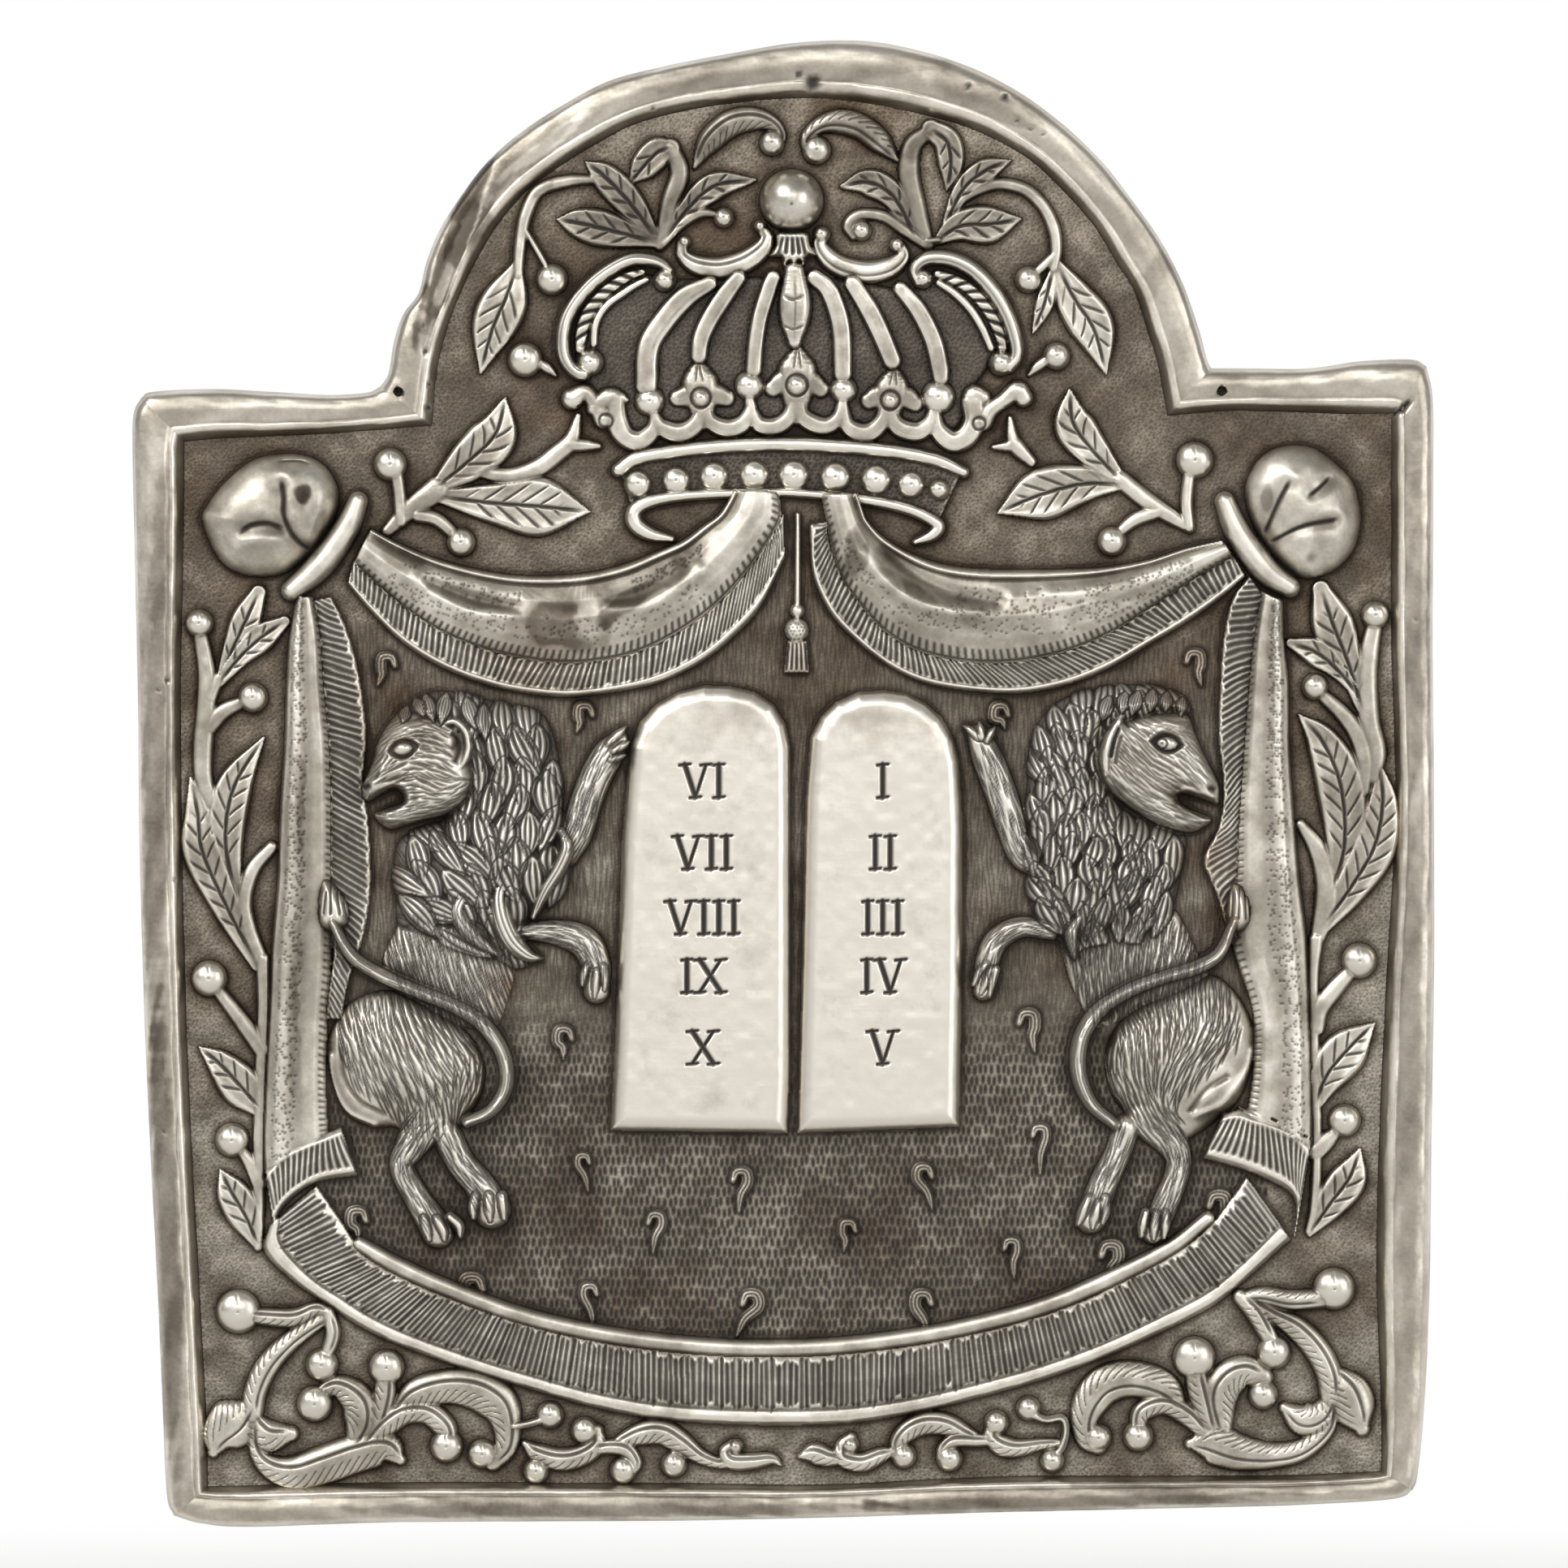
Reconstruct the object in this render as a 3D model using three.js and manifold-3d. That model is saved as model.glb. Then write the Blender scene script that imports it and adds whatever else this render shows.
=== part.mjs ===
// Torah shield: a breastplate of raised metal work, built up from separately raised pieces
// that are soldered to a ground sheet inside a mitred, hollow moulding.
// Lengths are in millimetres. Places are shares of the plate's width, written
// [across from the middle line, up from the lowest edge], seen from the front.
import * as THREE from "three";
import Module from "manifold-3d";

const wasm = await Module();
wasm.setup();

// Sizes of the plate
const plateWidth = 210;
const groundFront = 3.2; // the ground sheet's front, forward of the rear rim
const groundThickness = 0.8;
const frameWall = 0.85;
const frameCrest = 6.3;
const frameBead = 5.3;
const frameRoll = 5.5;
const frameRim = 1.9;
const hemShare = 0.36; // of the moulding's width, turned in at the rear
const holeRadius = 0.75;
const holeSides = 12;
const pieceGap = 0.3; // round a piece that is let into another

// How far each kind of piece stands forward of the ground sheet
const raised = {
  leaf: 1.9,
  stem: 1.6,
  scroll: 2.2,
  berry: 2.7,
  knot: 6.4,
  ring: 4.4,
  swag: 3.8,
  fringe: 2.3,
  curtain: 2.9,
  hem: 3.1,
  lip: 1.1,
  piping: 2.6,
  tassel: 2.5,
  tablet: 2.6,
  head: 5.2,
  mane: 5.6,
  waist: 4.2,
  haunch: 5.7,
  limb: 3.4,
  tail: 4.6,
  tuft: 4.2,
  cap: 1.2,
  hoop: 1.7,
  arch: 3.4,
  baluster: 2.4,
  cresting: 2.5,
  boss: 3.3,
  pearl: 2.9,
  band: 1.1,
  rim: 2.4,
  orb: 6.6,
  calyx: 3.2,
};
const shellThickness = 0.9; // of the hollow pieces

// The suspension holes in the shoulders. The part's origin lies midway between them, on the
// rear plane.
const holeShares = [[-0.2958, 0.8742], [0.3375, 0.8747]];
const originShares = [0, 1].map((axis) => (holeShares[0][axis] + holeShares[1][axis]) / 2);

const silver = new THREE.MeshStandardMaterial({ color: 0xc9c5bb, metalness: 1, roughness: 0.34 });
const groundSilver = new THREE.MeshStandardMaterial({ color: 0x6f675c, metalness: 1, roughness: 0.6 });

// A place on the plate, in the part's frame: the front looks along -Y
function place(across, up, forward) {
  return new THREE.Vector3(
    (across - originShares[0]) * plateWidth,
    -forward,
    (up - originShares[1]) * plateWidth,
  );
}

// The triangles that close a ring, in the ring's own direction
function capFaces(flatRing) {
  const faces = THREE.ShapeUtils.triangulateShape(flatRing, []);
  const turned = THREE.ShapeUtils.isClockWise(flatRing);
  return faces.map(([a, b, c]) => (turned ? [a, c, b] : [a, b, c]));
}

// A closed solid through rings of equal length. Each ring has its places and a flat
// picture of itself, from which its end cap is made.
function solidThrough(rings) {
  const ringSize = rings[0].places.length;
  const points = rings.flatMap((ring) => ring.places);
  const faces = [];
  for (let r = 0; r + 1 < rings.length; r++) {
    for (let i = 0; i < ringSize; i++) {
      const here = r * ringSize + i;
      const next = r * ringSize + ((i + 1) % ringSize);
      faces.push([here, next, next + ringSize]);
      faces.push([here, next + ringSize, here + ringSize]);
    }
  }
  const last = (rings.length - 1) * ringSize;
  for (const [a, b, c] of capFaces(rings[0].flat)) {
    faces.push([a, c, b]);
  }
  for (const [a, b, c] of capFaces(rings.at(-1).flat)) {
    faces.push([last + a, last + b, last + c]);
  }
  return manifoldOf(points, faces);
}

function manifoldOf(points, faces) {
  const volume = faces.reduce(
    (sum, [a, b, c]) => sum + points[a].dot(new THREE.Vector3().crossVectors(points[b], points[c])),
    0,
  );
  const outward = volume < 0 ? faces.map(([a, b, c]) => [a, c, b]) : faces;
  return new wasm.Manifold(
    new wasm.Mesh({
      numProp: 3,
      vertProperties: new Float32Array(points.flatMap((point) => point.toArray())),
      triVerts: new Uint32Array(outward.flat()),
    }),
  );
}

function joined(solids) {
  return solids.reduce((whole, solid) => whole.add(solid));
}

// Cross-sections of a stroke, as shares of its half-width and of its height
const roundSectionShares = [[-1, 0], [-0.82, 0.6], [-0.3, 1], [0.3, 1], [0.82, 0.6], [1, 0]];
const plainSectionShares = [[-1, 0], [-0.5, 1], [0.5, 1], [1, 0]];
const ridgeSectionShares = [[-1, 0], [-0.9, 0.45], [0, 1], [0.9, 0.45], [1, 0]];
const stemSectionShares = [[-1, 0], [0, 1], [1, 0]];

// A raised stroke along a curve. Each row of the path is [across, up, half-width], and the
// stroke sinks a little where it narrows.
function stroke(pathShares, height, section = plainSectionShares, lift = 0) {
  const line = new THREE.SplineCurve(pathShares.map(([across, up]) => new THREE.Vector2(across, up)));
  const widest = Math.max(...pathShares.map((row) => row[2]));
  const steps = pathShares.length - 1;
  const rings = [];
  for (let i = 0; i <= steps; i++) {
    const at = line.getPoint(i / steps);
    const side = line.getTangent(i / steps).rotateAround(new THREE.Vector2(), Math.PI / 2);
    const halfWidth = pathShares[i][2];
    const fullness = 0.45 + (0.55 * halfWidth) / widest;
    const places = section.map(([share, rise]) =>
      place(
        at.x + side.x * share * halfWidth,
        at.y + side.y * share * halfWidth,
        groundFront + lift + rise * fullness * height,
      ),
    );
    rings.push({ places, flat: section.map(([share, rise]) => new THREE.Vector2(share, rise)) });
  }
  return solidThrough(rings);
}

const leaf = (pathShares) => stroke(pathShares, raised.leaf, ridgeSectionShares);
const stem = (pathShares) => stroke(pathShares, raised.stem, stemSectionShares);
const scroll = (pathShares) => stroke(pathShares, raised.scroll, stemSectionShares);

// A raised boss over an outline. Each level is [share of the outline, share of the height].
const softLevelShares = [[1, 0], [0.94, 0.66], [0.6, 1]];
const flatLevelShares = [[1, 0], [0.985, 0.7], [0.92, 1]];
const domeLevelShares = [[1, 0], [0.9, 0.5], [0.66, 0.84], [0.3, 1]];
const beadLevelShares = [[1, 0], [0.6, 1]];
const pearlLevelShares = [[1, 0], [0.84, 0.62], [0.38, 1]];
const beadSides = 7;

function boss(outlineShares, height, levels = softLevelShares) {
  const flat = outlineShares.map(([across, up]) => new THREE.Vector2(across, up));
  const heart = flat.reduce((sum, point) => sum.add(point), new THREE.Vector2()).divideScalar(flat.length);
  const rings = levels.map(([share, rise]) => ({
    flat,
    places: flat.map((point) => {
      const at = point.clone().sub(heart).multiplyScalar(share).add(heart);
      return place(at.x, at.y, groundFront + rise * height);
    }),
  }));
  return solidThrough(rings);
}

function oval([across, up], halfWidth, halfHeight, sides) {
  return Array.from({ length: sides }, (_, i) => {
    const turn = (i / sides) * 2 * Math.PI;
    return [across + halfWidth * Math.cos(turn), up + halfHeight * Math.sin(turn)];
  });
}

// A berry or pearl: [across, up, radius]
function berry([across, up, radius], height = raised.berry, levels = beadLevelShares) {
  return boss(oval([across, up], radius, radius, beadSides), height, levels);
}

// A hollow dome over an outline, open towards the ground sheet
function hollowBoss(outlineShares, height, levels) {
  const inside = 1 - shellThickness / height;
  const shrink = ([across, up], [middleAcross, middleUp]) => [
    middleAcross + (across - middleAcross) * inside,
    middleUp + (up - middleUp) * inside,
  ];
  const count = outlineShares.length;
  const heart = [0, 1].map((axis) => outlineShares.reduce((sum, row) => sum + row[axis] / count, 0));
  const hollow = boss(
    outlineShares.filter((row, i) => i % 2 === 0).map((row) => shrink(row, heart)),
    height - shellThickness,
    levels,
  );
  return boss(outlineShares, height, levels).subtract(hollow);
}

// A strip between two edges. Each row is [outer across, outer up, inner across, inner up], and
// each row of the profile is [share of the way in, forward of the rear plane].
function strip(edgeShares, profile) {
  const flat = profile.map(([share, forward]) => new THREE.Vector2(share, forward / frameCrest));
  return solidThrough(
    edgeShares.map(([outerAcross, outerUp, innerAcross, innerUp]) => ({
      flat,
      places: profile.map(([share, forward]) =>
        place(
          outerAcross + (innerAcross - outerAcross) * share,
          outerUp + (innerUp - outerUp) * share,
          forward,
        ),
      ),
    })),
  );
}

// A prism through the whole depth, for cutting
function prism(outlineShares) {
  const flat = outlineShares.map(([across, up]) => new THREE.Vector2(across, up));
  const rings = [-plateWidth, plateWidth].map((forward) => ({
    flat,
    places: outlineShares.map(([across, up]) => place(across, up, forward)),
  }));
  return solidThrough(rings);
}

// The moulding: outer corner, outer corner's partner inside, row by row
const archShares = [
  [-0.31, 0.879, -0.27, 0.848],
  [-0.304, 0.89, -0.268, 0.872],
  [-0.2995, 0.915, -0.265, 0.896],
  [-0.2925, 0.935, -0.26, 0.917],
  [-0.281, 0.951, -0.253, 0.938],
  [-0.2745, 0.976, -0.244, 0.959],
  [-0.264, 1.001, -0.233, 0.981],
  [-0.248, 1.026, -0.219, 1.004],
  [-0.226, 1.054, -0.199, 1.027],
  [-0.199, 1.077, -0.173, 1.047],
  [-0.168, 1.097, -0.144, 1.065],
  [-0.133, 1.115, -0.112, 1.081],
  [-0.09, 1.126, -0.075, 1.091],
  [-0.045, 1.135, -0.035, 1.097],
  [0.01, 1.144, 0.008, 1.1],
  [0.06, 1.1455, 0.048, 1.0985],
  [0.105, 1.138, 0.088, 1.092],
  [0.145, 1.125, 0.123, 1.084],
  [0.182, 1.106, 0.156, 1.072],
  [0.217, 1.08, 0.188, 1.054],
  [0.247, 1.051, 0.215, 1.03],
  [0.272, 1.019, 0.239, 1.003],
  [0.292, 0.99, 0.256, 0.975],
  [0.308, 0.959, 0.271, 0.95],
  [0.32, 0.925, 0.281, 0.92],
  [0.3265, 0.902, 0.288, 0.898],
  [0.33, 0.893, 0.296, 0.856],
];
const stileLeftShares = [
  [-0.4944, 0.8704, -0.4608, 0.8364],
  [-0.5005, 0.858, -0.461, 0.828],
  [-0.5015, 0.83, -0.461, 0.81],
  [-0.5, 0.76, -0.4612, 0.76],
  [-0.4975, 0.65, -0.4635, 0.65],
  [-0.4955, 0.5, -0.462, 0.5],
  [-0.4905, 0.35, -0.4575, 0.35],
  [-0.483, 0.2, -0.45, 0.2],
  [-0.478, 0.09, -0.444, 0.09],
  [-0.4752, 0.026, -0.4425, 0.042],
  [-0.4694, 0.0088, -0.4425, 0.032],
];
const railShares = [
  [-0.4694, 0.0088, -0.4425, 0.032],
  [-0.448, 0.0025, -0.43, 0.0325],
  [-0.41, 0, -0.4, 0.033],
  [-0.29, 0.0035, -0.29, 0.035],
  [-0.1, 0.0045, -0.1, 0.0346],
  [0.03, 0.007, 0.03, 0.0334],
  [0.16, 0.011, 0.16, 0.0395],
  [0.3, 0.0142, 0.3, 0.04],
  [0.4, 0.017, 0.39, 0.0405],
  [0.47, 0.0215, 0.445, 0.043],
  [0.4855, 0.029, 0.46, 0.0438],
];
const stileRightShares = [
  [0.4855, 0.029, 0.46, 0.0438],
  [0.4895, 0.042, 0.4605, 0.062],
  [0.495, 0.1, 0.46, 0.105],
  [0.499, 0.2, 0.457, 0.2],
  [0.5, 0.3, 0.459, 0.3],
  [0.502, 0.42, 0.4645, 0.42],
  [0.502, 0.55, 0.4715, 0.55],
  [0.501, 0.68, 0.4685, 0.68],
  [0.5013, 0.79, 0.468, 0.79],
  [0.5012, 0.866, 0.468, 0.842],
  [0.496, 0.8945, 0.468, 0.8564],
];
const shoulderRightShares = [
  [0.496, 0.8945, 0.468, 0.8564],
  [0.484, 0.8998, 0.46, 0.8566],
  [0.445, 0.8985, 0.43, 0.8575],
  [0.404, 0.893, 0.39, 0.859],
  [0.35, 0.893, 0.34, 0.8595],
  [0.33, 0.893, 0.296, 0.856],
];
const shoulderLeftShares = [
  [-0.4944, 0.8704, -0.4608, 0.8364],
  [-0.485, 0.875, -0.456, 0.8367],
  [-0.4387, 0.8771, -0.43, 0.8388],
  [-0.395, 0.875, -0.388, 0.8402],
  [-0.35, 0.8726, -0.345, 0.8424],
  [-0.3213, 0.8742, -0.305, 0.8455],
  [-0.31, 0.879, -0.27, 0.848],
];

// The moulding's section: its skin from the rear rim over the crest to the ground, then back
// inside, and the hem that is turned in at the rear
const wallShare = 0.12;
const frameProfile = [
  [0, 0],
  [0, frameRim],
  [0.08, frameBead - frameWall],
  [0.2, frameBead],
  [0.4, frameCrest],
  [0.68, frameCrest - frameWall / 2],
  [0.86, frameRoll - frameWall / 2],
  [1, groundFront],
  [1 - wallShare, groundFront],
  [0.7, frameRoll - frameWall],
  [0.36, frameCrest - 1.5 * frameWall],
  [wallShare, frameBead - 2 * frameWall],
  [wallShare, frameWall],
  [hemShare, frameWall],
  [hemShare, 0],
];

function bored(solid, hole) {
  return solid.subtract(
    prism(oval(hole, holeRadius / plateWidth, holeRadius / plateWidth, holeSides)),
  );
}

// The ground sheet reaches a little way under the moulding
const underFrameShare = 0.4;
function groundSheet() {
  const middle = ([outerAcross, outerUp, innerAcross, innerUp]) => [
    innerAcross + (outerAcross - innerAcross) * underFrameShare,
    innerUp + (outerUp - innerUp) * underFrameShare,
  ];
  const outline = [
    ...archShares,
    ...shoulderRightShares.slice(0, -1).reverse(),
    ...stileRightShares.slice(0, -1).reverse(),
    ...railShares.slice(0, -1).reverse(),
    ...stileLeftShares.slice(0, -1).reverse(),
    ...shoulderLeftShares.slice(1, -1),
  ].map(middle);
  const flat = outline.map(([across, up]) => new THREE.Vector2(across, up));
  const rings = [groundFront - groundThickness, groundFront].map((forward) => ({
    flat,
    places: outline.map(([across, up]) => place(across, up, forward)),
  }));
  return solidThrough(rings);
}

// Knots of the drawn-back curtains, and the rings that tie them
const knotLeftShares = [
  [-0.4473, 0.775], [-0.4425, 0.7887], [-0.429, 0.806], [-0.4079, 0.8223], [-0.3848, 0.8271],
  [-0.3656, 0.8252], [-0.3521, 0.8175], [-0.3435, 0.804], [-0.3415, 0.7887], [-0.3463, 0.7733],
  [-0.3579, 0.756], [-0.3694, 0.7444], [-0.3829, 0.7348], [-0.4002, 0.7319], [-0.4194, 0.7348],
  [-0.4348, 0.7463],
];
const knotRightShares = [
  [0.3552, 0.796], [0.3603, 0.8145], [0.372, 0.8279], [0.3905, 0.8338], [0.409, 0.8313],
  [0.4259, 0.8195], [0.4393, 0.8044], [0.4444, 0.7859], [0.4444, 0.7691], [0.4393, 0.7522],
  [0.4275, 0.7388], [0.4107, 0.7312], [0.3973, 0.7312], [0.3872, 0.7371], [0.3737, 0.7539],
  [0.362, 0.7707],
];
const ringLeftShares = [
  [-0.3329, 0.7848, 0.0055], [-0.3367, 0.7675, 0.0068], [-0.3483, 0.7483, 0.0072],
  [-0.3617, 0.7348, 0.0068], [-0.3771, 0.7242, 0.0055],
];
const ringRightShares = [
  [0.3451, 0.7842, 0.0055], [0.3502, 0.7691, 0.0066], [0.3603, 0.7522, 0.007],
  [0.3737, 0.7371, 0.0066], [0.3889, 0.7287, 0.0055],
];

// The swags: top edge, then the groove above the fringe
const swagLeftShares = [
  [-0.3174, 0.7675, -0.3285, 0.7455],
  [-0.298, 0.7575, -0.308, 0.7255],
  [-0.272, 0.7465, -0.284, 0.706],
  [-0.244, 0.7385, -0.256, 0.689],
  [-0.21, 0.7325, -0.222, 0.6765],
  [-0.178, 0.7317, -0.184, 0.669],
  [-0.15, 0.734, -0.15, 0.6685],
  [-0.122, 0.7405, -0.112, 0.6765],
  [-0.098, 0.75, -0.078, 0.694],
  [-0.077, 0.759, -0.05, 0.7155],
  [-0.061, 0.7705, -0.026, 0.7425],
  [-0.0502, 0.778, -0.0065, 0.7725],
];
const swagRightShares = [
  [0.3385, 0.7587, 0.344, 0.7505],
  [0.31, 0.7525, 0.316, 0.733],
  [0.28, 0.7435, 0.287, 0.714],
  [0.245, 0.738, 0.254, 0.6925],
  [0.21, 0.7365, 0.218, 0.677],
  [0.18, 0.7363, 0.18, 0.669],
  [0.151, 0.737, 0.144, 0.6685],
  [0.129, 0.7394, 0.108, 0.676],
  [0.11, 0.7442, 0.082, 0.69],
  [0.091, 0.7526, 0.062, 0.711],
  [0.076, 0.7623, 0.0455, 0.736],
  [0.0644, 0.7743, 0.0365, 0.7725],
];
const swagFringeLeftShares = [
  [-0.3345, 0.7275, -0.3305, 0.742],
  [-0.3174, 0.7073, -0.309, 0.723],
  [-0.2942, 0.684, -0.285, 0.7035],
  [-0.2663, 0.6655, -0.2565, 0.6865],
  [-0.2361, 0.6527, -0.2225, 0.674],
  [-0.2059, 0.6446, -0.185, 0.6665],
  [-0.165, 0.6405, -0.15, 0.666],
  [-0.1199, 0.6458, -0.111, 0.674],
  [-0.0897, 0.6539, -0.077, 0.691],
  [-0.0618, 0.6678, -0.048, 0.713],
  [-0.0386, 0.6864, -0.024, 0.7405],
  [-0.0176, 0.7096, -0.005, 0.77],
  [0.001, 0.747, 0.0005, 0.779],
];
const swagFringeRightShares = [
  [0.3555, 0.733, 0.347, 0.747],
  [0.3334, 0.7142, 0.3175, 0.7305],
  [0.3094, 0.6974, 0.2885, 0.7115],
  [0.2854, 0.6829, 0.2545, 0.69],
  [0.25, 0.662, 0.2185, 0.6745],
  [0.2133, 0.6481, 0.18, 0.6665],
  [0.172, 0.6428, 0.1435, 0.666],
  [0.1172, 0.6493, 0.107, 0.6735],
  [0.0824, 0.664, 0.0805, 0.6875],
  [0.0524, 0.6877, 0.0598, 0.7095],
  [0.0355, 0.707, 0.0435, 0.7345],
  [0.0235, 0.735, 0.0345, 0.7605],
  [0.0215, 0.772, 0.0335, 0.774],
];
const clothProfile = (height) => [
  [0, groundFront],
  [0.04, groundFront + 0.8 * height],
  [0.14, groundFront + height],
  [0.36, groundFront + 0.7 * height],
  [0.55, groundFront + 0.95 * height],
  [0.82, groundFront + 0.72 * height],
  [1, groundFront + 0.45 * height],
  [1, groundFront],
];
const fringeProfile = (height) => [
  [0, groundFront],
  [0.08, groundFront + 0.4 * height],
  [0.3, groundFront + 0.85 * height],
  [0.85, groundFront + height],
  [1, groundFront + 0.8 * height],
  [1, groundFront],
];

// The hanging curtains: outer edge, then the groove beside the fringe
const curtainLeftShares = [
  [-0.373, 0.717, -0.366, 0.7165],
  [-0.379, 0.683, -0.3595, 0.686],
  [-0.381, 0.65, -0.357, 0.65],
  [-0.3827, 0.6, -0.3522, 0.6],
  [-0.3861, 0.55, -0.3505, 0.55],
  [-0.3878, 0.5, -0.3506, 0.503],
  [-0.392, 0.45, -0.351, 0.455],
  [-0.3942, 0.4, -0.3545, 0.4],
  [-0.397, 0.35, -0.356, 0.35],
  [-0.399, 0.3, -0.3545, 0.312],
  [-0.3985, 0.276, -0.353, 0.3],
];
const hemLeftShares = [
  [-0.392, 0.236, -0.3975, 0.273],
  [-0.385, 0.2485, -0.382, 0.2885],
  [-0.3726, 0.26, -0.366, 0.2955],
  [-0.356, 0.269, -0.352, 0.301],
  [-0.3285, 0.2735, -0.3395, 0.3065],
];
const curtainRightShares = [
  [0.3838, 0.7135, 0.372, 0.719],
  [0.3845, 0.685, 0.366, 0.685],
  [0.3881, 0.65, 0.362, 0.65],
  [0.3889, 0.6, 0.3578, 0.6],
  [0.3923, 0.55, 0.3536, 0.55],
  [0.3965, 0.5, 0.3523, 0.504],
  [0.4024, 0.45, 0.349, 0.455],
  [0.4041, 0.4, 0.3655, 0.4],
  [0.4058, 0.35, 0.3665, 0.36],
  [0.4066, 0.3, 0.362, 0.323],
  [0.406, 0.292, 0.354, 0.322],
];
const hemRightShares = [
  [0.394, 0.2265, 0.4055, 0.295],
  [0.3957, 0.2475, 0.394, 0.3045],
  [0.3885, 0.2615, 0.3771, 0.312],
  [0.3603, 0.2757, 0.3603, 0.3165],
  [0.34, 0.2824, 0.3502, 0.3195],
  [0.325, 0.2865, 0.3385, 0.3165],
];
const curtainFringeLeftShares = [
  [-0.352, 0.7155, -0.359, 0.714],
  [-0.34, 0.69, -0.357, 0.684],
  [-0.3305, 0.655, -0.3545, 0.65],
  [-0.325, 0.61, -0.3502, 0.605],
  [-0.3275, 0.575, -0.3488, 0.575],
  [-0.3235, 0.545, -0.3483, 0.545],
  [-0.323, 0.505, -0.3485, 0.5075],
];
const curtainFringeRightShares = [
  [0.3615, 0.729, 0.3685, 0.719],
  [0.349, 0.711, 0.3645, 0.696],
  [0.343, 0.683, 0.3625, 0.67],
  [0.341, 0.65, 0.36, 0.645],
  [0.3395, 0.61, 0.3565, 0.605],
  [0.3435, 0.57, 0.3538, 0.57],
  [0.34, 0.54, 0.351, 0.54],
  [0.3285, 0.515, 0.3503, 0.5115],
];
const curtainProfile = (height) => [
  [0, groundFront],
  [0.05, groundFront + 0.7 * height],
  [0.3, groundFront + height],
  [0.7, groundFront + 0.92 * height],
  [1, groundFront + 0.55 * height],
  [1, groundFront],
];

// The mantle's hem below the lions: a broad fringe and the piping that borders the lining
const mantleShares = [
  [-0.395, 0.2325, -0.36, 0.262],
  [-0.398, 0.213, -0.345, 0.24],
  [-0.3752, 0.1896, -0.325, 0.211],
  [-0.3502, 0.1723, -0.305, 0.1975],
  [-0.3271, 0.1569, -0.285, 0.1875],
  [-0.3, 0.1435, -0.265, 0.179],
  [-0.2694, 0.1319, -0.24, 0.17],
  [-0.231, 0.1185, -0.212, 0.161],
  [-0.19, 0.1065, -0.18, 0.1505],
  [-0.15, 0.095, -0.145, 0.143],
  [-0.1, 0.085, -0.1, 0.136],
  [-0.05, 0.081, -0.05, 0.1318],
  [0, 0.08, 0, 0.1308],
  [0.05, 0.0815, 0.05, 0.1335],
  [0.1, 0.089, 0.1, 0.139],
  [0.15, 0.101, 0.145, 0.148],
  [0.2, 0.115, 0.19, 0.16],
  [0.25, 0.1335, 0.235, 0.1745],
  [0.3, 0.156, 0.275, 0.1965],
  [0.33, 0.1715, 0.302, 0.2095],
  [0.35, 0.187, 0.322, 0.2235],
  [0.37, 0.205, 0.338, 0.24],
  [0.39, 0.223, 0.358, 0.268],
];
const pipingShares = [
  [-0.3255, 0.2185, 0.0045], [-0.3, 0.2035, 0.0055], [-0.262, 0.186, 0.0055],
  [-0.2, 0.1632, 0.0055], [-0.13, 0.1478, 0.0055], [-0.06, 0.1398, 0.0055],
  [0, 0.1382, 0.0055], [0.06, 0.1418, 0.0055], [0.13, 0.1525, 0.0055],
  [0.2, 0.1705, 0.0055], [0.26, 0.1958, 0.0055], [0.3, 0.2172, 0.005],
  [0.327, 0.2385, 0.0045],
];
const mantleProfile = (height) => [
  [0, groundFront],
  [0.05, groundFront + 0.6 * height],
  [0.2, groundFront + 0.5 * height],
  [0.8, groundFront + height],
  [1, groundFront + 0.8 * height],
  [1, groundFront],
];

// The tassel between the swags
const tasselCordShares = [[0.0114, 0.7537, 0.002], [0.0112, 0.729, 0.0028], [0.011, 0.7, 0.0028]];
const tasselBeadShares = [0.011, 0.706, 0.0058];
const tasselKnotShares = [0.0108, 0.691, 0.0098];
const tasselSkirtShares = [[0.0035, 0.686], [0.0005, 0.6565], [0.0205, 0.6565], [0.0185, 0.686]];

// The two tablets
const tabletLeftShares = [
  [-0.133, 0.3055], [0.004, 0.3035], [0.006, 0.35], [0.006, 0.6], [0.0022, 0.619],
  [-0.0065, 0.6339], [-0.0213, 0.6438], [-0.0412, 0.6483], [-0.061, 0.6488], [-0.0809, 0.6438],
  [-0.0982, 0.6339], [-0.1106, 0.6202], [-0.1181, 0.6015], [-0.1243, 0.5269], [-0.1293, 0.3778],
];
const tabletRightShares = [
  [0.0109, 0.3035], [0.1362, 0.3083], [0.138, 0.4151], [0.1387, 0.54], [0.1362, 0.5891],
  [0.1312, 0.609], [0.1226, 0.6239], [0.1102, 0.6351], [0.0953, 0.6426], [0.0779, 0.645],
  [0.058, 0.6438], [0.0407, 0.6364], [0.0283, 0.6239], [0.0208, 0.609], [0.0171, 0.56],
  [0.0139, 0.4151],
];

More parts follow.
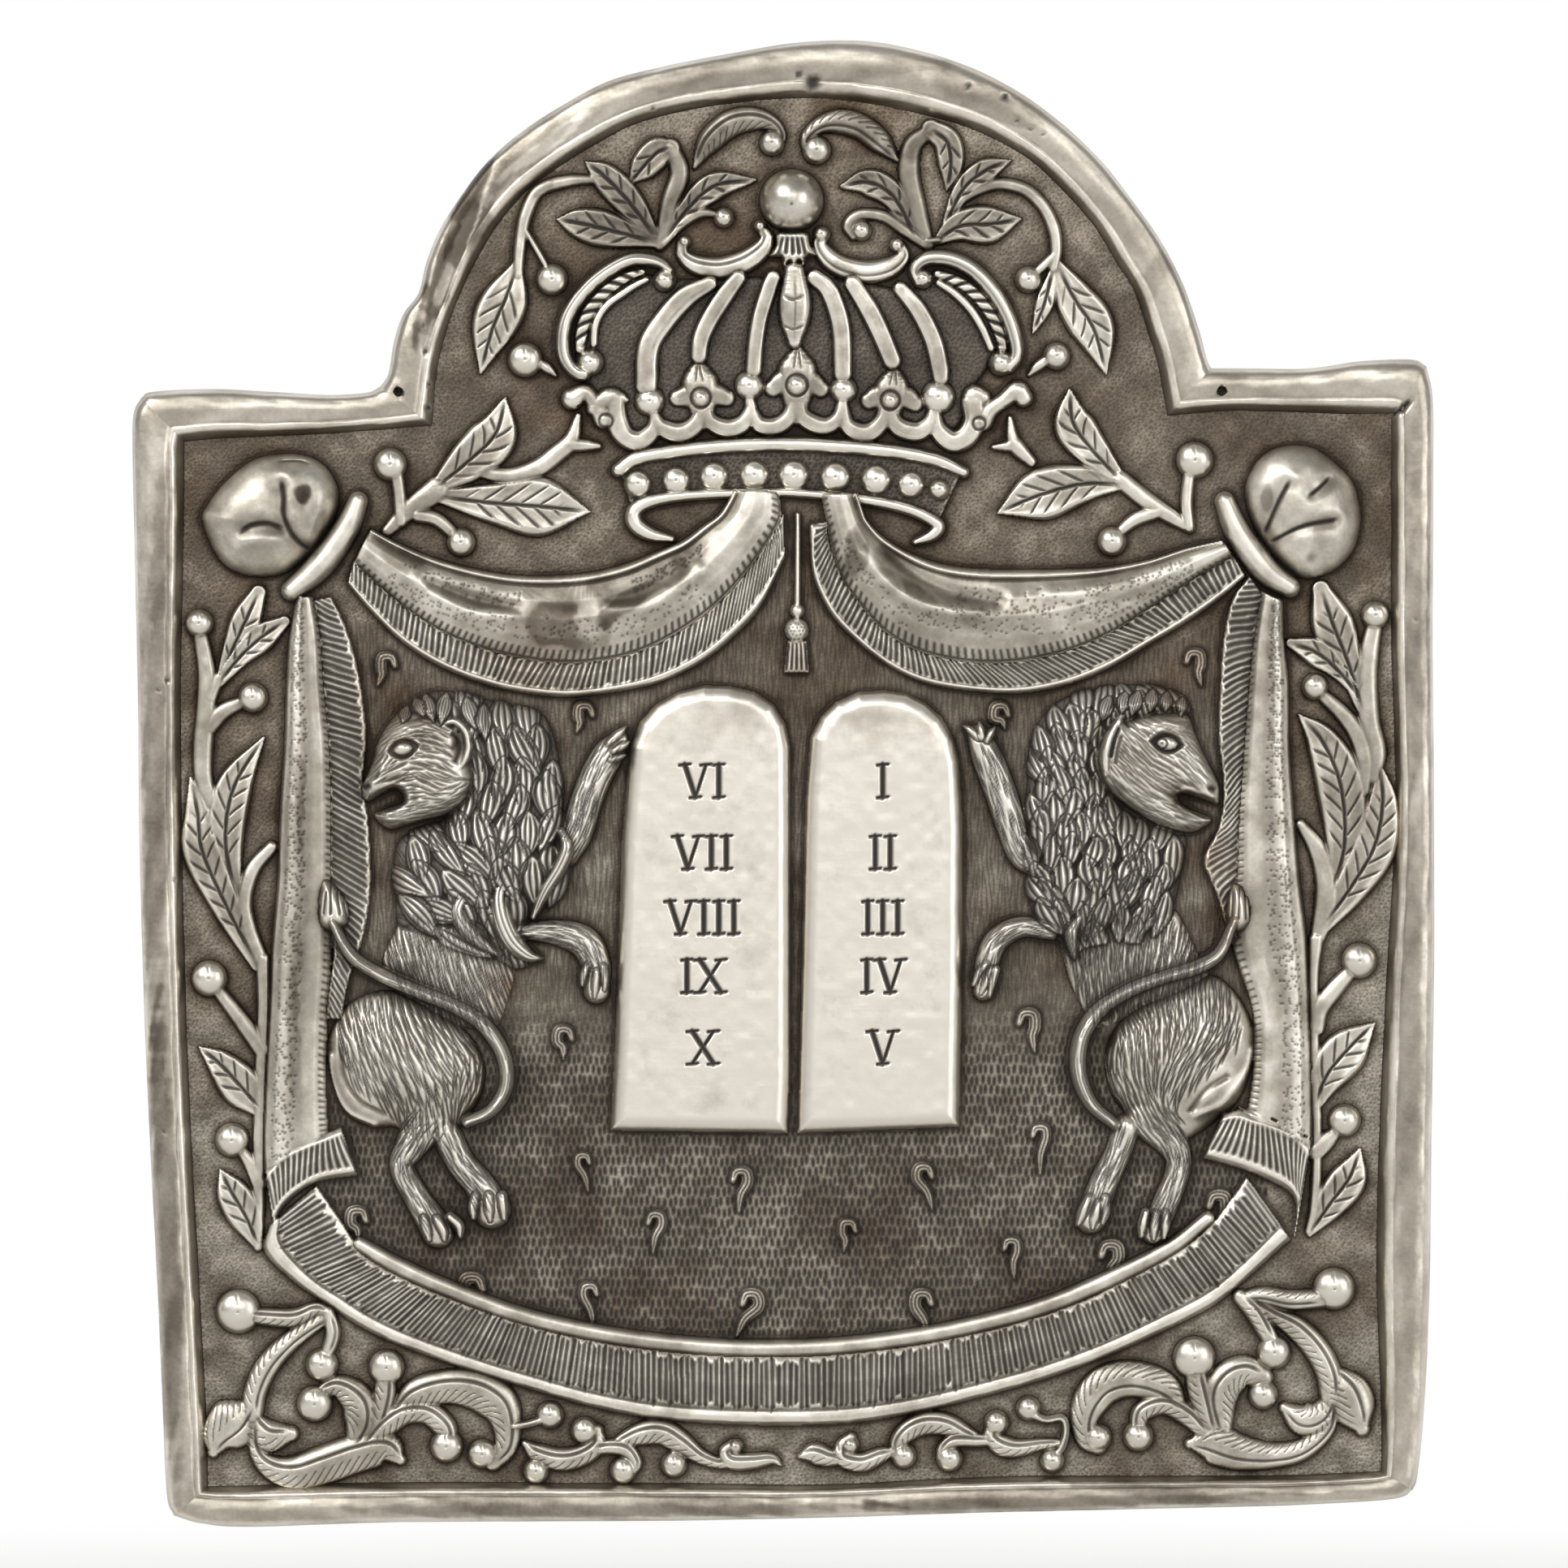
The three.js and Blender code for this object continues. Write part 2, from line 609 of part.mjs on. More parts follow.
// The lions: outlines of head, mane and haunch, and strokes for the rest
const lionLeft = {
  headShares: [
    [-0.3235, 0.5625], [-0.3245, 0.572], [-0.317, 0.592], [-0.307, 0.61], [-0.292, 0.6245],
    [-0.27, 0.623], [-0.252, 0.6265], [-0.238, 0.613], [-0.236, 0.585], [-0.241, 0.557],
    [-0.262, 0.548], [-0.285, 0.5415], [-0.3, 0.539], [-0.3105, 0.545], [-0.3125, 0.5485],
    [-0.294, 0.556], [-0.295, 0.5675],
  ],
  maneShares: [
    [-0.297, 0.6195], [-0.285, 0.637], [-0.262, 0.6445], [-0.235, 0.639], [-0.205, 0.6325],
    [-0.185, 0.6255], [-0.176, 0.607], [-0.171, 0.58], [-0.1685, 0.55], [-0.165, 0.52],
    [-0.1685, 0.491], [-0.185, 0.475], [-0.2, 0.464], [-0.206, 0.452], [-0.188, 0.438],
    [-0.204, 0.432], [-0.217, 0.437], [-0.24, 0.443], [-0.262, 0.45], [-0.282, 0.457],
    [-0.296, 0.463], [-0.298, 0.49], [-0.2995, 0.512], [-0.292, 0.532], [-0.262, 0.545],
    [-0.246, 0.57], [-0.262, 0.6],
  ],
  waistShares: [[-0.3015, 0.443, 0.0135], [-0.265, 0.432, 0.0215], [-0.222, 0.421, 0.0215]],
  haunchShares: [
    [-0.351, 0.365], [-0.345, 0.389], [-0.33, 0.406], [-0.302, 0.4135], [-0.27, 0.4],
    [-0.243, 0.381], [-0.2295, 0.355], [-0.235, 0.327], [-0.256, 0.303], [-0.28, 0.296],
    [-0.298, 0.308], [-0.318, 0.309], [-0.34, 0.324],
  ],
  tailShares: [
    [-0.346, 0.466, 0.0035], [-0.332, 0.441, 0.0045], [-0.311, 0.4265, 0.005],
    [-0.284, 0.4145, 0.0052], [-0.255, 0.403, 0.0055], [-0.232, 0.389, 0.0058],
    [-0.216, 0.366, 0.0058], [-0.213, 0.341, 0.0055], [-0.224, 0.322, 0.0048],
    [-0.243, 0.3125, 0.004],
  ],
  tuftShares: [
    [-0.3535, 0.5], [-0.3595, 0.478], [-0.357, 0.464], [-0.347, 0.4585], [-0.3355, 0.463],
    [-0.333, 0.476], [-0.3385, 0.488],
  ],
  limbsShares: [
    [[-0.272, 0.315, 0.02], [-0.287, 0.293, 0.0125], [-0.293, 0.277, 0.01],
      [-0.281, 0.253, 0.0105], [-0.2655, 0.2285, 0.0135]],
    [[-0.26, 0.305, 0.012], [-0.248, 0.281, 0.0115], [-0.234, 0.264, 0.0125],
      [-0.224, 0.245, 0.0155]],
    [[-0.183, 0.53, 0.013], [-0.163, 0.555, 0.0135], [-0.145, 0.582, 0.014],
      [-0.129, 0.602, 0.009]],
    [[-0.202, 0.459, 0.006], [-0.176, 0.4585, 0.009], [-0.154, 0.4515, 0.0115],
      [-0.1445, 0.435, 0.011], [-0.1435, 0.4135, 0.0095]],
  ],
  hollowShares: [
    [[-0.284, 0.47], [-0.21, 0.45], [-0.182, 0.5], [-0.186, 0.6], [-0.22, 0.62], [-0.25, 0.6],
      [-0.234, 0.54], [-0.285, 0.51]],
    [[-0.336, 0.35], [-0.325, 0.392], [-0.295, 0.4], [-0.245, 0.37], [-0.246, 0.33],
      [-0.275, 0.308]],
  ],
};
const lionRight = {
  headShares: [
    [0.3365, 0.5615], [0.336, 0.5735], [0.328, 0.594], [0.318, 0.6145], [0.306, 0.628],
    [0.283, 0.624], [0.262, 0.6255], [0.25, 0.6225], [0.2425, 0.603], [0.2415, 0.578],
    [0.252, 0.566], [0.268, 0.552], [0.287, 0.541], [0.305, 0.5365], [0.32, 0.5375],
    [0.331, 0.546], [0.306, 0.5565], [0.308, 0.5645],
  ],
  maneShares: [
    [0.309, 0.6265], [0.31, 0.637], [0.297, 0.6445], [0.272, 0.649], [0.245, 0.6465],
    [0.215, 0.6375], [0.197, 0.62], [0.19, 0.59], [0.1875, 0.56], [0.187, 0.525],
    [0.1885, 0.49], [0.196, 0.466], [0.211, 0.4535], [0.2205, 0.438], [0.231, 0.4475],
    [0.257, 0.452], [0.277, 0.4525], [0.296, 0.466], [0.3025, 0.485], [0.307, 0.51],
    [0.309, 0.5335], [0.28, 0.543], [0.256, 0.56], [0.25, 0.6], [0.274, 0.618],
  ],
  waistShares: [[0.309, 0.4435, 0.0115], [0.27, 0.4365, 0.0175], [0.234, 0.427, 0.0165]],
  haunchShares: [
    [0.3635, 0.373], [0.359, 0.394], [0.346, 0.4145], [0.326, 0.4255], [0.29, 0.412],
    [0.266, 0.396], [0.249, 0.37], [0.252, 0.336], [0.272, 0.31], [0.292, 0.294],
    [0.312, 0.299], [0.335, 0.3145], [0.354, 0.334],
  ],
  tailShares: [
    [0.347, 0.468, 0.0035], [0.336, 0.443, 0.0045], [0.318, 0.4315, 0.0052],
    [0.292, 0.424, 0.0055], [0.266, 0.414, 0.0058], [0.2435, 0.399, 0.006],
    [0.2295, 0.377, 0.0062], [0.2275, 0.351, 0.006], [0.237, 0.327, 0.005],
    [0.2555, 0.3105, 0.004],
  ],
  tuftShares: [
    [0.346, 0.4965], [0.3405, 0.478], [0.342, 0.463], [0.35, 0.4575], [0.3595, 0.4645],
    [0.3615, 0.477], [0.357, 0.489],
  ],
  limbsShares: [
    [[0.285, 0.318, 0.022], [0.3015, 0.293, 0.0125], [0.304, 0.276, 0.01],
      [0.2955, 0.252, 0.0105], [0.2855, 0.2285, 0.011]],
    [[0.264, 0.308, 0.011], [0.2575, 0.288, 0.0105], [0.247, 0.2655, 0.0115],
      [0.237, 0.2385, 0.0125]],
    [[0.1965, 0.522, 0.013], [0.1765, 0.548, 0.014], [0.1605, 0.579, 0.013],
      [0.147, 0.608, 0.008]],
    [[0.207, 0.459, 0.006], [0.184, 0.4625, 0.0075], [0.1655, 0.453, 0.0085],
      [0.1575, 0.436, 0.0085], [0.154, 0.4135, 0.007]],
  ],
  hollowShares: [
    [[0.292, 0.478], [0.225, 0.458], [0.201, 0.49], [0.204, 0.6], [0.225, 0.626], [0.243, 0.61],
      [0.246, 0.56], [0.295, 0.52]],
    [[0.348, 0.365], [0.335, 0.405], [0.31, 0.41], [0.263, 0.375], [0.265, 0.335],
      [0.294, 0.31]],
  ],
};

function lion(shares) {
  const solids = [
    boss(shares.headShares, raised.head),
    boss(shares.maneShares, raised.mane),
    boss(shares.haunchShares, raised.haunch),
    stroke(shares.waistShares, raised.waist, roundSectionShares),
    stroke(shares.tailShares, raised.tail),
    boss(shares.tuftShares, raised.tuft, flatLevelShares),
    ...shares.limbsShares.map((limb) => stroke(limb, raised.limb)),
  ];
  const hollows = shares.hollowShares.map((outline) =>
    boss(outline, raised.mane - 2 * shellThickness, flatLevelShares),
  );
  return joined(solids).subtract(joined(hollows));
}

// The crown
const capShares = [
  [-0.15, 0.8775], [-0.1595, 0.9], [-0.1585, 0.923], [-0.148, 0.945], [-0.13, 0.961],
  [-0.105, 0.965], [-0.076, 0.9615], [-0.035, 0.963], [-0.0055, 0.9635], [0.021, 0.9635],
  [0.04, 0.962], [0.07, 0.9575], [0.1, 0.953], [0.118, 0.965], [0.138, 0.959], [0.155, 0.943],
  [0.167, 0.92], [0.1655, 0.904], [0.155, 0.8895], [0.138, 0.8815],
];
const hoopsShares = [
  [[-0.056, 0.9575, 0.004], [-0.0747, 0.9471, 0.0058], [-0.0915, 0.9286, 0.006],
    [-0.1033, 0.9084, 0.006], [-0.105, 0.8795, 0.006]],
  [[-0.034, 0.962, 0.004], [-0.0444, 0.9488, 0.005], [-0.0562, 0.9303, 0.005],
    [-0.0629, 0.9151, 0.0048], [-0.0646, 0.902, 0.0045]],
  [[-0.0075, 0.962, 0.004], [-0.0108, 0.9538, 0.0044], [-0.0175, 0.932, 0.0044],
    [-0.0209, 0.9118, 0.0044], [-0.0225, 0.8915, 0.0044]],
  [[0.0245, 0.962, 0.0045], [0.0345, 0.9534, 0.005], [0.0416, 0.9368, 0.0052],
    [0.0453, 0.9184, 0.0052], [0.0462, 0.8885, 0.005]],
  [[0.0535, 0.9575, 0.0045], [0.0656, 0.9387, 0.0052], [0.0748, 0.9203, 0.0052],
    [0.084, 0.8985, 0.005]],
  [[0.0905, 0.9535, 0.004], [0.1042, 0.9368, 0.0048], [0.1153, 0.9147, 0.005],
    [0.1205, 0.8935, 0.005], [0.1215, 0.8855, 0.0045]],
];
const balusterShares = [
  [0.0076, 0.962, 0.005], [0.0078, 0.948, 0.0095], [0.0085, 0.93, 0.0108], [0.0085, 0.914, 0.006],
];
const archLeftShares = [
  [-0.1521, 0.8874, 0.005], [-0.1622, 0.8899, 0.0048], [-0.1689, 0.9017, 0.0046],
  [-0.1706, 0.9168, 0.0045], [-0.1672, 0.9336, 0.0045], [-0.1588, 0.9488, 0.0045],
  [-0.1487, 0.9622, 0.0045], [-0.1352, 0.9723, 0.0045], [-0.1201, 0.9765, 0.0045],
  [-0.105, 0.9757, 0.0042], [-0.0915, 0.9698, 0.004], [-0.086, 0.9639, 0.0035],
];
const archLeftBallsShares = [[-0.1479, 0.895, 0.0105], [-0.0915, 0.959, 0.0075]];
const archRightShares = [
  [0.1005, 0.9663, 0.0035], [0.1024, 0.9745, 0.004], [0.1134, 0.9787, 0.0042],
  [0.1282, 0.9774, 0.0045], [0.1429, 0.97, 0.0045], [0.1558, 0.9571, 0.0045],
  [0.1687, 0.9424, 0.0045], [0.177, 0.9276, 0.0045], [0.1797, 0.9129, 0.0045],
  [0.1779, 0.9, 0.0048], [0.1724, 0.8912, 0.005],
];
const archRightBallsShares = [[0.1678, 0.8972, 0.0095], [0.1079, 0.9626, 0.0075]];
const orbMiddleShares = [0.0068, 1.0212];
const orbHalfShares = [0.0243, 0.0208];
const orbSides = 16;
const calyxShares = [
  [-0.0035, 0.9965], [0.018, 0.9965], [0.0195, 0.988], [0.0215, 0.9775], [0.013, 0.9755],
  [0.0072, 0.966], [0.0015, 0.9755], [-0.0095, 0.979], [-0.0055, 0.988],
];
const scrollLeftShares = [
  [-0.0775, 0.9895, 0.004], [-0.0765, 0.98, 0.0045], [-0.0655, 0.9725, 0.006],
  [-0.0494, 0.9698, 0.007], [-0.0343, 0.974, 0.007], [-0.0209, 0.9824, 0.0055],
  [-0.015, 0.9925, 0.0038], [-0.016, 1.0005, 0.0042],
];
const scrollRightShares = [
  [0.0296, 0.9958, 0.0055], [0.0265, 0.985, 0.0045], [0.0343, 0.9755, 0.006],
  [0.049, 0.9682, 0.007], [0.0656, 0.9664, 0.007], [0.0811, 0.971, 0.006],
  [0.0905, 0.9792, 0.0042], [0.0905, 0.9868, 0.0045],
];
const crestingShares = [
  [-0.139, 0.853, 0.006], [-0.126, 0.8475, 0.006], [-0.113, 0.8385, 0.0062],
  [-0.1022, 0.8535, 0.0062], [-0.0918, 0.8425, 0.006], [-0.0775, 0.842, 0.006],
  [-0.061, 0.854, 0.005], [-0.0508, 0.8446, 0.0055], [-0.0392, 0.8433, 0.0055],
  [-0.0257, 0.8655, 0.0085], [-0.0174, 0.8485, 0.0055], [-0.0022, 0.8446, 0.0055],
  [0.0105, 0.8575, 0.005], [0.0197, 0.8485, 0.0055], [0.033, 0.8455, 0.0055],
  [0.0467, 0.863, 0.0055], [0.0531, 0.8459, 0.0055], [0.0675, 0.841, 0.006],
  [0.082, 0.8545, 0.005], [0.0915, 0.8433, 0.0058], [0.1044, 0.8415, 0.006],
  [0.118, 0.856, 0.006], [0.1249, 0.8385, 0.006], [0.1335, 0.835, 0.0062],
  [0.1435, 0.845, 0.006], [0.153, 0.8535, 0.006],
];
const crestingPearlsShares = [
  [-0.1026, 0.8672, 0.0088], [-0.0259, 0.8792, 0.0086], [0.0467, 0.8759, 0.008],
  [0.1195, 0.8703, 0.0098],
];
const fleuronsShares = [
  { stem: [[-0.0612, 0.852, 0.005], [-0.0625, 0.868, 0.0085], [-0.064, 0.884, 0.0092], [-0.0649, 0.8975, 0.003]],
    lobes: [[-0.0805, 0.8695, 0.003], [-0.071, 0.8715, 0.0065], [-0.054, 0.8725, 0.0068], [-0.0435, 0.8695, 0.003]] },
  { stem: [[0.0105, 0.856, 0.005], [0.0108, 0.876, 0.009], [0.0112, 0.894, 0.0098], [0.0115, 0.9095, 0.002]],
    lobes: [[-0.0075, 0.877, 0.003], [0.002, 0.8825, 0.007], [0.019, 0.8825, 0.007], [0.029, 0.8765, 0.003]] },
  { stem: [[0.0815, 0.853, 0.005], [0.0826, 0.868, 0.0085], [0.0848, 0.881, 0.0085], [0.0858, 0.8935, 0.002]],
    lobes: [[0.0665, 0.8675, 0.003], [0.0745, 0.8705, 0.006], [0.0925, 0.8705, 0.0065], [0.1015, 0.8655, 0.003]] },
];
const crestingEndsShares = [
  [[-0.1635, 0.8675, 0.0088], [-0.1525, 0.872, 0.0072], [-0.144, 0.863, 0.0068], [-0.137, 0.852, 0.008]],
  [[-0.144, 0.858, 0.006], [-0.1335, 0.8655, 0.0115], [-0.124, 0.8665, 0.0075], [-0.121, 0.857, 0.005]],
  [[0.1545, 0.852, 0.008], [0.1565, 0.862, 0.0075], [0.1685, 0.868, 0.0065], [0.1805, 0.873, 0.0088]],
  [[0.144, 0.846, 0.005], [0.1435, 0.86, 0.0085], [0.1495, 0.8625, 0.0105], [0.1575, 0.86, 0.007]],
];
const bandShares = [
  [-0.1255, 0.816, -0.1165, 0.785],
  [-0.1136, 0.8225, -0.1, 0.7908],
  [-0.0879, 0.8279, -0.0751, 0.7946],
  [-0.0546, 0.8318, -0.04, 0.7964],
  [-0.0213, 0.8338, -0.01, 0.7972],
  [0.01, 0.834, 0.015, 0.7965],
  [0.03, 0.8331, 0.0351, 0.7946],
  [0.0659, 0.8305, 0.0659, 0.7908],
  [0.0992, 0.8262, 0.0915, 0.7856],
  [0.1223, 0.8203, 0.1121, 0.7779],
  [0.1375, 0.813, 0.1185, 0.7725],
];
const bandTopRimShares = [
  [-0.1265, 0.814, 0.0042], [-0.1136, 0.8228, 0.0045], [-0.0879, 0.8279, 0.0046],
  [-0.0546, 0.8318, 0.0046], [-0.0213, 0.8338, 0.0046], [0.01, 0.834, 0.0046],
  [0.03, 0.8331, 0.0046], [0.0659, 0.8305, 0.0046], [0.0992, 0.8262, 0.0044],
  [0.1223, 0.8203, 0.0042], [0.139, 0.8126, 0.0035],
];
const bandLowRimShares = [
  [-0.0854, 0.7613, 0.0022], [-0.1025, 0.7651, 0.0045], [-0.1135, 0.773, 0.0052],
  [-0.1136, 0.7835, 0.0048], [-0.1, 0.7908, 0.0042], [-0.0751, 0.7946, 0.0036],
  [-0.0367, 0.7964, 0.0032], [0, 0.797, 0.003], [0.0351, 0.7946, 0.0032],
  [0.0659, 0.7908, 0.0036], [0.0915, 0.7856, 0.0038], [0.11, 0.7785, 0.004],
  [0.1195, 0.7712, 0.0042], [0.1145, 0.764, 0.0038], [0.1018, 0.7587, 0.002],
];
const bandPearlsShares = [
  [-0.1115, 0.8036, 0.0086], [-0.0823, 0.8062, 0.0089], [-0.0531, 0.8095, 0.0092],
  [-0.0221, 0.8105, 0.0094], [0.0082, 0.8103, 0.0097], [0.0403, 0.8087, 0.0097],
  [0.0715, 0.8069, 0.0096], [0.0985, 0.8031, 0.0086], [0.1203, 0.7992, 0.0062],
];

// Room for a stroke that is let into another piece, a little wider all round
const roomSectionShares = [[-1, -1], [-1, 1], [1, 1], [1, -1]];
function roomFor(pathShares) {
  const gap = pieceGap / plateWidth;
  const wider = pathShares.map(([across, up, halfWidth]) => [across, up, halfWidth + gap]);
  return stroke(wider, frameCrest, roomSectionShares);
}

function roomForBead([across, up, radius]) {
  const wider = radius + pieceGap / plateWidth;
  return prism(oval([across, up], wider, wider, beadSides));
}

function crownCap() {
  const rooms = [
    ...[archLeftShares, archRightShares].map(roomFor),
    roomFor(crestingShares),
    ...fleuronsShares.flatMap((fleuron) => [roomFor(fleuron.stem), roomFor(fleuron.lobes)]),
    ...crestingEndsShares.map(roomFor),
    ...[...archLeftBallsShares, ...archRightBallsShares, ...crestingPearlsShares].map(roomForBead),
  ];
  return boss(capShares, raised.cap, flatLevelShares).subtract(joined(rooms));
}

function crownArch(pathShares, ballsShares) {
  return joined([
    stroke(pathShares, raised.arch, roundSectionShares),
    ...ballsShares.map((ball) => berry(ball, raised.arch, pearlLevelShares)),
  ]);
}

function cresting() {
  return joined([
    stroke(crestingShares, raised.cresting),
    ...crestingPearlsShares.map((pearl) => berry(pearl, raised.boss, pearlLevelShares)),
    ...fleuronsShares.flatMap((fleuron) => [
      stroke(fleuron.stem, raised.cresting),
      stroke(fleuron.lobes, raised.cresting),
    ]),
    ...crestingEndsShares.map((end) => stroke(end, raised.cresting)),
  ]);
}

function crownBand() {
  const profile = [
    [0, groundFront],
    [0, groundFront + raised.band],
    [1, groundFront + raised.band],
    [1, groundFront],
  ];
  return joined([
    strip(bandShares, profile),
    stroke(bandTopRimShares, raised.rim),
    stroke(bandLowRimShares, raised.rim),
    ...bandPearlsShares.map((pearl) => berry(pearl, raised.pearl)),
  ]);
}

// Foliage. Leaves, stems and scrolls are strokes; berries are [across, up, radius].
const topSprayLeft = {
  leavesShares: [
    [[-0.099, 0.99, 0.004], [-0.1352, 0.9993, 0.0115], [-0.158, 1.0045, 0.0095], [-0.1739, 1.007, 0.001]],
    [[-0.097, 0.992, 0.003], [-0.118, 1.02, 0.0095], [-0.137, 1.04, 0.009], [-0.1521, 1.0515, 0.001]],
    [[-0.0865, 1.062, 0.0065], [-0.0965, 1.0585, 0.01], [-0.1083, 1.0463, 0.0085], [-0.1175, 1.035, 0.001]],
    [[-0.093, 0.988, 0.003], [-0.074, 1.014, 0.0065], [-0.052, 1.033, 0.009], [-0.0215, 1.0375, 0.0015]],
    [[-0.205, 0.971, 0.004], [-0.213, 0.947, 0.014], [-0.2235, 0.9225, 0.0135], [-0.2328, 0.889, 0.001]],
  ],
  stemsShares: [
    [[-0.0949, 0.987, 0.004], [-0.0873, 1.0194, 0.0065], [-0.0797, 1.043, 0.007], [-0.086, 1.062, 0.006]],
    [[-0.142, 1.038, 0.003], [-0.166, 1.0368, 0.0045], [-0.1874, 1.0295, 0.0048], [-0.1975, 1.012, 0.0048],
      [-0.202, 0.99, 0.0045], [-0.204, 0.965, 0.004]],
    [[-0.2, 1.002, 0.002], [-0.19, 0.985, 0.0025], [-0.181, 0.969, 0.0025]],
    [[-0.092, 0.988, 0.003], [-0.079, 1.003, 0.004], [-0.064, 1.012, 0.004], [-0.05, 1.011, 0.0025]],
  ],
  berriesShares: [[-0.1776, 0.9609, 0.0104], [-0.0457, 1.0085, 0.0068]],
};
const topSprayRight = {
  leavesShares: [
    [[0.103, 0.992, 0.003], [0.0855, 1.024, 0.008], [0.066, 1.0355, 0.009], [0.045, 1.0325, 0.0015]],
    [[0.114, 1.0765, 0.0065], [0.1265, 1.0665, 0.009], [0.1292, 1.048, 0.008], [0.1262, 1.03, 0.001]],
    [[0.123, 0.998, 0.002], [0.138, 1.029, 0.0065], [0.156, 1.0445, 0.008], [0.175, 1.0525, 0.001]],
    [[0.118, 0.9905, 0.003], [0.137, 1.002, 0.01], [0.16, 1.0035, 0.012], [0.1825, 1.0075, 0.0015]],
    [[0.211, 0.972, 0.004], [0.2245, 0.946, 0.0125], [0.2395, 0.922, 0.0135], [0.2488, 0.8885, 0.001]],
    [[0.2075, 0.968, 0.002], [0.2015, 0.943, 0.006], [0.1925, 0.92, 0.001]],
  ],
  stemsShares: [
    [[0.1116, 0.988, 0.005], [0.102, 1.0179, 0.0075], [0.0969, 1.0436, 0.0078], [0.1, 1.064, 0.007],
      [0.115, 1.0765, 0.005]],
    [[0.128, 1.014, 0.003], [0.1447, 1.0271, 0.004], [0.165, 1.0344, 0.0045], [0.1853, 1.0308, 0.0048],
      [0.2, 1.0179, 0.0048], [0.2083, 1.0013, 0.0048], [0.2105, 0.985, 0.0045], [0.2085, 0.97, 0.004]],
    [[0.209, 0.98, 0.003], [0.2, 0.971, 0.0035], [0.192, 0.964, 0.003]],
    [[0.109, 0.9885, 0.004], [0.0945, 0.9985, 0.0045], [0.078, 1.0095, 0.0045], [0.06, 1.011, 0.0045],
      [0.0505, 1.003, 0.0045], [0.0545, 0.9945, 0.0035]],
    [[0.111, 0.9905, 0.0025], [0.12, 0.9915, 0.0025]],
  ],
  berriesShares: [[0.189, 0.9608, 0.0088], [0.0605, 0.9985, 0.0068]],
};
const topScrollLeft = {
  scrollsShares: [
    [[-0.068, 1.0475, 0.002], [-0.057, 1.0665, 0.0085], [-0.041, 1.0805, 0.0095], [-0.024, 1.0845, 0.0085],
      [-0.01, 1.0815, 0.006], [-0.002, 1.0725, 0.0045], [-0.0035, 1.061, 0.003]],
  ],
  berriesShares: [[-0.0085, 1.066, 0.0085]],
};
const topScrollRight = {
  scrollsShares: [
    [[0.0877, 1.0529, 0.002], [0.0755, 1.0665, 0.008], [0.0595, 1.0785, 0.009], [0.0435, 1.0825, 0.0085],
      [0.0285, 1.0795, 0.006], [0.018, 1.07, 0.0045], [0.018, 1.059, 0.003]],
  ],
  berriesShares: [[0.026, 1.0605, 0.0095]],
};
const shoulderSprayLeft = {
  leavesShares: [
    [[-0.268, 0.8, 0.004], [-0.243, 0.82, 0.013], [-0.2215, 0.8415, 0.0142], [-0.2135, 0.87, 0.001]],
    [[-0.266, 0.794, 0.004], [-0.225, 0.789, 0.0125], [-0.185, 0.786, 0.0185], [-0.1487, 0.7823, 0.001]],
  ],
  stemsShares: [
    [[-0.3045, 0.7672, 0.0035], [-0.2879, 0.7832, 0.0055], [-0.266, 0.7995, 0.007]],
    [[-0.241, 0.815, 0.003], [-0.212, 0.81, 0.0045], [-0.19, 0.8155, 0.005], [-0.1733, 0.8273, 0.005],
      [-0.1627, 0.8375, 0.0045], [-0.1575, 0.856, 0.002]],
    [[-0.1655, 0.834, 0.004], [-0.153, 0.8335, 0.0035], [-0.142, 0.8328, 0.002]],
    [[-0.297, 0.81, 0.0038], [-0.295, 0.795, 0.0038], [-0.294, 0.775, 0.0038]],
    [[-0.281, 0.7795, 0.004], [-0.266, 0.776, 0.004], [-0.251, 0.763, 0.0035]],
  ],
  berriesShares: [[-0.3022, 0.8185, 0.0108], [-0.2477, 0.7586, 0.0094]],
};
const shoulderSprayRight = {
  leavesShares: [
    [[0.261, 0.8055, 0.004], [0.2395, 0.828, 0.0105], [0.2235, 0.8505, 0.0125], [0.2208, 0.8765, 0.001]],
    [[0.2625, 0.803, 0.003], [0.231, 0.8035, 0.012], [0.1965, 0.7945, 0.016], [0.1656, 0.7812, 0.001]],
  ],
  stemsShares: [
    [[0.3135, 0.7695, 0.003], [0.2963, 0.7803, 0.0045], [0.2797, 0.7913, 0.005], [0.26, 0.807, 0.005]],
    [[0.313, 0.814, 0.0035], [0.3108, 0.79, 0.0036], [0.3125, 0.771, 0.0036]],
    [[0.259, 0.7665, 0.003], [0.272, 0.7765, 0.004], [0.289, 0.7825, 0.004]],
  ],
  berriesShares: [[0.317, 0.8218, 0.0122], [0.2534, 0.7594, 0.0096]],
};
const shoulderTwigRight = {
  stemsShares: [
    [[0.1913, 0.8208, 0.003], [0.1803, 0.8319, 0.0045], [0.1765, 0.84, 0.0035], [0.1748, 0.8541, 0.0018]],
    [[0.1795, 0.8335, 0.004], [0.1715, 0.8325, 0.003], [0.162, 0.8319, 0.0015]],
  ],
};
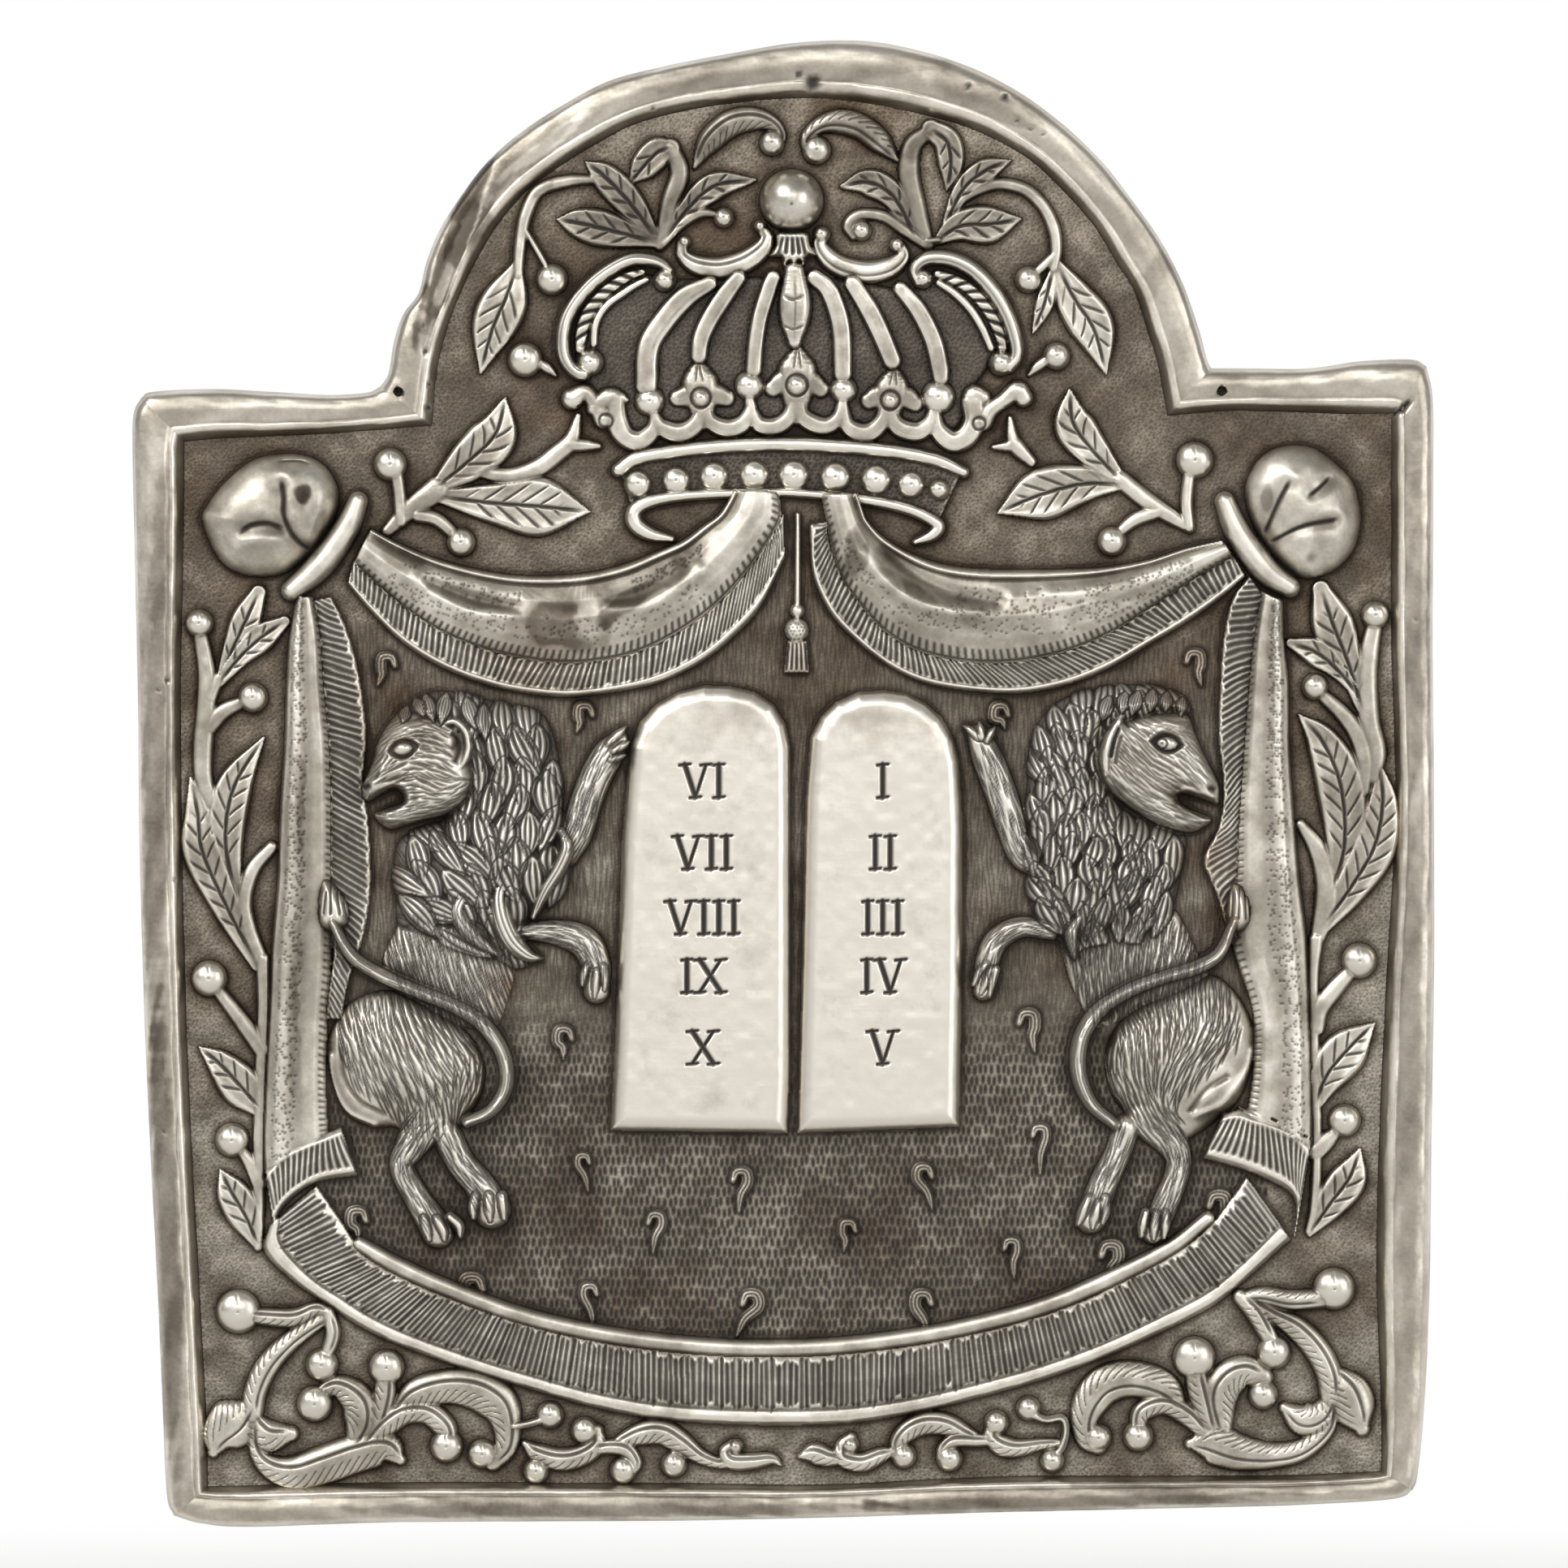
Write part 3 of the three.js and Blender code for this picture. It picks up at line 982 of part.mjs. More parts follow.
const sideGarlandLeft = {
  leavesShares: [
    [[-0.433, 0.652, 0.003], [-0.424, 0.675, 0.0065], [-0.4135, 0.698, 0.0095], [-0.4035, 0.72, 0.005]],
    [[-0.434, 0.65, 0.003], [-0.418, 0.67, 0.0065], [-0.401, 0.6855, 0.009], [-0.3835, 0.6975, 0.004]],
    [[-0.4215, 0.488, 0.004], [-0.429, 0.53, 0.0115], [-0.4225, 0.57, 0.0115], [-0.3995, 0.6085, 0.001]],
    [[-0.405, 0.433, 0.004], [-0.428, 0.478, 0.0095], [-0.4465, 0.52, 0.0125], [-0.4505, 0.55, 0.0085],
      [-0.456, 0.5776, 0.001]],
    [[-0.402, 0.322, 0.006], [-0.416, 0.3385, 0.013], [-0.433, 0.357, 0.009], [-0.4492, 0.3699, 0.001]],
    [[-0.4035, 0.2165, 0.003], [-0.413, 0.239, 0.011], [-0.4245, 0.259, 0.01], [-0.4332, 0.2757, 0.001]],
  ],
  stemsShares: [
    [[-0.4485, 0.688, 0.004], [-0.4435, 0.6579, 0.005], [-0.444, 0.63, 0.0055], [-0.4465, 0.6, 0.0055],
      [-0.4455, 0.575, 0.005], [-0.437, 0.553, 0.004]],
    [[-0.434, 0.655, 0.003], [-0.441, 0.639, 0.004]],
    [[-0.4155, 0.636, 0.0035], [-0.431, 0.6285, 0.0045], [-0.4435, 0.6155, 0.005]],
    [[-0.3935, 0.524, 0.0035], [-0.4079, 0.507, 0.0042], [-0.4147, 0.4834, 0.0045],
      [-0.4113, 0.4616, 0.0045], [-0.401, 0.436, 0.004]],
    [[-0.437, 0.4165, 0.0035], [-0.4164, 0.3901, 0.0045], [-0.4005, 0.368, 0.005]],
    [[-0.418, 0.2925, 0.003], [-0.41, 0.281, 0.004], [-0.403, 0.265, 0.0045]],
    [[-0.4005, 0.438, 0.004], [-0.3998, 0.4, 0.0036], [-0.4018, 0.35, 0.0036], [-0.4033, 0.3, 0.0036],
      [-0.4035, 0.25, 0.0036], [-0.4042, 0.216, 0.0025]],
  ],
  berriesShares: [
    [-0.4492, 0.6963, 0.0092], [-0.4079, 0.6392, 0.0099], [-0.4416, 0.4229, 0.0118],
    [-0.4239, 0.2985, 0.0112],
  ],
};
const sideGarlandRight = {
  leavesShares: [
    [[0.4465, 0.627, 0.003], [0.436, 0.663, 0.0085], [0.4235, 0.695, 0.0135], [0.414, 0.7225, 0.006]],
    [[0.4435, 0.64, 0.003], [0.4285, 0.6585, 0.0055], [0.411, 0.6735, 0.009], [0.391, 0.681, 0.0035]],
    [[0.422, 0.488, 0.004], [0.432, 0.525, 0.0115], [0.4295, 0.57, 0.0155], [0.4155, 0.605, 0.0105],
      [0.3974, 0.6258, 0.001]],
    [[0.415, 0.462, 0.005], [0.4365, 0.492, 0.011], [0.455, 0.524, 0.014], [0.4615, 0.558, 0.01],
      [0.459, 0.589, 0.001]],
    [[0.41, 0.325, 0.004], [0.4185, 0.348, 0.012], [0.4355, 0.369, 0.0135], [0.4554, 0.3884, 0.001]],
    [[0.4055, 0.226, 0.002], [0.4205, 0.2485, 0.01], [0.436, 0.2695, 0.0115], [0.444, 0.291, 0.0015]],
  ],
  stemsShares: [
    [[0.4555, 0.695, 0.0045], [0.4512, 0.6731, 0.0055], [0.4497, 0.65, 0.0058], [0.4515, 0.62, 0.006],
      [0.457, 0.5975, 0.0055], [0.4545, 0.578, 0.004]],
    [[0.4475, 0.624, 0.0025], [0.4515, 0.615, 0.003]],
    [[0.4145, 0.642, 0.0035], [0.431, 0.6266, 0.0045], [0.4428, 0.6098, 0.005], [0.448, 0.59, 0.005],
      [0.447, 0.568, 0.004]],
    [[0.3985, 0.5415, 0.003], [0.4108, 0.524, 0.005], [0.4175, 0.5038, 0.006], [0.4195, 0.483, 0.007],
      [0.411, 0.452, 0.004]],
    [[0.4375, 0.429, 0.004], [0.424, 0.414, 0.005], [0.4135, 0.3995, 0.005], [0.411, 0.385, 0.0045]],
    [[0.427, 0.306, 0.003], [0.418, 0.2975, 0.005], [0.41, 0.289, 0.005]],
    [[0.4105, 0.453, 0.004], [0.4085, 0.42, 0.003], [0.4095, 0.36, 0.003], [0.411, 0.3, 0.003],
      [0.4095, 0.25, 0.003], [0.4045, 0.228, 0.002]],
  ],
  berriesShares: [
    [0.4559, 0.7025, 0.0092], [0.4096, 0.6476, 0.0088], [0.4436, 0.4365, 0.0117],
    [0.4323, 0.3135, 0.0108],
  ],
};
const cornerScrollLeft = {
  scrollsShares: [
    [[-0.4105, 0.1635, 0.004], [-0.3771, 0.1615, 0.005], [-0.3598, 0.168, 0.004], [-0.3495, 0.1655, 0.0035]],
    [[-0.35, 0.166, 0.0035], [-0.3465, 0.15, 0.004], [-0.3515, 0.133, 0.0035]],
    [[-0.3505, 0.163, 0.0035], [-0.3771, 0.1455, 0.005], [-0.3963, 0.1255, 0.0058],
      [-0.406, 0.105, 0.0058], [-0.4085, 0.0875, 0.0055]],
    [[-0.408, 0.095, 0.003], [-0.421, 0.0825, 0.0125], [-0.434, 0.0695, 0.0095], [-0.4385, 0.058, 0.003]],
    [[-0.4085, 0.0865, 0.003], [-0.397, 0.0715, 0.0085], [-0.3785, 0.0725, 0.004]],
    [[-0.408, 0.082, 0.003], [-0.406, 0.06, 0.0035], [-0.3944, 0.047, 0.006], [-0.3752, 0.0425, 0.0085],
      [-0.3521, 0.049, 0.0095], [-0.3271, 0.0575, 0.0095], [-0.306, 0.0615, 0.0085], [-0.2944, 0.0525, 0.003]],
    [[-0.3575, 0.1045, 0.003], [-0.342, 0.1085, 0.006], [-0.3275, 0.098, 0.0085], [-0.3245, 0.082, 0.0085],
      [-0.331, 0.064, 0.004]],
    [[-0.3055, 0.117, 0.005], [-0.307, 0.1, 0.006], [-0.313, 0.0745, 0.004]],
    [[-0.3213, 0.063, 0.003], [-0.306, 0.0785, 0.006], [-0.2906, 0.0885, 0.006], [-0.2733, 0.0885, 0.006],
      [-0.2605, 0.0775, 0.006], [-0.2575, 0.064, 0.0045]],
    [[-0.299, 0.0885, 0.003], [-0.2829, 0.1015, 0.008], [-0.2598, 0.1085, 0.0085], [-0.2367, 0.1065, 0.01],
      [-0.2194, 0.096, 0.01], [-0.2125, 0.0795, 0.0075], [-0.2135, 0.0627, 0.006], [-0.2233, 0.0515, 0.005]],
    [[-0.1845, 0.0835, 0.002], [-0.196, 0.08, 0.002], [-0.207, 0.0785, 0.002]],
  ],
  berriesShares: [
    [-0.4192, 0.1665, 0.0145], [-0.3548, 0.1255, 0.0108], [-0.3603, 0.0955, 0.0118], [-0.305, 0.1235, 0.0118],
    [-0.259, 0.063, 0.0108], [-0.2315, 0.057, 0.0095], [-0.1793, 0.087, 0.009],
  ],
};
const cornerScrollRight = {
  scrollsShares: [
    [[0.414, 0.1765, 0.005], [0.3897, 0.1754, 0.0052], [0.3697, 0.179, 0.0045], [0.354, 0.1775, 0.003]],
    [[0.352, 0.178, 0.004], [0.3635, 0.166, 0.005], [0.3755, 0.145, 0.0045]],
    [[0.357, 0.177, 0.003], [0.3757, 0.165, 0.004], [0.3957, 0.1535, 0.006], [0.4118, 0.136, 0.0065],
      [0.4205, 0.118, 0.0065], [0.4225, 0.1, 0.006]],
    [[0.424, 0.122, 0.003], [0.434, 0.106, 0.0105], [0.4405, 0.0895, 0.0105], [0.446, 0.0765, 0.004]],
    [[0.4235, 0.1, 0.004], [0.4135, 0.0865, 0.0075], [0.4, 0.0835, 0.008], [0.386, 0.0925, 0.003]],
    [[0.422, 0.0985, 0.003], [0.4195, 0.0775, 0.004], [0.4, 0.0605, 0.0055], [0.3757, 0.0555, 0.0065],
      [0.3496, 0.0585, 0.009], [0.3296, 0.0655, 0.01], [0.3135, 0.065, 0.003]],
    [[0.3396, 0.0725, 0.004], [0.336, 0.0989, 0.009], [0.3425, 0.1135, 0.009], [0.3555, 0.1205, 0.008],
      [0.3685, 0.116, 0.006]],
    [[0.3176, 0.121, 0.0055], [0.322, 0.1, 0.0065], [0.33, 0.073, 0.004]],
    [[0.2735, 0.0735, 0.004], [0.2765, 0.089, 0.0052], [0.2935, 0.0955, 0.0055], [0.3105, 0.0875, 0.0055],
      [0.3255, 0.0725, 0.004]],
    [[0.3085, 0.092, 0.003], [0.2935, 0.1075, 0.008], [0.2694, 0.1145, 0.009], [0.2494, 0.1105, 0.0095],
      [0.2375, 0.0985, 0.009], [0.232, 0.0829, 0.007], [0.234, 0.0689, 0.0055], [0.2425, 0.064, 0.005]],
  ],
  berriesShares: [
    [0.4242, 0.184, 0.0138], [0.3781, 0.1353, 0.0112], [0.3697, 0.1025, 0.0098], [0.3166, 0.1309, 0.014],
    [0.2735, 0.0705, 0.01], [0.2425, 0.0695, 0.009],
  ],
};
const baseScrollLeft = {
  scrollsShares: [
    [[-0.1985, 0.065, 0.002], [-0.1889, 0.0575, 0.005], [-0.1728, 0.053, 0.0058], [-0.1568, 0.055, 0.0055],
      [-0.1435, 0.0635, 0.0048], [-0.1425, 0.0755, 0.003]],
    [[-0.146, 0.06, 0.003], [-0.1328, 0.0625, 0.004], [-0.1207, 0.0605, 0.0042], [-0.1135, 0.0505, 0.0035],
      [-0.1165, 0.0435, 0.003]],
    [[-0.13, 0.064, 0.003], [-0.1087, 0.0725, 0.006], [-0.0927, 0.0735, 0.0065], [-0.0787, 0.0655, 0.006],
      [-0.0646, 0.0555, 0.004], [-0.05, 0.05, 0.003], [-0.04, 0.0505, 0.003]],
    [[-0.0385, 0.064, 0.003], [-0.0446, 0.0585, 0.0032], [-0.0386, 0.0515, 0.0045], [-0.0226, 0.0515, 0.0042],
      [-0.0086, 0.053, 0.003], [-0.0016, 0.0485, 0.001]],
  ],
  berriesShares: [
    [-0.1528, 0.075, 0.009], [-0.19, 0.044, 0.0085], [-0.1227, 0.0445, 0.009], [-0.0837, 0.049, 0.0088],
    [-0.0362, 0.063, 0.005],
  ],
  stemsShares: [[[-0.084, 0.052, 0.003], [-0.082, 0.064, 0.003]], [[-0.1895, 0.046, 0.003], [-0.188, 0.057, 0.003]]],
};
const baseScrollRight = {
  scrollsShares: [
    [[0.013, 0.055, 0.0015], [0.0235, 0.0575, 0.0055], [0.034, 0.0545, 0.005], [0.045, 0.0525, 0.003]],
    [[0.0525, 0.0695, 0.003], [0.0455, 0.0635, 0.0035], [0.046, 0.054, 0.0045], [0.0611, 0.0505, 0.005],
      [0.0755, 0.056, 0.004], [0.087, 0.0595, 0.002]],
    [[0.0885, 0.057, 0.0035], [0.089, 0.066, 0.0045], [0.097, 0.075, 0.0055], [0.11, 0.0805, 0.006],
      [0.1252, 0.0795, 0.0058], [0.139, 0.0725, 0.005], [0.151, 0.0675, 0.003]],
    [[0.122, 0.0545, 0.003], [0.124, 0.0615, 0.0035], [0.1325, 0.0675, 0.0038], [0.1492, 0.0675, 0.0035],
      [0.161, 0.0675, 0.003]],
    [[0.1615, 0.079, 0.0035], [0.1605, 0.0705, 0.0042], [0.1685, 0.0635, 0.0055], [0.1813, 0.0615, 0.0045],
      [0.2, 0.0645, 0.003], [0.216, 0.0655, 0.002]],
    [[0.1925, 0.087, 0.0022], [0.203, 0.0835, 0.002], [0.215, 0.0845, 0.002], [0.218, 0.075, 0.002],
      [0.2145, 0.062, 0.0022], [0.2085, 0.055, 0.002]],
  ],
  berriesShares: [
    [0.0521, 0.064, 0.0058], [0.0931, 0.0555, 0.0084], [0.1282, 0.0535, 0.0088], [0.1643, 0.0812, 0.0082],
    [0.1889, 0.092, 0.0082], [0.2073, 0.052, 0.008],
  ],
};
const sprayBerryLeft = {
  stemsShares: [[[-0.19, 0.898, 0.0025], [-0.181, 0.8925, 0.003], [-0.1748, 0.8872, 0.0012]]],
  berriesShares: [[-0.1983, 0.8992, 0.0115]],
};
const sprayBerryRight = {
  stemsShares: [[[0.2045, 0.9, 0.003], [0.196, 0.894, 0.003], [0.1895, 0.8875, 0.0012]]],
  berriesShares: [[0.2107, 0.9019, 0.009]],
};

function foliage({ leavesShares = [], stemsShares = [], scrollsShares = [], berriesShares = [] }) {
  return joined([
    ...leavesShares.map((path) => leaf(path)),
    ...stemsShares.map((path) => stem(path)),
    ...scrollsShares.map((path) => scroll(path)),
    ...berriesShares.map((dot) => berry(dot)),
  ]);
}

// Cuts clear of a lion's tuft, whose curtain passes behind it
function clearOf(outlineShares) {
  const gap = pieceGap / plateWidth;
  const count = outlineShares.length;
  const heart = [0, 1].map((axis) => outlineShares.reduce((sum, row) => sum + row[axis] / count, 0));
  return prism(
    outlineShares.map(([across, up]) => {
      const away = Math.hypot(across - heart[0], up - heart[1]);
      const grow = 1 + gap / away;
      return [heart[0] + (across - heart[0]) * grow, heart[1] + (up - heart[1]) * grow];
    }),
  );
}

function curtain(clothShares, hemShares, lionShares) {
  return strip(clothShares, curtainProfile(raised.curtain))
    .add(strip(hemShares, curtainProfile(raised.hem)))
    .subtract(clearOf(lionShares.tuftShares))
    .subtract(clearOf(lionShares.haunchShares));
}

function tassel() {
  return joined([
    stroke(tasselCordShares, raised.stem),
    berry(tasselBeadShares, raised.tassel),
    berry(tasselKnotShares, raised.tassel, pearlLevelShares),
    boss(tasselSkirtShares, raised.tassel, flatLevelShares),
  ]);
}

const shield = new THREE.Group();

function add(name, solid, material = silver) {
  const made = solid.getMesh();
  const geometry = new THREE.BufferGeometry();
  geometry.setAttribute("position", new THREE.BufferAttribute(made.vertProperties, 3));
  geometry.setIndex(new THREE.BufferAttribute(made.triVerts, 1));
  const mesh = new THREE.Mesh(geometry.toNonIndexed(), material);
  mesh.geometry.computeVertexNormals();
  mesh.name = name;
  shield.add(mesh);
}

add("ground_sheet", groundSheet(), groundSilver);
add("frame_arch", strip(archShares, frameProfile));
add("frame_stile_left", strip(stileLeftShares, frameProfile));
add("frame_stile_right", strip(stileRightShares, frameProfile));
add("frame_rail_bottom", strip(railShares, frameProfile));
add("frame_shoulder_left", bored(strip(shoulderLeftShares, frameProfile), holeShares[0]));
add("frame_shoulder_right", bored(strip(shoulderRightShares, frameProfile), holeShares[1]));
add("knot_left", hollowBoss(knotLeftShares, raised.knot, domeLevelShares));
add("knot_right", hollowBoss(knotRightShares, raised.knot, domeLevelShares));
add("tie_ring_left", stroke(ringLeftShares, raised.ring, roundSectionShares));
add("tie_ring_right", stroke(ringRightShares, raised.ring, roundSectionShares));
add("swag_left", strip(swagLeftShares, clothProfile(raised.swag)));
add("swag_right", strip(swagRightShares, clothProfile(raised.swag)));
add("swag_fringe_left", strip(swagFringeLeftShares, fringeProfile(raised.fringe)));
add("swag_fringe_right", strip(swagFringeRightShares, fringeProfile(raised.fringe)));
add("curtain_left", curtain(curtainLeftShares, hemLeftShares, lionLeft));
add("curtain_right", curtain(curtainRightShares, hemRightShares, lionRight));
add("curtain_fringe_left", strip(curtainFringeLeftShares, fringeProfile(raised.fringe)));
add("curtain_fringe_right", strip(curtainFringeRightShares, fringeProfile(raised.fringe)));
add("mantle_fringe", strip(mantleShares, mantleProfile(raised.lip + raised.lip)));
add("mantle_piping", stroke(pipingShares, raised.piping, roundSectionShares));
add("tassel", tassel());
add("tablet_left", hollowBoss(tabletLeftShares, raised.tablet, flatLevelShares));
add("tablet_right", hollowBoss(tabletRightShares, raised.tablet, flatLevelShares));
add("lion_left", lion(lionLeft));
add("lion_right", lion(lionRight));
add("crown_cap", crownCap(), groundSilver);
hoopsShares.forEach((hoop, i) => {
  add(`crown_hoop_${i + 1}`, stroke(hoop, raised.hoop, plainSectionShares, raised.cap));
});
add("crown_baluster", stroke(balusterShares, raised.baluster, roundSectionShares, raised.cap));
add("crown_arch_left", crownArch(archLeftShares, archLeftBallsShares));
add("crown_arch_right", crownArch(archRightShares, archRightBallsShares));
add("crown_cresting", cresting());
add("crown_band", crownBand());
add("crown_orb", hollowBoss(oval(orbMiddleShares, ...orbHalfShares, orbSides), raised.orb, domeLevelShares));
add("crown_calyx", boss(calyxShares, raised.calyx, flatLevelShares));
add("crown_scroll_left", stroke(scrollLeftShares, raised.scroll, roundSectionShares));
add("crown_scroll_right", stroke(scrollRightShares, raised.scroll, roundSectionShares));
add("top_spray_left", foliage(topSprayLeft));
add("top_spray_right", foliage(topSprayRight));
add("top_scroll_left", foliage(topScrollLeft));
add("top_scroll_right", foliage(topScrollRight));
add("spray_berry_left", foliage(sprayBerryLeft));
add("spray_berry_right", foliage(sprayBerryRight));
add("shoulder_spray_left", foliage(shoulderSprayLeft));
add("shoulder_spray_right", foliage(shoulderSprayRight));
add("shoulder_twig_right", foliage(shoulderTwigRight));
add("side_garland_left", foliage(sideGarlandLeft));
add("side_garland_right", foliage(sideGarlandRight));
add("corner_scroll_left", foliage(cornerScrollLeft));
add("corner_scroll_right", foliage(cornerScrollRight));
add("base_scroll_left", foliage(baseScrollLeft));
add("base_scroll_right", foliage(baseScrollRight));

export default shield;
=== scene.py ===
import math

import bpy
import numpy as np
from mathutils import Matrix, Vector


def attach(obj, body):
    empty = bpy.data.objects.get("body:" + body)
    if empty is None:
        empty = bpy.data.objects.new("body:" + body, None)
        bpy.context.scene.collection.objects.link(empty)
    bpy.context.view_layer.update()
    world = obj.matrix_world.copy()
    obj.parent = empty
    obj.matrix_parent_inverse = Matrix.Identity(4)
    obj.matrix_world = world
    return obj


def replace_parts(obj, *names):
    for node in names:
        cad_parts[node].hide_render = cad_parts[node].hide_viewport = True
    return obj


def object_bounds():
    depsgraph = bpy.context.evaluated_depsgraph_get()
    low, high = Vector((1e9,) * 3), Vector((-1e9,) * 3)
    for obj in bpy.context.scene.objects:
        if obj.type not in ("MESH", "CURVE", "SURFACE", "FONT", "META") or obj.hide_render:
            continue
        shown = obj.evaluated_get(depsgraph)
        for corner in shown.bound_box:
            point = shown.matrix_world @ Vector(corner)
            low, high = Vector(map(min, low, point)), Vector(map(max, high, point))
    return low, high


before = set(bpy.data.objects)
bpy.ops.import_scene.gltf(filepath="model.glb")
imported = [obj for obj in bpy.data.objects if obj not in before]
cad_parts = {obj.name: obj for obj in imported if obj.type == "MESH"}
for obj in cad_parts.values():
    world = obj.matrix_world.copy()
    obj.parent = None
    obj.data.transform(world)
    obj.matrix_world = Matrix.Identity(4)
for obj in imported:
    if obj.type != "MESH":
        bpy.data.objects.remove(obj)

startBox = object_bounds()
draws = np.random.default_rng(20)

# Lengths are in millimetres. Places are shares of the plate's width, [across, up].
plateWidth = 210.0
groundFront = 3.2
groundThickness = 0.8
holes = [[-.2958, .8742], [.3375, .8747]]
holeRadius = 0.75
originAcross = (holes[0][0] + holes[1][0]) / 2 * plateWidth
originUp = (holes[0][1] + holes[1][1]) / 2 * plateWidth

# The relief is one grid of heights over the ground sheet's front. Each point has an owner.
cell = 0.17
gridLeft, gridRight, gridFoot, gridTop = -.482, .492, .018, 1.125
gridAcross = np.arange(gridLeft * plateWidth, gridRight * plateWidth, cell)
gridUp = np.arange(gridFoot * plateWidth, gridTop * plateWidth, cell)
shape = (len(gridUp), len(gridAcross))
height = np.zeros(shape, np.float32)
cuts = np.zeros(shape, np.float32)
ink = np.zeros(shape, np.float32)
shine = np.zeros(shape, np.float32)
owner = np.zeros(shape, np.int16)
ownerNames = ["ground_sheet"]


# A piece's number in the owner grid
def ownerOf(name):
    if name not in ownerNames:
        ownerNames.append(name)
    return ownerNames.index(name)


# Points at about one spacing along a smooth curve through rows of shares
def spline(rows, spacing=0.45, closed=False):
    points = np.array(rows, float) * plateWidth
    if closed:
        ends = np.vstack([points[-1:], points, points[:2]])
    else:
        ends = np.vstack([2 * points[0] - points[1], points, 2 * points[-1] - points[-2]])
    parts = []
    for i in range(len(ends) - 3):
        a, b, c, d = ends[i:i + 4]
        step = c - b
        reach = max(np.hypot(*step[:2]), np.hypot(*step[2:4]) if len(step) == 4 else 0)
        count = max(2, int(math.ceil(reach / spacing)))
        t = np.arange(count)[:, None] / count
        parts.append(curve(a, b, c, d, t))
    if not closed:
        parts.append(points[-1:])
    return np.vstack(parts)


# Points at about one spacing along the straight sides of an outline
def straight(rows, spacing=0.45):
    corners = np.array(rows, float)[:, :2] * plateWidth
    parts = []
    for a, b in zip(corners, np.roll(corners, -1, axis=0)):
        count = max(1, int(np.hypot(*(b - a)) / spacing))
        parts.append(a + (b - a) * np.arange(count)[:, None] / count)
    return np.vstack(parts)


# The part of the grid around a line, and the places of its points
def windowOf(line, pad):
    low, high = line[:, :2].min(0) - pad, line[:, :2].max(0) + pad
    columns = slice(*np.searchsorted(gridAcross, [low[0], high[0]]))
    rows = slice(*np.searchsorted(gridUp, [low[1], high[1]]))
    xs, zs = np.meshgrid(gridAcross[columns], gridUp[rows])
    return (rows, columns), xs, zs


pairsAtOnce = 1000000


# For each place, which point of the line is nearest
def nearestIndex(line, xs, zs):
    spots = np.column_stack([xs.ravel(), zs.ravel()]).astype(np.float32)
    flat = line[:, :2].astype(np.float32)
    found = np.empty(len(spots), np.int32)
    step = max(1, pairsAtOnce // len(flat))
    for start in range(0, len(spots), step):
        part = spots[start:start + step]
        gap = (part[:, :1] - flat[None, :, 0]) ** 2
        gap += (part[:, 1:] - flat[None, :, 1]) ** 2
        found[start:start + step] = gap.argmin(1)
    return found.reshape(xs.shape)


# A stroke on the grid: how far along it and to its side each point near it lies
class Path:
    def __init__(self, rows, pad=0.5):
        line = spline(rows)
        reach = line[:, 2].max() if line.shape[1] > 2 else 0
        self.window, xs, zs = windowOf(line, reach + pad)
        near = nearestIndex(line, xs, zs)
        direction = np.gradient(line[:, :2], axis=0)
        direction /= np.maximum(np.hypot(direction[:, 0], direction[:, 1]), 1e-6)[:, None]
        steps = np.hypot(*np.diff(line[:, :2], axis=0).T)
        run = np.concatenate([[0], np.cumsum(steps)])
        dx, dz = xs - line[near, 0], zs - line[near, 1]
        tx, tz = direction[near, 0], direction[near, 1]
        forward = dx * tx + dz * tz
        self.side = tx * dz - tz * dx
        self.along = run[near] + forward
        self.length = run[-1]
        over = np.where(near == 0, np.minimum(forward, 0), 0)
        over = np.where(near == len(line) - 1, np.maximum(forward, 0), over)
        self.distance = np.hypot(self.side, over)
        if line.shape[1] > 2:
            self.half = np.maximum(line[near, 2], 0.12)
            self.widest = line[:, 2].max()
            self.share = self.distance / self.half

    # 1 along the stroke, fading to 0 at its ends
    def inner(self, start=0.8, end=0.8):
        return softStep(self.along, 0, start) * softStep(self.length - self.along, 0, end)


# Which places lie inside a closed line
def insideOf(line, xs, zs):
    within = np.zeros(xs.shape, bool)
    for (ax, az), (bx, bz) in zip(line[:, :2], np.roll(line, -1, axis=0)[:, :2]):
        if az == bz:
            continue
        rows = np.flatnonzero((zs[:, 0] > az) != (zs[:, 0] > bz))
        if len(rows):
            cross = (bx - ax) * (zs[rows, :1] - az) / (bz - az) + ax
            within[rows] ^= xs[rows] < cross
    return within


# A closed outline on the grid, with each point's depth inside it
class Area:
    def __init__(self, rows, pad=0.5, smooth=True):
        line = spline(np.array(rows)[:, :2], 0.45, True) if smooth else straight(rows)
        self.window, self.xs, self.zs = windowOf(line, pad)
        near = nearestIndex(line, self.xs, self.zs)
        away = np.hypot(self.xs - line[near, 0], self.zs - line[near, 1])
        self.inside = insideOf(line, self.xs, self.zs)
        self.depth = np.where(self.inside, away, -away)


# A small square of the grid around one place
class Spot:
    def __init__(self, across, up, reach):
        middle = np.array([[across, up]]) * plateWidth
        self.window, self.xs, self.zs = windowOf(middle, reach)
        self.dx, self.dz = self.xs - middle[0, 0], self.zs - middle[0, 1]


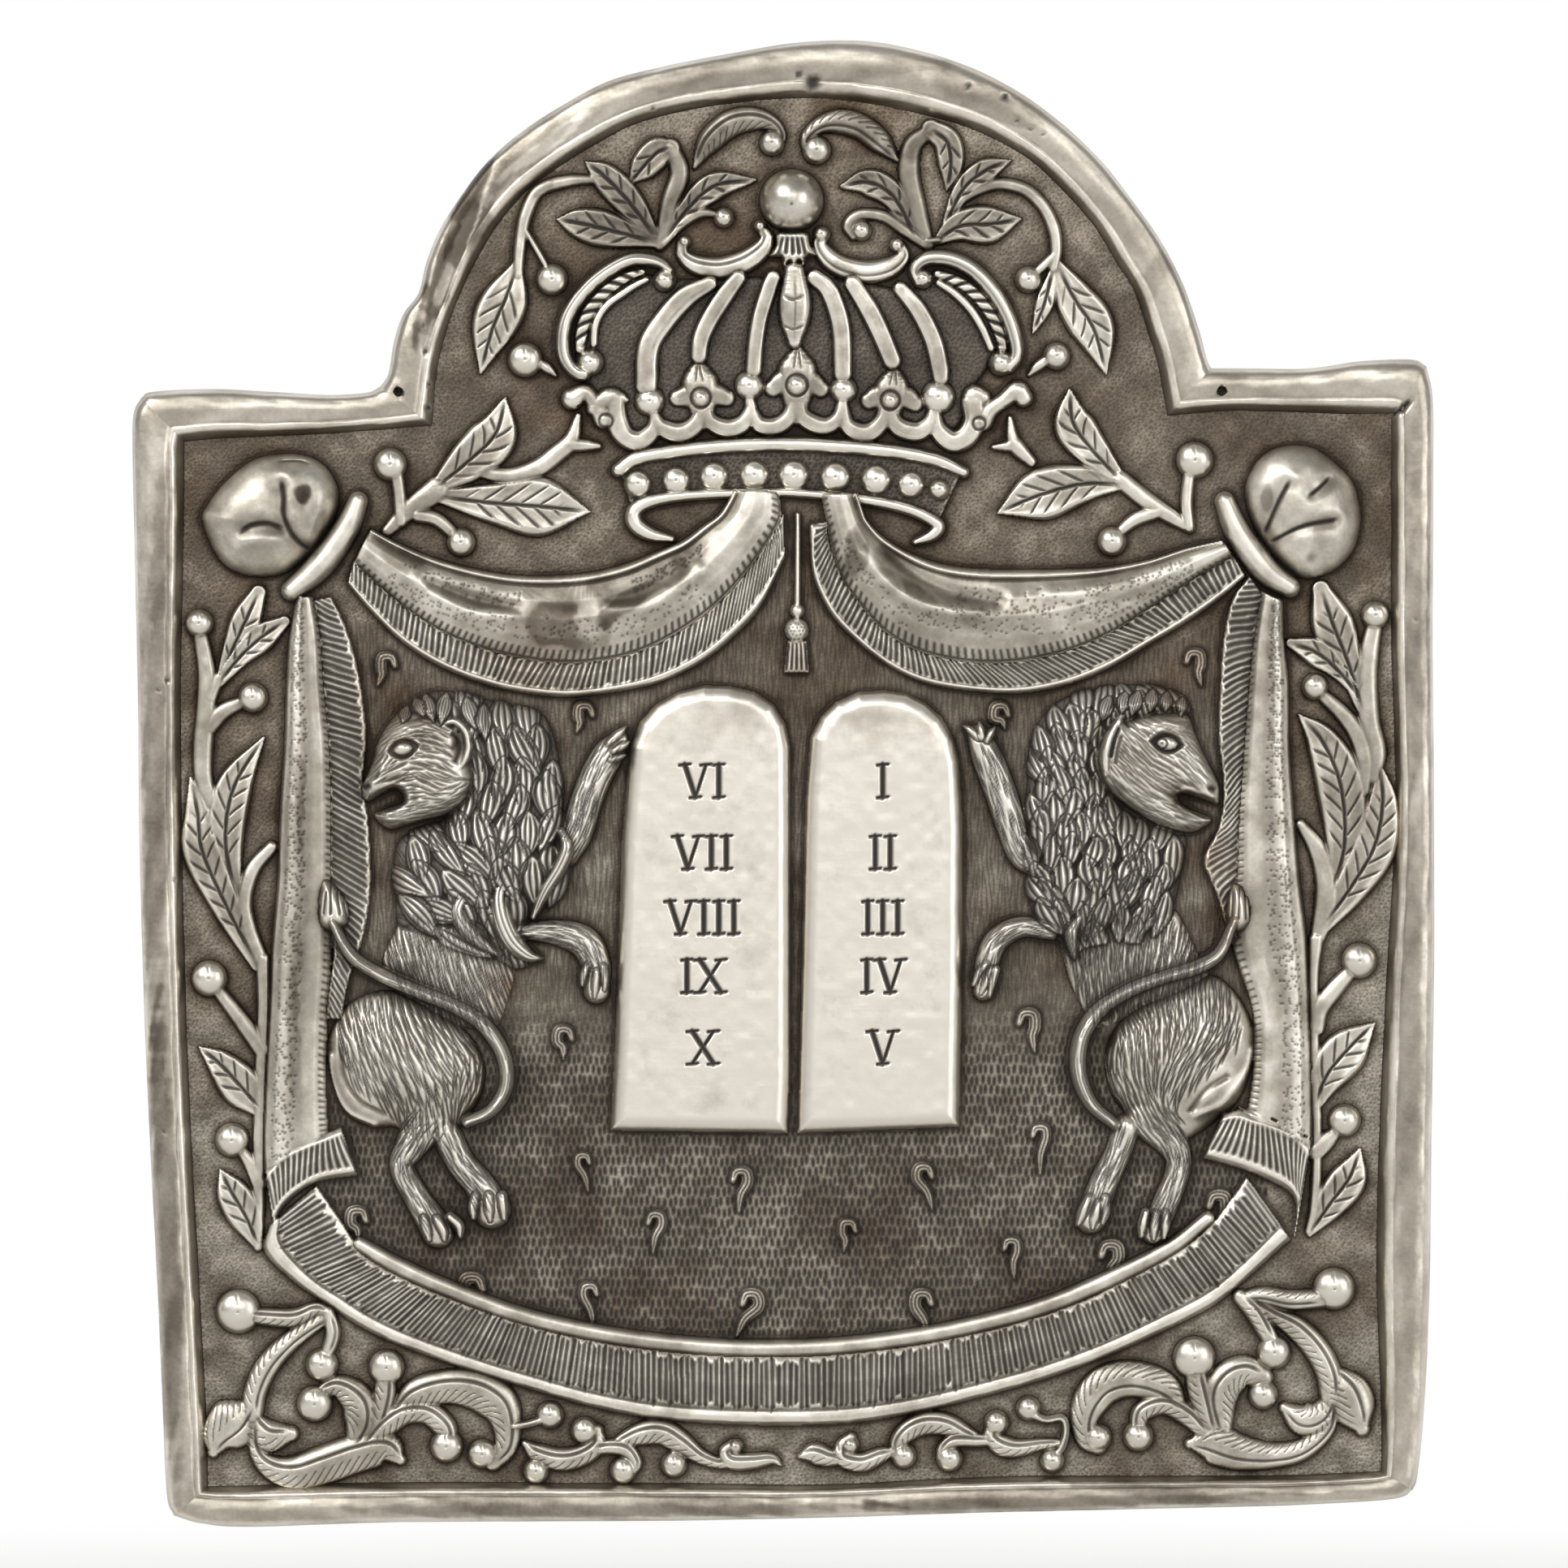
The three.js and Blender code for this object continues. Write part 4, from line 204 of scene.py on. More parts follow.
# A band between two edges: how far along it and across it each grid point lies
class Strip:
    def __init__(self, rows, grow=(0.0, 0.0)):
        fine = spline(rows, cell * 0.5)
        outward = fine[:, :2] - fine[:, 2:4]
        outward /= np.maximum(np.hypot(outward[:, 0], outward[:, 1]), 0.5)[:, None]
        fine[:, :2] += outward * grow[0]
        fine[:, 2:4] -= outward * grow[1]
        widest = np.hypot(fine[:, 2] - fine[:, 0], fine[:, 3] - fine[:, 1]).max()
        shares = np.linspace(0, 1, int(widest / (cell * 0.5)) + 2)
        xs = fine[:, 0:1] + (fine[:, 2:3] - fine[:, 0:1]) * shares
        zs = fine[:, 1:2] + (fine[:, 3:4] - fine[:, 1:2]) * shares
        middle = (fine[:, :2] + fine[:, 2:4]) / 2
        run = np.concatenate([[0], np.cumsum(np.hypot(*np.diff(middle, axis=0).T))])
        columns = np.clip(np.rint((xs - gridAcross[0]) / cell).astype(int), 0, shape[1] - 1)
        rowsAt = np.clip(np.rint((zs - gridUp[0]) / cell).astype(int), 0, shape[0] - 1)
        top, left = rowsAt.min(), columns.min()
        size = (rowsAt.max() - top + 1, columns.max() - left + 1)
        self.window = (slice(top, top + size[0]), slice(left, left + size[1]))
        flat = ((rowsAt - top) * size[1] + columns - left).ravel()
        count = np.bincount(flat, minlength=size[0] * size[1])
        total = np.maximum(count, 1)
        self.along = (np.bincount(flat, (run[:, None] + 0 * xs).ravel(), len(total)) / total).reshape(size)
        self.across = (np.bincount(flat, (shares + 0 * xs).ravel(), len(total)) / total).reshape(size)
        self.inside = (count > 0).reshape(size)
        self.width = widest


# 0 below one value and 1 above the other, smooth between them
def softStep(value, low, high):
    t = np.clip((value - low) / (high - low), 0, 1)
    return t * t * (3 - 2 * t)


# 1 at zero, falling off smoothly over a width on both sides
def ridge(value, width):
    return np.exp(-(value / width) ** 2)


# 1 on lines that come once every pitch, 0 between them
def teeth(value, pitch, width):
    away = np.abs((value / pitch + 0.5) % 1 - 0.5) * pitch
    return np.exp(-(away / width) ** 2)


# A slow uneven swing between -1 and 1
def wave(value, seed):
    turn = seed * 1.7
    swing = np.sin(value + turn) + 0.6 * np.sin(value * 2.3 + turn * 2.1)
    return (swing + 0.4 * np.sin(value * 4.1 + turn * 3.3)) / 2


# 1 along a line, fading to 0 over a length at both its ends
def between(along, length, start, end):
    return softStep(along, start, end) * softStep(length - along, start, end)


# Places in a turned oval, as shares of its half length and half width
def turned(dx, dz, long, wide, degrees):
    c, s = math.cos(math.radians(degrees)), math.sin(math.radians(degrees))
    return (dx * c + dz * s) / (long * plateWidth), (dz * c - dx * s) / (wide * plateWidth)


# A smooth curve through four values, at a share of the way from the second to the third
def curve(a, b, c, d, t):
    return 0.5 * (2 * b + (c - a) * t + (2 * a - 5 * b + 4 * c - d) * t ** 2
                  + (3 * b - a - 3 * c + d) * t ** 3)


# Soft uneven noise over the whole grid, about -1 to 1, with lumps of one size
def cloud(size, seed):
    random = np.random.default_rng(seed)
    counts = [int(gridUp.size * cell / size) + 4, int(gridAcross.size * cell / size) + 4]
    coarse = random.uniform(-1, 1, counts)
    rows, columns = (gridUp - gridUp[0]) / size + 1, (gridAcross - gridAcross[0]) / size + 1

    def along(values, places):
        base = places.astype(int)
        t = (places - base)[:, None]
        last = np.minimum(base + 2, len(values) - 1)
        return curve(values[base - 1], values[base], values[base + 1], values[last], t)

    return along(along(coarse, rows).T, columns).T.astype(np.float32)


# Raises one piece to a top wherever that is above what is there, and clears its earlier lines
def raiseTo(name, area, top, inside, polish=0.0):
    target, holder = height[area.window], owner[area.window]
    above = inside & (top > target + 0.01)
    target[above] = top[above]
    holder[above] = ownerOf(name)
    cuts[area.window][above] = 0
    ink[area.window][above] = 0
    shine[area.window][above] = polish


# Cuts a line into one piece and darkens the cut
def engrave(name, area, line, depth, darkness):
    here = owner[area.window] == ownerOf(name)
    for field, amount in ((cuts, depth), (ink, darkness)):
        field[area.window] = np.maximum(field[area.window], np.where(here, amount * line, 0))


# The grid smoothed over a radius in millimetres
def blur(field, radius):
    reach = max(1, int(math.ceil(radius * 2.5 / cell)))
    taps = np.exp(-0.5 * (np.arange(-reach, reach + 1) * cell / radius) ** 2)
    taps /= taps.sum()
    field = field.astype(np.float32)
    for axis in (0, 1):
        padded = np.pad(field, [(reach, reach) if a == axis else (0, 0) for a in (0, 1)], "edge")
        total = np.zeros(field.shape, np.float32)
        for i, tap in enumerate(taps.astype(np.float32)):
            total += tap * (padded[i:i + shape[0]] if axis == 0 else padded[:, i:i + shape[1]])
        field = total
    return field


# Many short chased marks, gathered before they are cut
class Marks:
    def __init__(self):
        self.field = np.zeros(shape, np.float32)

    def strokes(self, xs, zs, angles, lengths, width, strength=1.0, bend=0.0):
        xs, zs, angles, lengths = np.broadcast_arrays(*map(np.atleast_1d, (xs, zs, angles, lengths)))
        if not len(xs):
            return
        count = max(2, int(math.ceil(lengths.max() / (cell * 0.7))))
        t = np.linspace(-0.5, 0.5, count)[None, :]
        turn = angles[:, None] + bend * t
        px = xs[:, None] + np.cos(turn) * t * lengths[:, None]
        pz = zs[:, None] + np.sin(turn) * t * lengths[:, None]
        self.dots(px, pz, width, strength * (1 - np.abs(t) ** 3 * 5.5) + 0 * px)

    def dots(self, px, pz, width, strength=1.0):
        strength = (strength + 0 * px).ravel()
        px, pz = px.ravel(), pz.ravel()
        column = np.rint((px - gridAcross[0]) / cell).astype(int)
        row = np.rint((pz - gridUp[0]) / cell).astype(int)
        reach = int(math.ceil(width * 1.6 / cell))
        for dc in range(-reach, reach + 1):
            for dr in range(-reach, reach + 1):
                c, r = column + dc, row + dr
                good = (c >= 0) & (c < shape[1]) & (r >= 0) & (r < shape[0])
                c, r = c[good], r[good]
                away = (gridAcross[c] - px[good]) ** 2 + (gridUp[r] - pz[good]) ** 2
                mark = np.exp(-away / width ** 2) * strength[good]
                np.maximum.at(self.field, (r, c), mark.astype(np.float32))

    # Fine dots on a strip, at shares along its edge rows and across them
    def dotsOn(self, edge, along, across):
        at = edge[(along * (len(edge) - 1)).astype(int)]
        spots = at[:, :2] + (at[:, 2:4] - at[:, :2]) * across
        self.dots(spots[:, 0], spots[:, 1], 0.2)

    def cut(self, where, depth, darkness):
        cuts[:] = np.maximum(cuts, np.where(where, depth * self.field, 0))
        ink[:] = np.maximum(ink, np.where(where, darkness * self.field, 0))


# Jittered, staggered places inside an area, about one spacing apart
def scatterIn(area, spacing, jitter=0.35, depth=0.0, tall=1.0):
    rows = np.arange(area.zs.min(), area.zs.max(), spacing * 0.87 * tall)
    spots = []
    for i, up in enumerate(rows):
        row = np.arange(area.xs.min() + (i % 2) * spacing / 2, area.xs.max(), spacing)
        spots.append(np.column_stack([row, np.full(len(row), up)]))
    spots = np.vstack(spots)
    spots += draws.uniform(-jitter, jitter, spots.shape) * [spacing, spacing * tall]
    column = np.clip(np.rint((spots[:, 0] - area.xs[0, 0]) / cell).astype(int), 0, area.xs.shape[1] - 1)
    row = np.clip(np.rint((spots[:, 1] - area.zs[0, 0]) / cell).astype(int), 0, area.xs.shape[0] - 1)
    return spots[area.depth[row, column] > depth]


# Fine dots scattered over an area, cut wherever the mask allows
def stipple(where, area, spacing, jitter, width, depth, darkness):
    dots = Marks()
    spots = scatterIn(area, spacing, jitter)
    dots.dots(spots[:, 0], spots[:, 1], width)
    dots.cut(where, depth, darkness)


# The direction at each place, from a few arrows [across, up, degrees]
def flowAt(arrows, spots):
    table = np.array(arrows, float)
    table[:, :2] *= plateWidth
    away = (spots[:, :1] - table[None, :, 0]) ** 2 + (spots[:, 1:2] - table[None, :, 1]) ** 2 + 1.0
    turn = np.radians(table[:, 2])
    weight = away ** -1.5
    return np.arctan2((weight * np.sin(turn)).sum(1), (weight * np.cos(turn)).sum(1))


# Raised forms


# A chased line beside the middle of a stroke
def chase(name, path, offset, width, depth, darkness, ends=(2, 2), strength=1):
    line = ridge(path.side - offset * path.half, width) * (path.share < 1) * path.inner(*ends) * strength
    engrave(name, path, line, depth, darkness)


# A stroke of changing width with a rounded top: rows of across, up and half width
def paintStroke(name, rows, top, base=0.0, fullness=0.5, swell=0.45, broad=2.8, polish=0.0, grow=1.0):
    path = Path(np.array(rows) * [1, 1, grow])
    bulge = np.clip(1 - path.share ** broad, 0, 1) ** fullness
    full = 1 - swell + swell * path.half / path.widest
    raiseTo(name, path, base + top * full * bulge, path.share < 1, polish)
    return path


# A leaf with a raised rim, a chased midrib and a few short side veins
def paintLeaf(name, rows, top, pitch=3.1, lean=1.3, grow=1.26):
    path = Path(np.array(rows) * [1, 1, grow])
    across = np.clip(path.share, 0, 1)
    body = np.clip(1 - across ** 5, 0, 1) ** 0.5 * (0.78 + 0.22 * ridge(across - 0.82, 0.2))
    raiseTo(name, path, top * (0.55 + 0.45 * path.half / path.widest) * body, path.share < 1)
    length = path.length
    middle = ridge(path.side, 0.24) * path.inner(0.18 * length, 0.16 * length)
    engrave(name, path, middle, 0.45, 1)
    slant = path.along - np.abs(path.side) * lean
    cut = teeth(slant - pitch * 0.3 * (path.side > 0), pitch, 0.27) * (path.share < 0.78)
    cut *= softStep(slant, 0.12 * length, 0.2 * length)
    cut *= softStep(length - path.along, 0.16 * length, 0.22 * length)
    cut *= softStep(np.abs(path.side), 0.2, 0.45) * softStep(0.8 - path.share, 0, 0.2)
    engrave(name, path, cut, 0.32, 0.95)


# A round berry or pearl of [across, up, radius], with a small mark in its middle
def paintBerry(name, spot, top, dot=True):
    half = spot[2] * plateWidth
    area = Spot(spot[0], spot[1], half + 0.5)
    away = np.hypot(area.dx, area.dz) / half
    raiseTo(name, area, top * np.clip(1 - away ** 2.4, 0, 1) ** 0.5, away < 1, 0.6)
    if dot:
        mark = ridge(np.hypot(area.dx, area.dz), 0.2)
        engrave(name, area, mark, 0.15, 0.8)


# A raised form inside an outline, rounded over a bevel's width at its edge
def paintBoss(name, rows, top, bevel=None, power=0.5, smooth=True):
    area = Area(rows, smooth=smooth)
    slope = np.clip(area.depth / (bevel or area.depth.max()), 0, 1)
    raiseTo(name, area, top * (1 - (1 - slope) ** 2) ** power, area.inside)
    return area


# A band between two edges, with levels given at shares of the way across
def paintStrip(name, rows, profile, grow=(0.0, 0.0)):
    strip = Strip(rows, grow)
    levels = np.interp(strip.across, [p[0] for p in profile], [p[1] for p in profile])
    raiseTo(name, strip, levels, strip.inside)
    return strip


# A chased line that keeps one share of the way across a strip
def chaseAlong(name, strip, share, width, depth, darkness):
    engrave(name, strip, ridge((strip.across - share) * strip.width, width) * strip.inside, depth, darkness)


# One chased line across a piece
def cutLine(name, rows, width=0.22, depth=0.3, darkness=0.9, ends=0.5):
    path = Path([r[:2] for r in rows], 1.5)
    line = ridge(path.distance, width) * between(path.along, path.length, -0.3, ends)
    engrave(name, path, line, depth, darkness)


# Soft swellings and hollows pressed into a piece: [across, up, long, wide, degrees, rise]
def mould(name, mounds):
    for across, up, long, wide, turn, rise in mounds:
        area = Spot(across, up, max(long, wide) * plateWidth * 2.2)
        u, v = turned(area.dx, area.dz, long, wide, turn)
        here = owner[area.window] == ownerOf(name)
        height[area.window] += np.where(here, rise * np.exp(-u * u - v * v), 0)


# A soft ridge along a line, or with a negative rise a soft trough
def furrow(name, rows, width, rise):
    path = Path([r[:2] for r in rows], width * 2.5)
    line = ridge(path.distance, width) * between(path.along, path.length, -width, width)
    here = owner[path.window] == ownerOf(name)
    height[path.window] += np.where(here, rise * line, 0)


# Raised heights over the ground, in millimetres
raised = {
    "leaf": 1.9, "stem": 1.6, "scroll": 2.2, "berry": 2.7, "knot": 5.9, "ring": 4.4, "piping": 2.6,
    "tassel": 2.5, "tablet": 2.6, "head": 5.0, "mane": 4.3, "body": 4.2, "haunch": 5.5, "limb": 3.4,
    "tail": 5.6, "tuft": 4.2, "cap": 1.2, "hoop": 1.7, "arch": 3.4, "baluster": 2.4, "cresting": 2.5,
    "pearl": 2.9, "band": 1.1, "rim": 2.4, "orb": 6.5, "calyx": 3.2, "ermine": 1.3,
}

# Foliage: rows are across, up and half width, berries across, up and radius
foliage = {
    "top_spray_left": {
        "leaves": [
            [[-.099, .99, .004], [-.1352, .9993, .0115], [-.158, 1.0045, .0095], [-.1739, 1.007, .001]],
            [[-.097, .992, .003], [-.118, 1.02, .0095], [-.137, 1.04, .009], [-.1521, 1.0515, .001]],
            [[-.0865, 1.062, .0065], [-.0965, 1.0585, .01], [-.1083, 1.0463, .0085],
             [-.1175, 1.035, .001]],
            [[-.093, .988, .003], [-.074, 1.014, .0065], [-.052, 1.033, .009], [-.0215, 1.0375, .0015]],
            [[-.205, .971, .004], [-.213, .947, .014], [-.2235, .9225, .0135], [-.2328, .889, .001]]],
        "stems": [
            [[-.0949, .987, .004], [-.0873, 1.0194, .0065], [-.0797, 1.043, .007], [-.086, 1.062, .006]],
            [[-.142, 1.038, .003], [-.166, 1.0368, .0045], [-.1874, 1.0295, .0048],
             [-.1975, 1.012, .0048], [-.202, .99, .0045], [-.204, .965, .004]],
            [[-.2, 1.002, .002], [-.19, .985, .0025], [-.181, .969, .0025]],
            [[-.092, .988, .003], [-.079, 1.003, .004], [-.064, 1.012, .004], [-.05, 1.011, .0025]]],
        "berries": [[-.1776, .9609, .0104], [-.0457, 1.0085, .0068]],
    },
    "top_spray_right": {
        "leaves": [
            [[.103, .992, .003], [.0855, 1.024, .008], [.066, 1.0355, .009], [.045, 1.0325, .0015]],
            [[.114, 1.0765, .0065], [.1265, 1.0665, .009], [.1292, 1.048, .008], [.1262, 1.03, .001]],
            [[.123, .998, .002], [.138, 1.029, .0065], [.156, 1.0445, .008], [.175, 1.0525, .001]],
            [[.118, .9905, .003], [.137, 1.002, .01], [.16, 1.0035, .012], [.1825, 1.0075, .0015]],
            [[.211, .972, .004], [.2245, .946, .0125], [.2395, .922, .0135], [.2488, .8885, .001]],
            [[.2075, .968, .002], [.2015, .943, .006], [.1925, .92, .001]]],
        "stems": [[[.1116, .988, .005], [.102, 1.0179, .0075], [.0969, 1.0436, .0078], [.1, 1.064, .007],
                [.115, 1.0765, .005]],
            [[.128, 1.014, .003], [.1447, 1.0271, .004], [.165, 1.0344, .0045], [.1853, 1.0308, .0048],
             [.2, 1.0179, .0048], [.2083, 1.0013, .0048], [.2105, .985, .0045], [.2085, .97, .004]],
            [[.209, .98, .003], [.2, .971, .0035], [.192, .964, .003]],
            [[.109, .9885, .004], [.0945, .9985, .0045], [.078, 1.0095, .0045], [.06, 1.011, .0045],
             [.0505, 1.003, .0045], [.0545, .9945, .0035]],
            [[.111, .9905, .0025], [.12, .9915, .0025]]],
        "berries": [[.189, .9608, .0088], [.0605, .9985, .0068]],
    },
    "top_scroll_left": {
        "scrolls": [[[-.068, 1.0475, .002], [-.057, 1.0665, .0085], [-.041, 1.0805, .0095],
                [-.024, 1.0845, .0085], [-.01, 1.0815, .006], [-.002, 1.0725, .0045],
                [-.0035, 1.061, .003]]],
        "berries": [[-.0085, 1.066, .0085]],
    },
    "top_scroll_right": {
        "scrolls": [[[.0877, 1.0529, .002], [.0755, 1.0665, .008], [.0595, 1.0785, .009],
                [.0435, 1.0825, .0085], [.0285, 1.0795, .006], [.018, 1.07, .0045], [.018, 1.059, .003]]],
        "berries": [[.026, 1.0605, .0095]],
    },
    "spray_berry_left": {
        "stems": [[[-.19, .898, .0025], [-.181, .8925, .003], [-.1748, .8872, .0012]]],
        "berries": [[-.1983, .8992, .0115]],
    },
    "spray_berry_right": {
        "stems": [[[.2045, .9, .003], [.196, .894, .003], [.1895, .8875, .0012]]],
        "berries": [[.2107, .9019, .009]],
    },
    "shoulder_spray_left": {
        "leaves": [[[-.268, .8, .004], [-.243, .82, .013], [-.2215, .8415, .0142], [-.2135, .87, .001]],
            [[-.266, .794, .004], [-.225, .789, .0125], [-.185, .786, .0185], [-.1487, .7823, .001]]],
        "stems": [[[-.3045, .7672, .0035], [-.2879, .7832, .0055], [-.266, .7995, .007]],
            [[-.241, .815, .003], [-.212, .81, .0045], [-.19, .8155, .005], [-.1733, .8273, .005],
             [-.1627, .8375, .0045], [-.1575, .856, .002]],
            [[-.1655, .834, .004], [-.153, .8335, .0035], [-.142, .8328, .002]],
            [[-.297, .81, .0038], [-.295, .795, .0038], [-.294, .775, .0038]],
            [[-.281, .7795, .004], [-.266, .776, .004], [-.251, .763, .0035]]],
        "berries": [[-.3022, .8185, .0108], [-.2477, .7586, .0094]],
    },
    "shoulder_spray_right": {
        "leaves": [
            [[.261, .8055, .004], [.2395, .828, .0105], [.2235, .8505, .0125], [.2208, .8765, .001]],
            [[.2625, .803, .003], [.231, .8035, .012], [.1965, .7945, .016], [.1656, .7812, .001]]],
        "stems": [[[.3135, .7695, .003], [.2963, .7803, .0045], [.2797, .7913, .005], [.26, .807, .005]],
            [[.313, .814, .0035], [.3108, .79, .0036], [.3125, .771, .0036]],
            [[.259, .7665, .003], [.272, .7765, .004], [.289, .7825, .004]]],
        "berries": [[.317, .8218, .0122], [.2534, .7594, .0096]],
    },
    "shoulder_twig_right": {
        "stems": [
            [[.1913, .8208, .003], [.1803, .8319, .0045], [.1765, .84, .0035], [.1748, .8541, .0018]],
            [[.1795, .8335, .004], [.1715, .8325, .003], [.162, .8319, .0015]]],
    },
    "side_garland_left": {
        "leaves": [
            [[-.433, .652, .003], [-.424, .675, .0065], [-.4135, .698, .0095], [-.4035, .72, .005]],
            [[-.434, .65, .003], [-.418, .67, .0065], [-.401, .6855, .009], [-.3835, .6975, .004]],
            [[-.4215, .488, .004], [-.429, .53, .0115], [-.4225, .57, .0115], [-.3995, .6085, .001]],
            [[-.405, .433, .004], [-.428, .478, .0095], [-.4465, .52, .0125], [-.4505, .55, .0085],
             [-.456, .5776, .001]],
            [[-.402, .322, .006], [-.416, .3385, .013], [-.433, .357, .009], [-.4492, .3699, .001]],
            [[-.4035, .2165, .003], [-.413, .239, .011], [-.4245, .259, .01], [-.4332, .2757, .001]]],
        "stems": [[[-.4485, .688, .004], [-.4435, .6579, .005], [-.444, .63, .0055], [-.4465, .6, .0055],
                [-.4455, .575, .005], [-.437, .553, .004]],
            [[-.434, .655, .003], [-.441, .639, .004]],
            [[-.4155, .636, .0035], [-.431, .6285, .0045], [-.4435, .6155, .005]],
            [[-.3935, .524, .0035], [-.4079, .507, .0042], [-.4147, .4834, .0045], [-.4113, .4616, .0045],
             [-.401, .436, .004]],
            [[-.437, .4165, .0035], [-.4164, .3901, .0045], [-.4005, .368, .005]],
            [[-.418, .2925, .003], [-.41, .281, .004], [-.403, .265, .0045]],
            [[-.4005, .438, .004], [-.3998, .4, .0036], [-.4018, .35, .0036], [-.4033, .3, .0036],
             [-.4035, .25, .0036], [-.4042, .216, .0025]]],
        "berries": [[-.4492, .6963, .0092], [-.4079, .6392, .0099], [-.4416, .4229, .0118],
            [-.4239, .2985, .0112]],
    },
    "side_garland_right": {
        "leaves": [[[.4465, .627, .003], [.436, .663, .0085], [.4235, .695, .0135], [.414, .7225, .006]],
            [[.4435, .64, .003], [.4285, .6585, .0055], [.411, .6735, .009], [.391, .681, .0035]],
            [[.422, .488, .004], [.432, .525, .0115], [.4295, .57, .0155], [.4155, .605, .0105],
             [.3974, .6258, .001]],
            [[.415, .462, .005], [.4365, .492, .011], [.455, .524, .014], [.4615, .558, .01],
             [.459, .589, .001]],
            [[.41, .325, .004], [.4185, .348, .012], [.4355, .369, .0135], [.4554, .3884, .001]],
            [[.4055, .226, .002], [.4205, .2485, .01], [.436, .2695, .0115], [.444, .291, .0015]]],
        "stems": [[[.4555, .695, .0045], [.4512, .6731, .0055], [.4497, .65, .0058], [.4515, .62, .006],
                [.457, .5975, .0055], [.4545, .578, .004]],
            [[.4475, .624, .0025], [.4515, .615, .003]],
            [[.4145, .642, .0035], [.431, .6266, .0045], [.4428, .6098, .005], [.448, .59, .005],
             [.447, .568, .004]],
            [[.3985, .5415, .003], [.4108, .524, .005], [.4175, .5038, .006], [.4195, .483, .007],
             [.411, .452, .004]],
            [[.4375, .429, .004], [.424, .414, .005], [.4135, .3995, .005], [.411, .385, .0045]],
            [[.427, .306, .003], [.418, .2975, .005], [.41, .289, .005]],
            [[.4105, .453, .004], [.4085, .42, .003], [.4095, .36, .003], [.411, .3, .003],
             [.4095, .25, .003], [.4045, .228, .002]]],
        "berries": [[.4559, .7025, .0092], [.4096, .6476, .0088], [.4436, .4365, .0117],
            [.4323, .3135, .0108]],
    },
    "corner_scroll_left": {
        "scrolls": [
            [[-.4105, .1635, .004], [-.3771, .1615, .005], [-.3598, .168, .004], [-.3495, .1655, .0035]],
            [[-.35, .166, .0035], [-.3465, .15, .004], [-.3515, .133, .0035]],
            [[-.3505, .163, .0035], [-.3771, .1455, .005], [-.3963, .1255, .0058], [-.406, .105, .0058],
             [-.4085, .0875, .0055]],
            [[-.408, .095, .003], [-.421, .0825, .0125], [-.434, .0695, .0095], [-.4385, .058, .003]],
            [[-.4085, .0865, .003], [-.397, .0715, .0085], [-.3785, .0725, .004]],
            [[-.408, .082, .003], [-.406, .06, .0035], [-.3944, .047, .006], [-.3752, .0425, .0085],
             [-.3521, .049, .0095], [-.3271, .0575, .0095], [-.306, .0615, .0085], [-.2944, .0525, .003]],
            [[-.3575, .1045, .003], [-.342, .1085, .006], [-.3275, .098, .0085], [-.3245, .082, .0085],
             [-.331, .064, .004]],
            [[-.3055, .117, .005], [-.307, .1, .006], [-.313, .0745, .004]],
            [[-.3213, .063, .003], [-.306, .0785, .006], [-.2906, .0885, .006], [-.2733, .0885, .006],
             [-.2605, .0775, .006], [-.2575, .064, .0045]],
            [[-.299, .0885, .003], [-.2829, .1015, .008], [-.2598, .1085, .0085], [-.2367, .1065, .01],
             [-.2194, .096, .01], [-.2125, .0795, .0075], [-.2135, .0627, .006], [-.2233, .0515, .005]],
            [[-.1845, .0835, .002], [-.196, .08, .002], [-.207, .0785, .002]]],
        "berries": [[-.4192, .1665, .0145], [-.3548, .1255, .0108], [-.3603, .0955, .0118],
            [-.305, .1235, .0118], [-.259, .063, .0108], [-.2315, .057, .0095], [-.1793, .087, .009]],
    },
    "corner_scroll_right": {
        "scrolls": [
            [[.414, .1765, .005], [.3897, .1754, .0052], [.3697, .179, .0045], [.354, .1775, .003]],
            [[.352, .178, .004], [.3635, .166, .005], [.3755, .145, .0045]],
            [[.357, .177, .003], [.3757, .165, .004], [.3957, .1535, .006], [.4118, .136, .0065],
             [.4205, .118, .0065], [.4225, .1, .006]],
            [[.424, .122, .003], [.434, .106, .0105], [.4405, .0895, .0105], [.446, .0765, .004]],
            [[.4235, .1, .004], [.4135, .0865, .0075], [.4, .0835, .008], [.386, .0925, .003]],
            [[.422, .0985, .003], [.4195, .0775, .004], [.4, .0605, .0055], [.3757, .0555, .0065],
             [.3496, .0585, .009], [.3296, .0655, .01], [.3135, .065, .003]],
            [[.3396, .0725, .004], [.336, .0989, .009], [.3425, .1135, .009], [.3555, .1205, .008],
             [.3685, .116, .006]],
            [[.3176, .121, .0055], [.322, .1, .0065], [.33, .073, .004]],
            [[.2735, .0735, .004], [.2765, .089, .0052], [.2935, .0955, .0055], [.3105, .0875, .0055],
             [.3255, .0725, .004]],
            [[.3085, .092, .003], [.2935, .1075, .008], [.2694, .1145, .009], [.2494, .1105, .0095],
             [.2375, .0985, .009], [.232, .0829, .007], [.234, .0689, .0055], [.2425, .064, .005]]],
        "berries": [[.4242, .184, .0138], [.3781, .1353, .0112], [.3697, .1025, .0098],
            [.3166, .1309, .014], [.2735, .0705, .01], [.2425, .0695, .009]],
    },
    "base_scroll_left": {
        "scrolls": [[[-.1985, .065, .002], [-.1889, .0575, .005], [-.1728, .053, .0058],
                [-.1568, .055, .0055], [-.1435, .0635, .0048], [-.1425, .0755, .003]],
            [[-.146, .06, .003], [-.1328, .0625, .004], [-.1207, .0605, .0042], [-.1135, .0505, .0035],
             [-.1165, .0435, .003]],
            [[-.13, .064, .003], [-.1087, .0725, .006], [-.0927, .0735, .0065], [-.0787, .0655, .006],
